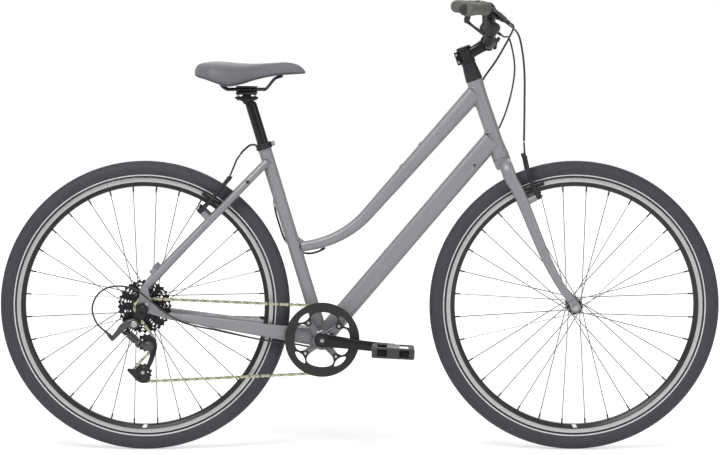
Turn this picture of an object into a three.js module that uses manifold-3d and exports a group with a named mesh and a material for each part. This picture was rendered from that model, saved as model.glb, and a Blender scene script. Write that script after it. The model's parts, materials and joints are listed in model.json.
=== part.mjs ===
// A step-through city bicycle, in millimetres.
// +X points forward, +Y to the rider's left, +Z up. The origin is on the ground, midway between the axles.
import * as THREE from 'three';
import { mergeVertices } from 'three/addons/utils/BufferGeometryUtils.js';
import Module from 'manifold-3d';

const { Vector2, Vector3, Shape, Path } = THREE;
const wasm = await Module();
wasm.setup();

// Layout of the whole bicycle
const wheelbase = 1034;
const tyreRadius = 349;
const bracketDrop = 78;
const bracketSetback = 90;
const headAngle = 70.9;
const headTubeLength = 198;
const forkRake = 51;
const forkReach = 394;
const seatTubeAngle = 73.1;
const seatTubeLength = 490;
const fit = 0.3;
const overrun = 12;

// Numbers of flats round a turned or swept piece
const wheelSides = 32;
const tubeSides = 12;
const shellSides = 12;
const smallSides = 8;
const barSides = 12;
const boltSides = 6;
const cogSides = 8;
const hubSides = 10;
const ringSides = 24;
const spokeFlats = 3;
const cableSides = 5;

// Frame tubes
const headEndRadius = 21;
const headTopRadius = 19.5;
const headWaistRadius = 17.6;
const headFlare = 45;
const headBoreRadius = 15.2;
const headsetSeatRadius = 17.3;
const headsetSeatDepth = 8;
const downTubeRise = 53;
const downTubeHigh = 46;
const downTubeWide = 40;
const seatTubeRadius = 15.9;
const seatpostRadius = 13.6;
const topTubeDrop = 25;
const topTubeSeatHeight = 226;
const topTubeLowRun = 125;
const topTubeLowAngle = 11.2;
const topTubeBend = 80;
const topTubeHighAtHead = 42;
const topTubeHighAtSeat = 24;
const topTubeWideAtHead = 36;
const topTubeWideAtSeat = 27;
const shellRadius = 20;
const shellWidth = 68;
const shellBoreRadius = 17.3;
const cartridgeLip = 3;
const cartridgeLipRadius = 19;
const spindleRadius = 8.5;

// Rear triangle
const rearHubWidth = 135;
const dropoutThickness = 6;
const stayEndAhead = 44;
const stayEndBelow = 18;
const chainstayEndShare = 0.32;
const chainstayHigh = 42;
const chainstayWide = 15;
const chainstayRoot = 22;
const seatstayHeight = 447;
const seatstayRadius = 9;
const seatstayRoot = 14;
const seatstayEndAhead = 4;
const seatstayEndAbove = 50;
const axleRadius = 5;

// Rear brake bosses and the front ones share these
const brakeBossSpread = 40;
const brakeBossRadius = 5;
const brakePlaneOffset = 32;
const rearBossAlong = 197;
const frontBossAlong = 101;
const frontBrakePlaneOffset = 37;
const brakeArmLength = 102;
const brakeArmThickness = 10;
const brakeArmWidth = 17;
const brakeShoeLength = 54;
const brakeShoeDeep = 8;
const brakeShoeThickness = 10;
const shoeClearance = 2.2;
const pinchBoltRadius = 4;
const noodleRadius = 2.4;
const rearArmLean = 5;
const frontArmLean = 13;
const bootLength = 26;
const bootRadius = 4.8;
const bootBore = 3.8;
const wireReach = 36;
const wireRadius = 0.8;

// Wheels
const tyreAboveRim = 38.5;
const rimHigh = 23;
const brakeTrackHigh = 12.5;
const rimOuterRadius = tyreRadius - tyreAboveRim;
const rimInnerRadius = rimOuterRadius - rimHigh;
const rimTrackRadius = rimOuterRadius - brakeTrackHigh;
const rimHalfWidth = 14;
const rimWall = 3;
const rimWellDeep = 7.5;
const rimWellRadius = rimOuterRadius - rimWellDeep;
const rimCrownHalfWidth = 4.5;
const tyreHalfWidth = 17.2;
const tyreBeadDeep = 6.5;
const tyreWideDeep = 20;
const tyreShoulderDeep = 9;
const tyreBeadRadius = rimOuterRadius - tyreBeadDeep;
const tyreWideRadius = tyreRadius - tyreWideDeep;
const tyreShoulderRadius = tyreRadius - tyreShoulderDeep;
const tyreShoulderHalfWidth = 14.4;
const treadHalfWidth = 5;
const tyreWall = 2.6;
const treadWall = 5;
const spokeCount = 32;
const spokeRadius = 1.1;
const nippleRadius = 1.7;
const frontHubWidth = 100;
const frontFlangeRadius = 19;
const frontFlangeOffset = 35;
const rearFlangeRadius = 23;
const rearFlangeLeft = 34;
const rearFlangeRight = 20;
const hubBodyRadius = 12;
const flangeThickness = 3;
const hubBoreRadius = 6.2;
const locknutRadius = 9;
const axleNutRadius = 8.5;
const axleNutLength = 8;
const axleOverhang = 4;
const spokeCrossAngle = 67.5;

// Drivetrain
const chainPitch = 12.7;
const ringTeeth = 40;
const ringPlane = 46;
const cogTeeth = [11, 13, 15, 18, 21, 24, 28, 32];
const cogSpacing = 4.8;
const firstCogPlane = 60.4;
const sprocketThickness = 1.8;
const toothDepth = 3.9;
const toothShort = 0.7;
const freehubRadius = 16.6;
const freehubNoseRadius = 13.4;
const freehubGap = 2.7;
const spacerRadius = 20.6;
const smallCogNeckRadius = 17.2;
const pulleyHubHalf = 3;
const pulleyHubRadius = 8;
const plateHigh = 8;
const chainWide = 6.4;
const chainSlotShare = 0.55;
const chainWebShare = 0.06;
const chainTurn = 0.02;
const chainRunStep = 12;
const chainPinRadius = 1.9;
const boltCircleRadius = 52;
const ringBoltAngle = 39;
const ringInnerRadius = 66;
const ringTabRadius = 8;
const ringBoltRadius = 4;
const ringBoltHeadRadius = 5.5;
const spiderThickness = 3.6;
const spiderArmWide = 17;
const spiderHubRadius = 24;
const guardRadius = 89.6;
const guardRimInner = 66;
const guardThickness = 2.4;
const crankLength = 170;
const crankAngle = -6.5;
const crankEyeRadius = 15;
const crankBossRadius = 19;
const crankThickness = 13;
const crankOffset = 66;
const crankBow = 9;
const crankCapRadius = 8;
const spindleLength = 123;

// Pedals
const pedalLong = 102;
const pedalWide = 88;
const pedalHigh = 26;
const pedalRail = 15;
const pedalCoreRadius = 11;
const pedalGap = 5;
const pedalAxleRadius = 5;
const pedalTilt = -3;

// Rear derailleur
const pulleyTeeth = 11;
const pulleyAxleRadius = 3;
const hangerBoltBack = 21.4;
const hangerBoltDown = 36;
const guideBack = -5;
const guideDown = 84;
const tensionBack = 2.6;
const tensionDown = 155.4;
const cagePivotAhead = 12;
const cagePivotDown = 90;
const cagePlateThickness = 2;
const cagePlateOffset = 5.8;
const cagePlateRadius = 11;
const hangerThickness = 4;
const hangerTopRise = 4;
const knuckleRadius = 12;
const knuckleDeep = 15;
const lowerKnuckleRadius = 11;
const lowerKnuckleDeep = 15;
const boltHeadHigh = 2.5;
const linkTopBack = 41;
const linkTopDown = 56;
const linkTopPlane = 73;
const linkFootBack = 11;
const linkFootDown = 83;
const linkFootPlane = 78;
const linkSlant = 30;
const linkWide = 13;
const linkDeep = 7;
const linkEyeRadius = 5;
const linkPinRadius = 2.2;
const cageStubRadius = 3.5;
const earThickness = 2.6;
const shiftEntryBack = 74;
const shiftEntryDown = 72;
const shiftEntryPlane = 84;

// Saddle and seatpost
const collarWall = 3.4;
const collarHigh = 14;
const collarEar = 9;
const seatpostTop = 596;
const seatpostLength = 350;
const postHeadRadius = 12;
const postHeadHalfWidth = 11;
const railRadius = 3.5;
const railHalfSpread = 22;
const railAbovePost = 20.5;
const postHeadRise = 8;
const postSetback = 8;
const postNeckDrop = 5;
const railStraight = 90;
const saddleChannel = 2.5;
const saddleBaseShare = 0.8;
const cradleLong = 50;
const cradleThickness = 3;
const clampNutHigh = 1;
const cradleHalfWidth = 29;
const clampBoltRadius = 3;
const clampBoltHeadRadius = 4.5;
const clampBoltSpread = 20.5;
const clampBoltRoom = 1;
const clampBoltLength = 34;
const postEyeThickness = 5;
const saddleLength = 264;
const saddleHalfWidth = 82;
const saddleNoseAhead = 136;
const saddleTopHeight = 936;
const saddleHigh = 58;
const saddleBaseThickness = 6;

// Cockpit
const steererRadius = 14.3;
const steererAboveHead = 82;
const coverHigh = 43;
const coverRadius = 20.5;
const coverTopRadius = 16.5;
const stemClampHigh = 37;
const stemClampRadius = 18.2;
const stemRise = 62;
const stemLength = 63;
const stemAngle = 30.4;
const stemHigh = 29;
const stemWide = 33;
const barClampRadius = 15.9;
const barClampShell = 4.3;
const barClampWide = 42;
const barEndRadius = 11.1;
const barHalfWidth = 330;
const barRise = 83;
const barSweep = 68;
const faceplateGap = 2;
const stemBoltRadius = 2.5;
const stemBoltHeadRadius = 4;
const stemBoltHeadLength = 4;
const gripLength = 134;
const gripRadius = 15.5;
const gripWing = 13;

// Controls
const controlDroop = 34;
const leverBracketFromEnd = 158;
const leverBandRadius = 16;
const leverBandWide = 15;
const leverPivotReach = 30;
const leverBodyReach = 46;
const leverBodyHigh = 13;
const leverBodyWide = 17;
const adjusterRadius = 5;
const adjusterLength = 15;
const leverBladeRadius = 5.5;
const leverReachOut = 128;
const podFromEnd = 190;
const podLong = 46;
const podHigh = 36;
const podWide = 44;
const podDrop = 40;
const podBandRadius = 15;
const podBandWide = 12;
const thumbReach = 56;
const thumbPaddleHigh = 24;
const thumbPaddleWide = 14;
const thumbThickness = 4.5;
const triggerReach = 30;

// Cable housings
const brakeHousingRadius = 2.5;
const shiftHousingRadius = 2.1;

// Fork
const crownHigh = 26;
const crownWide = 86;
const crownDeep = 40;
const crownGap = 5;
const crownShoulderDrop = 18;
const bladeSpread = 44;
const bladeHighTop = 30;
const bladeHighEnd = 19;
const bladeWideTop = 26;
const bladeWideEnd = 15;
const bladeEndShort = 12;
const forkEndThickness = 6;
const forkEndRadius = 13;
const bladeAhead = 4;

// Directions and places that everything else is measured from
const degree = Math.PI / 180;
const leftward = new Vector3(0, 1, 0);
const forward = new Vector3(1, 0, 0);
const upward = new Vector3(0, 0, 1);
const frontAxle = new Vector3(wheelbase / 2, 0, tyreRadius);
const rearAxle = new Vector3(-wheelbase / 2, 0, tyreRadius);
const bracket = new Vector3(-bracketSetback, 0, tyreRadius - bracketDrop);
const steerUp = slope(180 - headAngle);
const steerAhead = slope(90 - headAngle);
const seatUp = slope(180 - seatTubeAngle);
const seatAhead = slope(90 - seatTubeAngle);
const headBottom = from(frontAxle, [steerAhead, -forkRake], [steerUp, forkReach]);
const headTop = from(headBottom, [steerUp, headTubeLength]);
const barCentre = from(headTop, [steerUp, stemRise], [slope(stemAngle), stemLength]);
const controlAhead = slope(-controlDroop);
const controlUp = slope(90 - controlDroop);
const shiftEntryAim = slope(130);

// A direction in the bicycle's plane, in degrees above forward
function slope(angle) {
  return new Vector3(Math.cos(angle * degree), 0, Math.sin(angle * degree));
}

// The point reached from a start by moves of [direction, distance]
function from(start, ...moves) {
  const point = start.clone();
  for (const [direction, distance] of moves) {
    point.addScaledVector(direction, distance);
  }
  return point;
}

function unitTowards(start, end) {
  return end.clone().sub(start).normalize();
}

function mixed(a, b, share) {
  return a + (b - a) * share;
}

// A geometry as one welded closed skin with its faces turned out
function closed(geometry) {
  const bare = new THREE.BufferGeometry();
  bare.setAttribute('position', geometry.getAttribute('position').clone());
  if (geometry.index) {
    bare.setIndex(geometry.index.clone());
  }
  const welded = mergeVertices(bare, 1e-4);
  const corners = welded.index.array;
  const kept = [];
  for (let i = 0; i < corners.length; i += 3) {
    const [a, b, c] = [corners[i], corners[i + 1], corners[i + 2]];
    if (a !== b && b !== c && a !== c) {
      kept.push(a, b, c);
    }
  }
  welded.setIndex(kept);
  return signedVolume(welded) < 0 ? turnedOut(welded) : welded;
}

function turnedOut(geometry) {
  const corners = Array.from(geometry.index.array);
  for (let i = 0; i < corners.length; i += 3) {
    [corners[i + 1], corners[i + 2]] = [corners[i + 2], corners[i + 1]];
  }
  geometry.setIndex(corners);
  return geometry;
}

function signedVolume(geometry) {
  const place = geometry.getAttribute('position');
  const corners = geometry.index.array;
  const [a, b, c] = [new Vector3(), new Vector3(), new Vector3()];
  let sum = 0;
  for (let i = 0; i < corners.length; i += 3) {
    a.fromBufferAttribute(place, corners[i]);
    b.fromBufferAttribute(place, corners[i + 1]);
    c.fromBufferAttribute(place, corners[i + 2]);
    sum += a.dot(b.cross(c));
  }
  return sum;
}

function solidOf(geometry) {
  const skin = closed(geometry);
  return new wasm.Manifold(new wasm.Mesh({
    numProp: 3,
    vertProperties: new Float32Array(skin.getAttribute('position').array),
    triVerts: new Uint32Array(skin.index.array),
  }));
}

function geometryOf(solid) {
  const mesh = solid.getMesh();
  const geometry = new THREE.BufferGeometry();
  geometry.setAttribute('position', new THREE.BufferAttribute(new Float32Array(mesh.vertProperties), 3));
  geometry.setIndex(Array.from(mesh.triVerts));
  return geometry;
}

function cut(geometry, ...cutters) {
  let solid = solidOf(geometry);
  for (const cutter of cutters) {
    solid = solid.subtract(solidOf(cutter));
  }
  return geometryOf(solid);
}

function join(geometry, ...others) {
  let solid = solidOf(geometry);
  for (const other of others) {
    solid = solid.add(solidOf(other));
  }
  return geometryOf(solid);
}

function common(geometry, other) {
  return geometryOf(solidOf(geometry).intersect(solidOf(other)));
}

// The largest body that a cut leaves, without the slivers beyond a joint
function trimmed(geometry, ...cutters) {
  const bodies = solidOf(cut(geometry, ...cutters)).decompose();
  bodies.sort((a, b) => b.volume() - a.volume());
  return geometryOf(bodies[0]);
}

// A turned piece: profile points are [radius, distance along the axis]
function turned(profile, start, axis, sides = tubeSides) {
  const points = profile.map(([radius, along]) => new Vector2(radius, along));
  const first = points[0];
  const last = points[points.length - 1];
  const onAxis = first.x === 0 && last.x === 0;
  if (!onAxis) {
    points.push(first.clone());
  }
  const geometry = new THREE.LatheGeometry(points, sides);
  return closed(aligned(geometry, start, axis));
}

function aligned(geometry, start, axis) {
  geometry.applyQuaternion(new THREE.Quaternion().setFromUnitVectors(leftward, axis));
  geometry.translate(start.x, start.y, start.z);
  return geometry;
}

function peg(start, axis, length, radius, sides = boltSides) {
  return turned([[0, 0], [radius, 0], [radius, length], [0, length]], start, axis, sides);
}

// A bore's corner radius that leaves the fit beside a round piece of any turn
function clearOf(radius, sides = tubeSides) {
  return (radius + fit) / Math.cos(Math.PI / sides);
}

function ringPiece(start, axis, length, outer, inner, sides = tubeSides) {
  return turned([[outer, 0], [outer, length], [inner, length], [inner, 0]], start, axis, sides);
}

// A box on three directions: size along each, centred on a point
function block(centre, ahead, long, up, high, wide) {
  const geometry = new THREE.BoxGeometry(long, wide, high);
  const across = new Vector3().crossVectors(up, ahead);
  geometry.applyMatrix4(new THREE.Matrix4().makeBasis(ahead, across, up));
  geometry.translate(centre.x, centre.y, centre.z);
  return closed(geometry);
}

// A flat plate in the bicycle's plane, drawn as [x, z] points, its middle at y
function plate(outline, y, thickness, holes = [], grow = 0) {
  const shape = new Shape(outline.map(([x, z]) => new Vector2(x, z)));
  for (const hole of holes) {
    shape.holes.push(new Path(hole.map(([x, z]) => new Vector2(x, z))));
  }
  const bevel = { bevelEnabled: true, bevelSegments: 1, bevelSize: grow, bevelThickness: grow };
  const geometry = new THREE.ExtrudeGeometry(shape, {
    depth: thickness,
    steps: 1,
    ...(grow > 0 ? bevel : { bevelEnabled: false }),
  });
  geometry.rotateX(Math.PI / 2);
  geometry.translate(0, y + thickness / 2, 0);
  return closed(geometry);
}

function circleOutline(centre, radius, sides, turn = 0) {
  const points = [];
  for (let i = 0; i < sides; i += 1) {
    const angle = turn + (2 * Math.PI * i) / sides;
    points.push([centre.x + radius * Math.cos(angle), centre.z + radius * Math.sin(angle)]);
  }
  return points;
}

// A skin through rings of equal point counts, closed by flat ends
function loft(rings, loop = false) {
  const count = rings[0].length;
  const places = rings.flat().flatMap((point) => [point.x, point.y, point.z]);
  const corners = [];
  for (let r = 0; r + 1 < rings.length + (loop ? 1 : 0); r += 1) {
    const next = ((r + 1) % rings.length) * count;
    for (let i = 0; i < count; i += 1) {
      const j = (i + 1) % count;
      corners.push(r * count + i, r * count + j, next + j, r * count + i, next + j, next + i);
    }
  }
  const last = (rings.length - 1) * count;
  for (let i = 1; !loop && i + 1 < count; i += 1) {
    corners.push(0, i + 1, i, last, last + i, last + i + 1);
  }
  const geometry = new THREE.BufferGeometry();
  geometry.setAttribute('position', new THREE.Float32BufferAttribute(places, 3));
  geometry.setIndex(corners);
  return closed(geometry);
}

// A swept tube of changing section. Stations hold at, wide (across) and high; power 2 is an ellipse.
function sweep(stations, sides = tubeSides, power = 2, across = leftward) {
  const rings = stations.map((station, i) => {
    const before = stations[Math.max(i - 1, 0)].at;
    const after = stations[Math.min(i + 1, stations.length - 1)].at;
    const ahead = unitTowards(before, after);
    const side = across.clone().addScaledVector(ahead, -across.dot(ahead)).normalize();
    const up = new Vector3().crossVectors(ahead, side);
    return ovalRing(station.at, side, station.wide / 2, up, station.high / 2, sides, power);
  });
  return loft(rings);
}

function ovalRing(centre, side, halfWide, up, halfHigh, sides, power) {
  const ring = [];
  for (let i = 0; i < sides; i += 1) {
    const angle = (2 * Math.PI * (i + 0.5)) / sides;
    const reachSide = Math.sign(Math.cos(angle)) * Math.abs(Math.cos(angle)) ** (2 / power);
    const reachUp = Math.sign(Math.sin(angle)) * Math.abs(Math.sin(angle)) ** (2 / power);
    ring.push(from(centre, [side, halfWide * reachSide], [up, halfHigh * reachUp]));
  }
  return ring;
}

// A round cable housing through its route's points
function housing(points, radius, steps) {
  const curve = new THREE.CatmullRomCurve3(points, false, 'centripetal');
  const section = new Shape();
  section.setFromPoints(circleOutline(new Vector3(), radius, cableSides).map(([x, z]) => new Vector2(x, z)));
  const geometry = new THREE.ExtrudeGeometry(section, { steps, extrudePath: curve, bevelEnabled: false });
  return closed(geometry);
}

function at(x, y, z) {
  return new Vector3(x, y, z);
}

// Finishes
const finishes = {
  paint: { color: 0x949597, roughness: 0.45, metalness: 0.1 },
  black: { color: 0x1c1c1e, roughness: 0.45, metalness: 0.2 },
  plastic: { color: 0x222224, roughness: 0.6, metalness: 0 },
  silver: { color: 0xb9bbbd, roughness: 0.3, metalness: 0.9 },
  steel: { color: 0x8f9296, roughness: 0.35, metalness: 0.9 },
  chain: { color: 0xb8b59c, roughness: 0.35, metalness: 0.9 },
  rubber: { color: 0x2b2b2e, roughness: 0.85, metalness: 0 },
  tyre: { color: 0x3c3d42, roughness: 0.9, metalness: 0 },
  grip: { color: 0x777471, roughness: 0.8, metalness: 0 },
  cover: { color: 0x6d6d75, roughness: 0.7, metalness: 0 },
};

const bicycle = new THREE.Group();

function add(name, finish, geometry) {
  const mesh = new THREE.Mesh(closed(geometry), new THREE.MeshStandardMaterial(finishes[finish]));
  mesh.name = name;
  bicycle.add(mesh);
  return mesh;
}

// Frame

function headEnvelope(grow = 0) {
  const profile = [
    [0, -grow],
    [headEndRadius + grow, -grow],
    [headEndRadius + grow, headsetSeatDepth],
    [headWaistRadius + grow, headFlare],
    [headWaistRadius + grow, headTubeLength - headFlare],
    [headTopRadius + grow, headTubeLength - headsetSeatDepth],
    [headTopRadius + grow, headTubeLength + grow],
    [0, headTubeLength + grow],
  ];
  return turned(profile, headBottom, steerUp);
}

function headTube() {
  const bore = turned([
    [0, -overrun],
    [clearOf(headsetSeatRadius), -overrun],
    [clearOf(headsetSeatRadius), headsetSeatDepth],
    [headBoreRadius, headsetSeatDepth],
    [headBoreRadius, headTubeLength - headsetSeatDepth],
    [clearOf(headsetSeatRadius), headTubeLength - headsetSeatDepth],
    [clearOf(headsetSeatRadius), headTubeLength + overrun],
    [0, headTubeLength + overrun],
  ], headBottom, steerUp);
  return cut(headEnvelope(), bore);
}

function shellEnvelope(grow = 0) {
  return peg(at(bracket.x, -shellWidth / 2 - grow, bracket.z), leftward, shellWidth + 2 * grow,
    shellRadius + grow, shellSides);
}

function bracketShell() {
  return ringPiece(at(bracket.x, -shellWidth / 2, bracket.z), leftward, shellWidth,
    shellRadius, shellBoreRadius + fit, shellSides);
}

function seatTubeEnvelope(grow = 0) {
  return peg(bracket, seatUp, seatTubeLength + grow, seatTubeRadius + grow, tubeSides);
}

function seatTube() {
  const bore = peg(bracket, seatUp, seatTubeLength + overrun, seatpostRadius + fit, tubeSides);
  return cut(seatTubeEnvelope(), bore, shellEnvelope(fit));
}

function downTubeEnvelope(grow = 0) {
  const high = downTubeHigh + 2 * grow;
  const wide = downTubeWide + 2 * grow;
  const start = from(headBottom, [steerUp, downTubeRise]);
  return sweep([{ at: start, wide, high }, { at: bracket, wide, high }], tubeSides, 3.2);
}

function downTube() {
  return trimmed(downTubeEnvelope(), headEnvelope(fit), shellEnvelope(fit), seatTubeEnvelope(fit));
}

function topTubeCurve() {
  const head = from(headTop, [steerUp, -topTubeDrop]);
  const seat = from(bracket, [seatUp, topTubeSeatHeight]);
  const corner = from(seat, [slope(topTubeLowAngle), topTubeLowRun]);
  const bendStart = from(corner, [unitTowards(corner, head), topTubeBend]);
  const bendEnd = from(corner, [unitTowards(corner, seat), topTubeBend]);
  const curve = new THREE.CurvePath();
  curve.add(new THREE.LineCurve3(head, bendStart));
  curve.add(new THREE.QuadraticBezierCurve3(bendStart, corner, bendEnd));
  curve.add(new THREE.LineCurve3(bendEnd, seat));
  return curve;
}

const topTubeStations = [0, 0.35, 0.6, 0.68, 0.74, 0.8, 0.87, 1];

function topTube() {
  const curve = topTubeCurve();
  const stations = topTubeStations.map((share) => ({
    at: curve.getPointAt(share),
    wide: mixed(topTubeWideAtHead, topTubeWideAtSeat, share),
    high: mixed(topTubeHighAtHead, topTubeHighAtSeat, share),
  }));
  const bosses = [0, bottleBossSpacing].map((step) => bottleBoss(curve, step));
  return trimmed(join(sweep(stations, tubeSides, 2.5), ...bosses), headEnvelope(fit), seatTubeEnvelope(fit));
}

const dropoutInner = rearHubWidth / 2 + fit;
const chainstayEnd = from(rearAxle, [forward, stayEndAhead], [upward, -stayEndBelow]);
const seatstayTop = from(bracket, [seatUp, seatstayHeight]);
const seatstayEnd = from(rearAxle, [forward, seatstayEndAhead], [upward, seatstayEndAbove]);
const seatstayDown = unitTowards(seatstayTop, seatstayEnd);
const seatstayOut = new Vector3().crossVectors(leftward, seatstayDown);
const chainstaySpreadShares = [[0, 0], [0.12, 0.1], [0.25, 0.27], [0.5, 0.57], [1, 1]];
const seatstaySpreadShares = [[0, 0], [0.12, 0.2], [0.25, 0.44], [0.47, 0.54], [0.75, 0.8], [1, 1]];

// The stays of one side: side is 1 on the left and -1 on the right
function chainstay(side) {
  const end = dropoutInner - dropoutThickness / 2;
  const stations = chainstaySpreadShares.map(([share, spread]) => ({
    at: at(
      mixed(bracket.x, chainstayEnd.x, share),
      side * mixed(chainstayRoot, end, spread),
      mixed(bracket.z, chainstayEnd.z, share),
    ),
    wide: mixed(chainstayWide, dropoutThickness * 2, share),
    high: chainstayHigh * mixed(1, chainstayEndShare, share),
  }));
  const tube = trimmed(
    sweep(stations, tubeSides, 3),
    shellEnvelope(fit),
    seatTubeEnvelope(fit),
    downTubeEnvelope(fit),
  );
  const holes = [axleHole()];
  return side > 0
    ? cut(join(tube, dropout(side)), ...holes)
    : cut(join(tube, dropout(side), hanger()), ...holes, hangerHole());
}

function axleHole() {
  return peg(at(rearAxle.x, -rearHubWidth, rearAxle.z), leftward, 2 * rearHubWidth, axleRadius + fit,
    smallSides);
}

function seatstayPlace(share, spread, side) {
  const end = dropoutInner - dropoutThickness / 2;
  return at(
    mixed(seatstayTop.x, seatstayEnd.x, share),
    side * mixed(seatstayRoot, end, spread),
    mixed(seatstayTop.z, seatstayEnd.z, share),
  );
}

function seatstay(side) {
  const stations = seatstaySpreadShares.map(([share, spread]) => ({
    at: seatstayPlace(share, spread, side),
    wide: 2 * mixed(seatstayRadius, dropoutThickness, share),
    high: 2 * mixed(seatstayRadius, seatstayRadius - fit, share),
  }));
  const boss = from(rearBrakeOrigin(side), [seatstayOut, -brakePlaneOffset]);
  const stalk = peg(boss, seatstayOut, brakePlaneOffset - brakeArmThickness / 2 - fit, brakeBossRadius * 1.6);
  const pin = peg(boss, seatstayOut, brakePlaneOffset + brakeArmThickness / 2 + fit, brakeBossRadius);
  const tube = join(sweep(stations, smallSides, 2), stalk, pin, rackTab(side));
  return trimmed(tube, seatTubeEnvelope(fit), dropout(side, fit));
}

function rearBrakeOrigin(side) {
  const share = rearBossAlong / seatstayTop.distanceTo(seatstayEnd);
  const spot = seatstayPlace(share, 0, side).setY(side * brakeBossSpread);
  return from(spot, [seatstayOut, brakePlaneOffset]);
}

// Dropout plate with the axle slot; its corners follow the stay ends and the axle
function dropout(side, grow = 0) {
  const axleEdge = axleRadius * 2.4;
  const outline = [
    [chainstayEnd.x + stayEndBelow / 2, chainstayEnd.z - dropoutThickness],
    [chainstayEnd.x + stayEndBelow / 2, chainstayEnd.z + dropoutThickness],
    [seatstayEnd.x + dropoutThickness, seatstayEnd.z + dropoutThickness],
    [seatstayEnd.x - dropoutThickness * 2, seatstayEnd.z - dropoutThickness],
    [rearAxle.x - axleEdge, rearAxle.z + axleRadius],
    [rearAxle.x - axleEdge, rearAxle.z - axleEdge],
    [rearAxle.x + axleEdge, rearAxle.z - axleEdge],
  ];
  const y = side * (dropoutInner + dropoutThickness / 2);
  return plate(outline, y, dropoutThickness, [], grow);
}

const hangerBolt = at(rearAxle.x - hangerBoltBack, 0, rearAxle.z - hangerBoltDown);

const hangerOuter = dropoutInner + dropoutThickness + hangerThickness;

function hangerHole() {
  return peg(at(hangerBolt.x, -rearHubWidth, hangerBolt.z), leftward, rearHubWidth, axleRadius + fit);
}

function hanger() {
  const y = -(hangerOuter - hangerThickness / 2 - fit);
  const outline = [
    [rearAxle.x + axleRadius * 2.2, rearAxle.z + axleRadius * 2],
    [rearAxle.x - axleRadius * 2.2, rearAxle.z + axleRadius * 2],
    [hangerBolt.x - knuckleRadius * 0.7, hangerBolt.z + hangerTopRise],
    [hangerBolt.x - knuckleRadius * 0.6, hangerBolt.z - knuckleRadius * 0.7],
    [hangerBolt.x + knuckleRadius * 0.7, hangerBolt.z - knuckleRadius * 0.7],
    [rearAxle.x + axleRadius * 2.2, rearAxle.z - axleRadius * 2],
  ];
  return plate(outline, y, hangerThickness + 2 * fit);
}

const bottleBossRadius = 5;
const bottleBossHigh = 2;
const bottleBossSpacing = 64;
const bottleBossShare = 0.32;
const rackTabShare = 0.9;
const rackTabLong = 16;
const rackTabThick = 5;
const rackTabHigh = 12;
const rackTabSink = 3.5;

// A bottle boss on the top tube, a step down the tube from the first one
function bottleBoss(curve, step) {
  const share = bottleBossShare + step / curve.getLength();
  const ahead = curve.getTangentAt(share);
  const up = new Vector3().crossVectors(leftward, ahead).normalize();
  const away = up.z > 0 ? up : up.negate();
  const lift = mixed(topTubeHighAtHead, topTubeHighAtSeat, share) / 2 - bottleBossHigh;
  return peg(from(curve.getPointAt(share), [away, lift]), away, 2 * bottleBossHigh, bottleBossRadius);
}

// The tab on a seatstay that a rack's leg bolts to
function rackTab(side) {
  const spot = seatstayPlace(rackTabShare, rackTabShare, side);
  const middle = from(spot, [seatstayOut, seatstayRadius + rackTabHigh / 2 - rackTabSink]);
  return block(middle, seatstayDown, rackTabLong, seatstayOut, rackTabHigh, rackTabThick);
}

function seatCollar() {
  const start = from(bracket, [seatUp, seatTubeLength - collarHigh]);
  const outer = seatTubeRadius + fit + collarWall;
  const ring = peg(start, seatUp, collarHigh, outer);
  const earMiddle = from(start, [seatUp, collarHigh / 2], [seatAhead, outer + collarEar / 2 - collarWall]);
  const ears = block(earMiddle, seatAhead, collarEar + collarWall, seatUp, collarHigh * 0.7, collarEar * 2);
  const bore = peg(from(start, [seatUp, -overrun]), seatUp, collarHigh + 2 * overrun, seatTubeRadius + fit,
    tubeSides);
  const slot = block(earMiddle, seatAhead, collarEar + overrun, seatUp, collarHigh * 2, faceplateGap);
  const boltLength = collarEar * 2 + stemBoltHeadLength;
  const boltStart = from(earMiddle, [leftward, -boltLength / 2 - stemBoltHeadLength / 2]);
  const bolt = join(
    peg(boltStart, leftward, stemBoltHeadLength - fit, stemBoltHeadRadius),
    peg(boltStart, leftward, boltLength, stemBoltRadius),
  );
  return join(cut(join(ring, ears), bore, slot), bolt);
}

function bracketCartridge() {
  const half = shellWidth / 2;
  const profile = [
    [shellBoreRadius, -half],
    [shellBoreRadius, half],
    [shellBoreRadius, half + fit],
    [cartridgeLipRadius, half + fit],
    [cartridgeLipRadius, half + fit + cartridgeLip],
    [spindleRadius + fit, half + fit + cartridgeLip],
    [spindleRadius + fit, -half - fit - cartridgeLip],
    [cartridgeLipRadius, -half - fit - cartridgeLip],
    [cartridgeLipRadius, -half - fit],
    [shellBoreRadius, -half - fit],
  ];
  return turned(profile, bracket, leftward, shellSides);
}

// Wheels

function tyre(axle) {
  const beadHalf = rimHalfWidth - rimWall - 3 * fit;
  const half = [
    [tyreRadius - treadWall, 0],
    [tyreWideRadius, tyreHalfWidth - tyreWall],
    [tyreBeadRadius, beadHalf - tyreWall],
    [tyreBeadRadius, beadHalf],
    [tyreWideRadius, tyreHalfWidth],
    [tyreShoulderRadius, tyreShoulderHalfWidth],
    [tyreRadius, treadHalfWidth],
  ];
  const other = half.slice(1).map(([radius, y]) => [radius, -y]).reverse();
  return turned([...half, ...other], axle, leftward, wheelSides);
}

function rim(axle) {
  const side = [
    [rimInnerRadius, rimCrownHalfWidth],
    [rimTrackRadius, rimHalfWidth],
    [rimOuterRadius, rimHalfWidth],
    [rimWellRadius, rimHalfWidth - rimWall],
  ];
  const flip = ([radius, y]) => [radius, -y];
  return turned([...side, ...side.map(flip).reverse()], axle, leftward, wheelSides);
}

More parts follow.
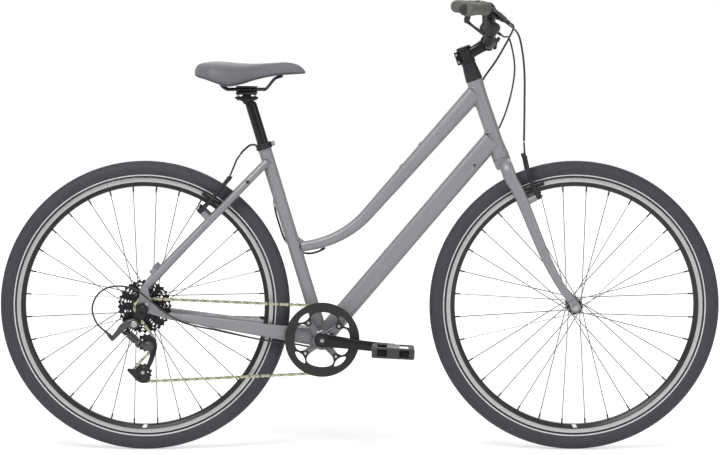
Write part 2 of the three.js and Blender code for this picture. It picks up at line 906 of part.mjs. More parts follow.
// Crossed spokes on both flanges of a hub, thicker at the rim where their nipples are
function laced(hub, axle, flangeRadius, leftOffset, rightOffset) {
  const spokeReach = rimInnerRadius * Math.cos(Math.PI / wheelSides) - 2 * fit;
  const pieces = [];
  for (let i = 0; i < spokeCount; i += 1) {
    const rimAngle = ((i + 0.5) * 2 * Math.PI) / spokeCount;
    const side = i % 2 === 0 ? 1 : -1;
    const lean = Math.floor(i / 2) % 2 === 0 ? 1 : -1;
    const hubAngle = rimAngle + lean * spokeCrossAngle * degree;
    const offset = side > 0 ? leftOffset : rightOffset;
    const holeRadius = flangeRadius - flangeThickness;
    const weave = lean * (flangeThickness / 2);
    const head = from(axle,
      [forward, holeRadius * Math.cos(hubAngle)],
      [upward, holeRadius * Math.sin(hubAngle)],
      [leftward, side * offset + weave]);
    const end = from(axle,
      [forward, spokeReach * Math.cos(rimAngle)],
      [upward, spokeReach * Math.sin(rimAngle)],
      [leftward, side * rimCrownHalfWidth / 2]);
    const reach = end.distanceTo(head);
    pieces.push(turned([
      [0, 0], [spokeRadius, 0], [nippleRadius, reach], [0, reach],
    ], head, unitTowards(head, end), spokeFlats));
  }
  return join(hub, ...pieces);
}

function hubShell(axle, flangeRadius, left, right, bodyRadius) {
  const half = flangeThickness / 2;
  const profile = [
    [hubBoreRadius, -right - half],
    [flangeRadius, -right - half],
    [flangeRadius, -right + half],
    [bodyRadius, -right + half + flangeThickness],
    [bodyRadius, left - half - flangeThickness],
    [flangeRadius, left - half],
    [flangeRadius, left + half],
    [hubBoreRadius, left + half],
  ];
  return turned(profile, axle, leftward, hubSides);
}

function rearHub() {
  return hubShell(rearAxle, rearFlangeRadius, rearFlangeLeft, rearFlangeRight, hubBodyRadius);
}

// Axle with cones and nuts, through the ends that hold it
function axleSet(axle, hubWidth, endLeft, endRight, coneLeft, coneRight) {
  const half = hubWidth / 2;
  const nutLeft = half + endLeft + 2 * fit;
  const nutRight = half + endRight + 2 * fit;
  const tipLeft = nutLeft + axleNutLength + axleOverhang;
  const tipRight = nutRight + axleNutLength + axleOverhang;
  const profile = [
    [0, -tipRight],
    [axleRadius, -tipRight],
    [axleRadius, -nutRight - axleNutLength],
    [axleNutRadius, -nutRight - axleNutLength],
    [axleNutRadius, -nutRight],
    [axleRadius, -nutRight],
    [axleRadius, -half],
    [locknutRadius, -half],
    [locknutRadius, -coneRight],
    [axleRadius, -coneRight],
    [axleRadius, coneLeft],
    [locknutRadius, coneLeft],
    [locknutRadius, half],
    [axleRadius, half],
    [axleRadius, nutLeft],
    [axleNutRadius, nutLeft],
    [axleNutRadius, nutLeft + axleNutLength],
    [axleRadius, nutLeft + axleNutLength],
    [axleRadius, tipLeft],
    [0, tipLeft],
  ];
  return turned(profile, axle, leftward, smallSides);
}

// The right end clamps the hanger too, and the freehub takes the room up to the dropout
function rearAxleSet() {
  return axleSet(rearAxle, rearHubWidth, dropoutThickness, dropoutThickness + hangerThickness,
    rearFlangeLeft + flangeThickness / 2 + fit, firstCogPlane + sprocketThickness / 2 + fit);
}

// Drivetrain

function pitchRadius(teeth) {
  return chainPitch / (2 * Math.sin(Math.PI / teeth));
}

// A toothed disc with two outline points a tooth; phase is the angle of a gap between teeth
function sprocketOutline(centre, teeth, phase) {
  const outline = [];
  const radius = pitchRadius(teeth);
  const tip = radius * Math.cos(Math.PI / teeth) - toothShort;
  for (let i = 0; i < teeth; i += 1) {
    for (const [step, reach] of [[0, radius - toothDepth], [0.5, tip]]) {
      const angle = phase + ((i + step) * 2 * Math.PI) / teeth;
      outline.push([centre.x + reach * Math.cos(angle), centre.z + reach * Math.sin(angle)]);
    }
  }
  return outline;
}

const guideCentre = at(rearAxle.x - guideBack, -firstCogPlane, rearAxle.z - guideDown);
const tensionCentre = at(rearAxle.x - tensionBack, -firstCogPlane, rearAxle.z - tensionDown);
const cogCentre = at(rearAxle.x, -firstCogPlane, rearAxle.z);
const ringCentre = at(bracket.x, -ringPlane, bracket.z);

// Wheels of the chain's loop in the order that the chain runs, with the side that it turns to
const chainWheels = [
  { centre: ringCentre, radius: pitchRadius(ringTeeth), turn: 1 },
  { centre: tensionCentre, radius: pitchRadius(pulleyTeeth), turn: 1 },
  { centre: guideCentre, radius: pitchRadius(pulleyTeeth), turn: -1 },
  { centre: cogCentre, radius: pitchRadius(cogTeeth[0]), turn: 1 },
];

// Where the chain leaves one wheel and meets the next, as angles on each
function tangentBetween(a, b) {
  const dx = b.centre.x - a.centre.x;
  const dz = b.centre.z - a.centre.z;
  const distance = Math.hypot(dx, dz);
  const heading = Math.atan2(dz, dx);
  const lean = Math.asin((a.turn * a.radius - b.turn * b.radius) / distance);
  const direction = heading - lean;
  const normal = direction + Math.PI / 2;
  return { leave: normal + (a.turn > 0 ? 0 : Math.PI), meet: normal + (b.turn > 0 ? 0 : Math.PI) };
}

function onWheel(wheel, angle) {
  return at(
    wheel.centre.x + wheel.radius * Math.cos(angle),
    wheel.centre.y,
    wheel.centre.z + wheel.radius * Math.sin(angle),
  );
}

// The closed line that the chain's pins follow
function chainLoop() {
  const count = chainWheels.length;
  const spans = chainWheels.map((wheel, i) => tangentBetween(wheel, chainWheels[(i + 1) % count]));
  const curve = new THREE.CurvePath();
  for (let i = 0; i < count; i += 1) {
    const wheel = chainWheels[i];
    const meet = spans[(i + count - 1) % count].meet;
    const leave = spans[i].leave;
    const step = -wheel.turn;
    const sweepAngle = (((leave - meet) * step) % (2 * Math.PI) + 4 * Math.PI) % (2 * Math.PI);
    curve.add(new WheelArc(wheel, meet, step * sweepAngle));
    curve.add(new THREE.LineCurve3(onWheel(wheel, leave),
      onWheel(chainWheels[(i + 1) % count], spans[i].meet)));
  }
  return curve;
}

class WheelArc extends THREE.Curve {
  constructor(wheel, start, angle) {
    super();
    this.wheel = wheel;
    this.start = start;
    this.angle = angle;
  }

  getPoint(share, target = new Vector3()) {
    return target.copy(onWheel(this.wheel, this.start + this.angle * share));
  }
}

const chainPins = (() => {
  const loop = chainLoop();
  const count = 2 * Math.round(loop.getLength() / (2 * chainPitch));
  return Array.from({ length: count }, (unused, i) => loop.getPointAt(i / count));
})();

// The angle of the pin that lies nearest the middle of a wheel's wrapped part
function gapPhase(wheel, towards) {
  let best = null;
  let bestSide = -Infinity;
  for (const pin of chainPins) {
    const away = Math.hypot(pin.x - wheel.centre.x, pin.z - wheel.centre.z);
    const side = (pin.x - wheel.centre.x) * Math.cos(towards) + (pin.z - wheel.centre.z) * Math.sin(towards);
    if (Math.abs(away - wheel.radius) < chainPinRadius / 2 && side > bestSide) {
      best = pin;
      bestSide = side;
    }
  }
  return best ? Math.atan2(best.z - wheel.centre.z, best.x - wheel.centre.x) : 0;
}

// The chain as one band, open in the middle of both its edges so that teeth run through it freely
function chain() {
  const count = chainPins.length;
  const rings = [];
  for (let i = 0; i < count; i += 1) {
    const before = unitTowards(chainPins[(i + count - 1) % count], chainPins[i]);
    const after = unitTowards(chainPins[i], chainPins[(i + 1) % count]);
    if (before.angleTo(after) > chainTurn || i % chainRunStep === 0) {
      rings.push(chainRing(chainPins[i], unitTowards(new Vector3(), before.add(after))));
    }
  }
  return loft(rings, true);
}

// One section of the band, as shares of its half width and half height
const chainShares = [
  [-1, -1], [-chainSlotShare, -1], [-chainSlotShare, -chainWebShare], [chainSlotShare, -chainWebShare],
  [chainSlotShare, -1], [1, -1], [1, 1], [chainSlotShare, 1], [chainSlotShare, chainWebShare],
  [-chainSlotShare, chainWebShare], [-chainSlotShare, 1], [-1, 1],
];

function chainRing(centre, ahead) {
  const side = leftward.clone().addScaledVector(ahead, -leftward.dot(ahead)).normalize();
  const up = new Vector3().crossVectors(ahead, side);
  return chainShares.map(([across, lift]) => (
    from(centre, [side, (across * chainWide) / 2], [up, (lift * plateHigh) / 2])));
}

function firstCog(grow = 0) {
  const phase = gapPhase(chainWheels[3], Math.PI * 0.85);
  const outline = sprocketOutline(cogCentre, cogTeeth[0], phase);
  return plate(outline, cogCentre.y, sprocketThickness, [], grow);
}

function pulleyDisc(centre, grow = 0) {
  const wheel = chainWheels.find((one) => one.centre === centre);
  const phase = gapPhase(wheel, centre === guideCentre ? 0 : Math.PI);
  return plate(sprocketOutline(centre, pulleyTeeth, phase), centre.y, sprocketThickness, [], grow);
}

function pulley(centre) {
  const hub = peg(from(centre, [leftward, -pulleyHubHalf]), leftward, 2 * pulleyHubHalf, pulleyHubRadius);
  const bore = peg(from(centre, [leftward, -overrun]), leftward, 2 * overrun,
    clearOf(pulleyAxleRadius, boltSides));
  return cut(join(pulleyDisc(centre), hub), bore);
}

// The freehub body that the cogs sit on, up to the hub's right flange
function freehub() {
  const start = -(rearFlangeRight + flangeThickness / 2 + freehubGap);
  const nose = -(firstCogPlane - cogSpacing - fit);
  const end = -(firstCogPlane + sprocketThickness / 2);
  return turned([
    [clearOf(axleRadius, cogSides), end],
    [freehubNoseRadius, end],
    [freehubNoseRadius, nose],
    [freehubRadius, nose],
    [freehubRadius, start],
    [clearOf(axleRadius, cogSides), start],
  ], rearAxle, leftward, cogSides);
}

// The cogs and spacers on the freehub body that turns with them. The outermost and the innermost cog
// are cut with teeth, and those between them are plain discs at their pitch circle
function cassette() {
  const last = cogTeeth.length - 1;
  const cogs = cogTeeth.slice(1).map((teeth, i) => {
    const centre = at(rearAxle.x, -(firstCogPlane - (i + 1) * cogSpacing), rearAxle.z);
    const outline = i + 1 === last
      ? sprocketOutline(centre, teeth, 0)
      : circleOutline(centre, pitchRadius(teeth), teeth);
    return plate(outline, centre.y, sprocketThickness);
  });
  const stackEnd = -(firstCogPlane - last * cogSpacing - sprocketThickness / 2 + fit);
  const spacer = peg(cogCentre, leftward, stackEnd - cogCentre.y, spacerRadius, cogSides);
  const neck = peg(cogCentre, leftward, cogSpacing, smallCogNeckRadius, cogSides);
  const clear = ringPiece(at(cogCentre.x, cogCentre.y - overrun, cogCentre.z), leftward,
    overrun + cogSpacing - sprocketThickness / 2 - fit, spacerRadius + overrun, smallCogNeckRadius, cogSides);
  const bore = peg(at(rearAxle.x, -rearHubWidth, rearAxle.z), leftward, 2 * rearHubWidth,
    clearOf(axleRadius, cogSides), cogSides);
  return cut(join(cut(spacer, clear), firstCog(), neck, ...cogs, freehub()), bore);
}

const ringBoltAngles = [0, 1, 2, 3].map((i) => (ringBoltAngle + i * 90) * degree);

function polar(centre, radius, angle) {
  return from(centre, [forward, radius * Math.cos(angle)], [upward, radius * Math.sin(angle)]);
}

function chainringDisc(grow = 0) {
  const phase = gapPhase(chainWheels[0], 0);
  return plate(sprocketOutline(ringCentre, ringTeeth, phase), ringCentre.y, sprocketThickness, [], grow);
}

// The chainring: a toothed ring with four tabs that its bolts go through
function chainring() {
  const hollow = peg(from(ringCentre, [leftward, -overrun]), leftward, 2 * overrun, ringInnerRadius,
    ringSides);
  const tabs = ringBoltAngles.map((angle) => plate(
    radialBar(ringCentre, boltCircleRadius - ringTabRadius, ringInnerRadius + ringTabRadius, angle,
      ringTabRadius), ringCentre.y, sprocketThickness));
  return cut(join(cut(chainringDisc(), hollow), ...tabs), ...ringBoltHoles());
}

function ringBoltHoles() {
  return ringBoltAngles.map((angle) => peg(
    from(polar(ringCentre, boltCircleRadius, angle), [leftward, -overrun]), leftward, 2 * overrun,
    ringBoltRadius + fit));
}

// A straight bar outline from one radius to another at an angle
function radialBar(centre, inner, outer, angle, half) {
  const out = slope(angle / degree);
  const side = slope(angle / degree + 90);
  return [[inner, -half], [outer, -half], [outer, half], [inner, half]].map(([reach, shift]) => {
    const point = from(centre, [out, reach], [side, shift]);
    return [point.x, point.z];
  });
}

const spiderPlane = ringPlane + sprocketThickness / 2 + fit + spiderThickness / 2;
const guardPlane = spiderPlane + spiderThickness / 2 + fit + guardThickness / 2;

function chainguard() {
  const centre = at(bracket.x, -guardPlane, bracket.z);
  const disc = ringPiece(at(centre.x, centre.y - guardThickness / 2, centre.z), leftward, guardThickness,
    guardRadius, guardRimInner, ringSides);
  const tabs = ringBoltAngles.map((angle) => plate(
    radialBar(centre, boltCircleRadius - ringTabRadius, guardRimInner + ringTabRadius, angle,
      ringTabRadius), centre.y, guardThickness));
  const slots = ringBoltAngles.map((angle) => plate(
    eyeOutline(centre, mixed(guardRimInner, guardRadius, 0.24), angle, 11 * degree, ringBoltRadius * 1.2),
    centre.y, guardThickness + overrun));
  return cut(join(disc, ...tabs), ...slots, ...ringBoltHoles());
}

// An eye-shaped opening that lies along a circle
function eyeOutline(centre, radius, angle, spread, half) {
  const points = [];
  for (const [share, reach] of [[-1, 0], [-0.4, 1], [0.4, 1], [1, 0], [0.4, -1], [-0.4, -1]]) {
    const point = polar(centre, radius + reach * half, angle + share * spread);
    points.push([point.x, point.z]);
  }
  return points;
}

const crankAhead = slope(crankAngle);
const rightPedalCentre = from(bracket, [crankAhead, crankLength]);
const leftPedalCentre = from(bracket, [crankAhead, -crankLength]);

// One crank arm: side is 1 on the left and -1 on the right, way is 1 for the arm that points forward
function crankArm(side, way) {
  const inner = side * crankOffset;
  const outerY = side * (crankOffset + crankBow);
  const along = (share) => from(bracket, [crankAhead, way * crankLength * share]);
  const station = (share, y, high, wide) => ({ at: along(share).setY(y), high, wide });
  const arm = sweep([
    station(0, inner, crankBossRadius * 1.8, crankThickness),
    station(0.18, inner, crankBossRadius * 1.5, crankThickness),
    station(0.55, mixed(inner, outerY, 0.7), crankEyeRadius * 1.7, crankThickness * 0.9),
    station(0.86, outerY, crankEyeRadius * 1.7, crankThickness),
    station(1.06, outerY, crankEyeRadius * 1.2, crankThickness),
  ], smallSides, 3.2);
  const bossInner = side * (spiderPlane - spiderThickness / 2);
  const bossOuter = side * (crankOffset + crankThickness / 2);
  const boss = peg(at(bracket.x, Math.min(bossInner, bossOuter), bracket.z), leftward,
    Math.abs(bossOuter - bossInner), crankBossRadius, tubeSides);
  const bore = peg(at(bracket.x, -crankOffset * 2, bracket.z), leftward, crankOffset * 4,
    spindleRadius + fit, smallSides);
  return { arm, boss, bore };
}

// The right arm carries the spider and the bolts that hold ring and guard to it
function rightCrank() {
  const { arm, boss, bore } = crankArm(-1, 1);
  const centre = at(bracket.x, -spiderPlane, bracket.z);
  const spider = ringBoltAngles.map((angle) => plate(
    radialBar(centre, 0, boltCircleRadius + ringTabRadius, angle, spiderArmWide / 2), centre.y,
    spiderThickness));
  const hub = peg(from(centre, [leftward, -spiderThickness / 2]), leftward, spiderThickness, spiderHubRadius,
    tubeSides);
  const core = cut(join(arm, boss, hub, ...spider), bore);
  return join(core, ...ringBoltAngles.map(ringBolt), pedalAxle(-1, rightPedalCentre), crankCap(-1));
}

// The left arm is pressed on the spindle and carries it here
function leftCrank() {
  const { arm, boss } = crankArm(1, -1);
  return join(arm, boss, spindle(), pedalAxle(1, leftPedalCentre), crankCap(1));
}

function spindle() {
  return peg(at(bracket.x, -spindleLength / 2, bracket.z), leftward, spindleLength / 2 + crankOffset,
    spindleRadius, smallSides);
}

function crankCap(side) {
  const face = crankOffset + crankThickness / 2;
  const start = side > 0 ? face - cartridgeLip : -face - cartridgeLip / 2;
  return peg(at(bracket.x, start, bracket.z), leftward, cartridgeLip * 1.5, crankCapRadius * 1.4, tubeSides);
}

function ringBolt(angle) {
  const inner = -(ringPlane - sprocketThickness / 2 - fit);
  const outer = -(guardPlane + guardThickness / 2 + fit);
  const foot = polar(at(bracket.x, 0, bracket.z), boltCircleRadius, angle);
  return turned([
    [0, outer - sprocketThickness],
    [ringBoltHeadRadius, outer - sprocketThickness],
    [ringBoltHeadRadius, outer],
    [ringBoltRadius, outer],
    [ringBoltRadius, inner + sprocketThickness],
    [0, inner + sprocketThickness],
  ], foot, leftward, boltSides);
}

// Pedals

const pedalInnerFace = crankOffset + crankBow + crankThickness / 2;

function pedalAxle(side, centre) {
  const start = side * (crankOffset + crankBow - crankThickness / 2);
  const flange = side * (pedalInnerFace + fit);
  const flangeEnd = side * (pedalInnerFace + pedalGap - fit);
  const end = side * (pedalInnerFace + pedalGap + pedalWide - pedalGap);
  return turned([
    [0, start],
    [pedalAxleRadius, start],
    [pedalAxleRadius, flange],
    [pedalAxleRadius * 1.6, flange],
    [pedalAxleRadius * 1.6, flangeEnd],
    [pedalAxleRadius, flangeEnd],
    [pedalAxleRadius, end],
    [0, end],
  ], centre, leftward, smallSides);
}

// A platform pedal: a core on the axle, two long rails and two end plates, with open windows between
function pedalBody(side, centre, tilt) {
  const ahead = slope(tilt);
  const up = slope(tilt + 90);
  const inner = pedalInnerFace + pedalGap;
  const middle = side * (inner + pedalWide / 2);
  const centreAt = at(centre.x, middle, centre.z);
  const railAt = pedalLong / 2 - pedalRail / 2;
  const rails = [1, -1].map((way) => block(from(centreAt, [ahead, way * railAt]), ahead, pedalRail, up,
    pedalHigh, pedalWide));
  const plates = [1, -1].map((way) => block(
    from(centreAt, [leftward, way * (pedalWide / 2 - pedalRail / 2)]), ahead, pedalLong, up,
    pedalHigh * 0.7, pedalRail));
  const core = peg(from(centreAt, [leftward, -pedalWide / 2]), leftward, pedalWide, pedalCoreRadius);
  const bore = peg(from(centreAt, [leftward, -pedalWide]), leftward, pedalWide * 2,
    clearOf(pedalAxleRadius, smallSides), smallSides);
  return cut(join(rails[0], rails[1], ...plates, core), bore);
}

// Rear derailleur: an upper knuckle on the hanger, a parallelogram link, a lower knuckle and the cage

const linkTop = at(rearAxle.x - linkTopBack, -linkTopPlane, rearAxle.z - linkTopDown);
const linkFoot = at(rearAxle.x - linkFootBack, -linkFootPlane, rearAxle.z - linkFootDown);
const cagePivot = at(rearAxle.x + cagePivotAhead, -firstCogPlane, rearAxle.z - cagePivotDown);
const linkAlong = unitTowards(linkTop, linkFoot);
const linkDownward = new Vector3().crossVectors(linkAlong, leftward).normalize();
const linkMotion = from(new Vector3(),
  [leftward, Math.cos(linkSlant * degree)],
  [linkDownward, -Math.sin(linkSlant * degree) * Math.sign(linkDownward.z)]).normalize();
const linkAxis = new Vector3().crossVectors(linkAlong, linkMotion).normalize();
const linkSide = new Vector3().crossVectors(linkAxis, linkAlong).normalize();
const knuckleInner = firstCogPlane + cagePlateOffset + cagePlateThickness / 2 + fit;

function derailleurLink() {
  const half = linkWide / 2;
  const middle = linkTop.clone().lerp(linkFoot, 0.5);
  const bar = block(middle, linkAlong, linkTop.distanceTo(linkFoot), linkAxis, linkWide, linkDeep);
  const ends = [linkTop, linkFoot].map((end) => peg(from(end, [linkAxis, -half]), linkAxis, linkWide,
    linkEyeRadius));
  const pins = [linkTop, linkFoot].map((end) => peg(from(end, [linkAxis, -half - earThickness - fit]),
    linkAxis, linkWide + 2 * (earThickness + fit), linkPinRadius));
  return join(bar, ...ends, ...pins);
}

// Two ears on a link's pin, and the web behind them, on the side away from the link
function linkFork(centre, away) {
  const reach = linkEyeRadius + earThickness / 2 + 3 * fit;
  const offset = linkWide / 2 + fit + earThickness / 2;
  const long = reach + linkEyeRadius;
  const ears = [1, -1].map((way) => block(
    from(centre, [linkAxis, way * offset], [away, reach - long / 2]), away, long, linkAxis, earThickness,
    linkEyeRadius * 2));
  const web = block(from(centre, [away, reach]), away, earThickness, linkAxis, 2 * offset + earThickness,
    linkEyeRadius * 2);
  return join(ears[0], ears[1], web);
}

function linkPinRoom() {
  const long = linkWide + 4 * earThickness + 4 * fit;
  return join(...[linkTop, linkFoot].map((end) => peg(from(end, [linkAxis, -long / 2]), linkAxis, long,
    clearOf(linkPinRadius, boltSides))));
}

function upperKnuckle() {
  const inner = hangerOuter + fit;
  const barrel = peg(at(hangerBolt.x, -inner - knuckleDeep, hangerBolt.z), leftward, knuckleDeep,
    knuckleRadius, smallSides);
  const bolt = peg(at(hangerBolt.x, -inner - knuckleDeep - boltHeadHigh, hangerBolt.z), leftward,
    knuckleDeep + hangerThickness + boltHeadHigh, axleRadius);
  const head = peg(at(hangerBolt.x, -inner - knuckleDeep - boltHeadHigh, hangerBolt.z), leftward,
    boltHeadHigh * 2, axleRadius * 1.5);
  const middle = -inner - knuckleDeep / 2;
  const away = linkAlong.clone().negate();
  const web = from(linkTop, [away, linkEyeRadius + earThickness]);
  const anchor = at(rearAxle.x - shiftEntryBack, -shiftEntryPlane, rearAxle.z - shiftEntryDown);
  const raised = from(web, [away, linkEyeRadius], [linkSide, linkEyeRadius * Math.sign(linkSide.x)]);
  const arm = sweep([
    { at: hangerBolt.clone().setY(middle), wide: knuckleDeep * 0.9, high: knuckleRadius * 1.4 },
    { at: hangerBolt.clone().lerp(raised, 0.55).setY(middle), wide: knuckleDeep * 0.9,
      high: knuckleRadius * 0.8 },
    { at: raised, wide: linkEyeRadius * 2.4, high: linkEyeRadius * 1.6 },
    { at: anchor, wide: adjusterRadius * 1.8, high: adjusterRadius * 1.8 },
  ], smallSides, 4);
  const barrelEnd = from(anchor, [shiftEntryAim, adjusterLength]);
  const adjuster = peg(from(anchor, [shiftEntryAim, -adjusterRadius]), shiftEntryAim,
    anchor.distanceTo(barrelEnd) + adjusterRadius, adjusterRadius);
  const body = join(barrel, bolt, head, arm, adjuster, linkFork(linkTop, away));
  return cut(body, linkPinRoom());
}

function lowerKnuckle() {
  const barrel = peg(from(cagePivot, [leftward, firstCogPlane - knuckleInner - lowerKnuckleDeep]), leftward,
    lowerKnuckleDeep, lowerKnuckleRadius, smallSides);
  const bore = peg(from(cagePivot, [leftward, firstCogPlane - knuckleInner - lowerKnuckleDeep * 0.7]),
    leftward, lowerKnuckleDeep, clearOf(cageStubRadius, boltSides));
  const web = from(linkFoot, [linkAlong, linkEyeRadius + earThickness]);
  const arm = sweep([
    { at: from(web, [linkAlong, earThickness / 4]), wide: linkEyeRadius * 2, high: linkEyeRadius * 1.6 },
    { at: cagePivot.clone().setY(-knuckleInner - lowerKnuckleDeep / 2), wide: lowerKnuckleDeep * 0.8,
      high: lowerKnuckleRadius },
  ], smallSides, 4);
  return cut(join(barrel, arm, linkFork(linkFoot, linkAlong)), bore, linkPinRoom());
}

// Two plates joined by the pulleys' bolts, with the stub that turns in the lower knuckle
function derailleurCage() {
  const outline = cageOutline([cagePivot, guideCentre, tensionCentre], cagePlateRadius);
  const outer = plate(outline, guideCentre.y - cagePlateOffset, cagePlateThickness);
  const inner = plate(cageOutline([guideCentre, tensionCentre], cagePlateRadius * 0.8),
    guideCentre.y + cagePlateOffset, cagePlateThickness);
  const half = cagePlateOffset + cagePlateThickness / 2;
  const bolts = [guideCentre, tensionCentre].map((centre) => peg(from(centre, [leftward, -half]), leftward,
    2 * half + boltHeadHigh, pulleyAxleRadius));
  const stub = peg(from(cagePivot, [leftward, -cagePlateOffset - lowerKnuckleDeep * 0.6]), leftward,
    lowerKnuckleDeep * 0.6, cageStubRadius);
  return join(outer, inner, ...bolts, stub);
}

// The outline of a band drawn round a few centres
function cageOutline(centres, radius) {
  const points = centres.flatMap((centre) => circleOutline(centre, radius, smallSides));
  return convexHull(points);
}

function convexHull(points) {
  const sorted = [...points].sort((a, b) => a[0] - b[0] || a[1] - b[1]);
  const half = (list) => {
    const chosen = [];
    for (const point of list) {
      while (chosen.length > 1 && turnOf(chosen.at(-2), chosen.at(-1), point) <= 0) {
        chosen.pop();
      }
      chosen.push(point);
    }
    return chosen.slice(0, -1);
  };
  return [...half(sorted), ...half(sorted.reverse())];
}

function turnOf(a, b, c) {
  return (b[0] - a[0]) * (c[1] - a[1]) - (b[1] - a[1]) * (c[0] - a[0]);
}

// Seatpost, clamp and saddle

const postTop = from(bracket, [seatUp, seatpostTop]);
const postHead = from(postTop, [upward, postHeadRise], [forward, -postSetback]);
const railMiddle = from(postHead, [upward, railAbovePost]);

const clampBoltPlaces = [1, -1].map((way) => from(railMiddle, [forward, way * clampBoltSpread]));

// The post's round head lies across it, with an eye fore and aft for each clamp bolt
function seatpost() {
  const shaft = peg(from(postTop, [seatUp, -seatpostLength]), seatUp, seatpostLength - postNeckDrop,
    seatpostRadius, tubeSides);
  const neck = sweep([
    { at: from(postTop, [seatUp, -postNeckDrop * 4]), wide: seatpostRadius * 1.4,
      high: seatpostRadius * 1.4 },
    { at: postHead, wide: postHeadHalfWidth * 1.6, high: postHeadRadius },
  ], smallSides, 2.5);
  const head = peg(from(postHead, [leftward, -postHeadHalfWidth]), leftward, 2 * postHeadHalfWidth,
    postHeadRadius, tubeSides);
  const eyes = block(from(postHead, [upward, 2 * fit]), forward,
    2 * (clampBoltSpread + clampBoltRadius * 2.4), upward, postEyeThickness, postHeadHalfWidth * 1.6);
  const holes = clampBoltPlaces.map((place) => peg(from(place, [upward, -2 * railAbovePost]), upward,
    2 * railAbovePost, clampBoltRadius + clampBoltRoom));
  return cut(join(shaft, neck, head, eyes), ...holes);
}

// Lower and upper cradle with the clamp bolts; it tilts on the post's round head
function saddleClamp() {
  const lowTop = railMiddle.z - railRadius - 2 * fit;
  const lowFoot = postHead.z + postHeadRadius * 0.6;
  const lower = block(at(railMiddle.x, 0, mixed(lowFoot, lowTop, 0.5)), forward, cradleLong, upward,
    lowTop - lowFoot, 2 * cradleHalfWidth);
  const upper = block(at(railMiddle.x, 0, railMiddle.z + railRadius + 2 * fit + cradleThickness / 2), forward,
    cradleLong, upward, cradleThickness, 2 * cradleHalfWidth);
  const core = block(railMiddle, forward, cradleLong, upward, 2 * (railRadius + 2 * fit),
    2 * (railHalfSpread - railRadius - 2 * fit));
  const seatRound = peg(from(postHead, [leftward, -2 * cradleHalfWidth]), leftward, 4 * cradleHalfWidth,
    postHeadRadius + 2 * fit, tubeSides);
  const bolts = clampBoltPlaces.map((place) => turned([
    [0, 0], [clampBoltHeadRadius, 0], [clampBoltHeadRadius, boltHeadHigh], [clampBoltRadius, boltHeadHigh],
    [clampBoltRadius, clampBoltLength], [clampBoltHeadRadius, clampBoltLength],
    [clampBoltHeadRadius, clampBoltLength + clampNutHigh], [0, clampBoltLength + clampNutHigh],
  ], from(place, [upward, railRadius + 2 * fit + cradleThickness - clampBoltLength]), upward, boltSides));
  return join(cut(join(lower, upper, core), seatRound), ...bolts);
}

const saddleTail = at(postTop.x - saddleLength + saddleNoseAhead, 0, saddleTopHeight);

// Shares of the saddle's length, half width, top drop and skirt drop at each station from tail to nose
const saddleShares = [
  [0.0, 0.3, 0.3, 0.55], [0.03, 0.55, 0.12, 0.62], [0.1, 0.87, 0.03, 0.72], [0.19, 1.0, 0.0, 0.86],
  [0.3, 0.98, 0.03, 1.0], [0.42, 0.8, 0.07, 0.92], [0.55, 0.52, 0.08, 0.74], [0.7, 0.34, 0.03, 0.6],
  [0.84, 0.27, 0.01, 0.53], [0.94, 0.24, 0.12, 0.5], [1.0, 0.14, 0.38, 0.48],
];

// Shares of half width and of height round one section of the cushion, from skirt to crown
const crownShares = [[0.86, 0], [1, 0.2], [0.98, 0.55], [0.82, 0.85], [0.5, 0.98], [0.16, 1]];

function saddleStation([along, wide, top, skirt]) {
  return {
    x: saddleTail.x + saddleLength * along,
    half: saddleHalfWidth * wide,
    top: saddleTopHeight - saddleHigh * top,
    low: saddleTopHeight - saddleHigh * skirt,
  };
}

// The cushion has a crown, a shallow channel down its middle and sides that draw in to the skirt
function saddleCushion() {
  const rings = saddleShares.map((shares) => {
    const { x, half, top, low } = saddleStation(shares);
    const floor = low + saddleBaseThickness + fit;
    const right = crownShares.map(([out, up]) => at(x, -half * out, mixed(floor, top, up)));
    const left = [...crownShares].reverse().map(([out, up]) => at(x, half * out, mixed(floor, top, up)));
    const channel = at(x, 0, top - saddleChannel);
    return [...right, channel, ...left];
  });
  return loft(rings);
}

function saddleShell() {
  const rings = saddleShares.slice(1, -1).map((shares) => {
    const { x, half, low } = saddleStation(shares);
    const wide = half * saddleBaseShare;
    return [at(x, -wide, low), at(x, wide, low), at(x, wide, low + saddleBaseThickness),
      at(x, -wide, low + saddleBaseThickness)];
  });
  return loft(rings);
}

// One bent wire: from the left rear end forward, round the nose and back on the right
function saddleRails() {
  const rearEnd = saddleStation(saddleShares[3]);
  const noseEnd = saddleStation(saddleShares[7]);
  const halfStraight = railStraight / 2;
  const straight = [-1, -0.9, 0, 0.9, 1].map((share) => at(railMiddle.x + halfStraight * share,
    railHalfSpread, railMiddle.z));
  const left = [
    at(railMiddle.x - halfStraight - railRadius * 5, railHalfSpread * 1.45, rearEnd.low - railRadius + fit),
    at(railMiddle.x - halfStraight - railRadius * 3.2, railHalfSpread * 1.2,
      mixed(railMiddle.z, rearEnd.low, 0.4)),
    ...straight,
    at(noseEnd.x + railRadius * 2, railHalfSpread * 0.55, noseEnd.low - railRadius * 1.6),
    at(noseEnd.x + railRadius * 6, railHalfSpread * 0.3, noseEnd.low - railRadius * 0.2),
  ];
  const right = left.map((point) => at(point.x, -point.y, point.z)).reverse();
  return housing([...left, ...right], railRadius, 28);
}

// Steering

const crownTop = from(headBottom, [steerUp, -crownGap]);
const crownLow = from(crownTop, [steerUp, -crownHigh]);
const steererTop = crownHigh + crownGap + headTubeLength + steererAboveHead;
const bladeTop = from(crownTop, [steerUp, -crownHigh / 2], [steerAhead, bladeAhead]);
const bladeDown = unitTowards(bladeTop, frontAxle);
const bladeOut = new Vector3().crossVectors(bladeDown, leftward).normalize();

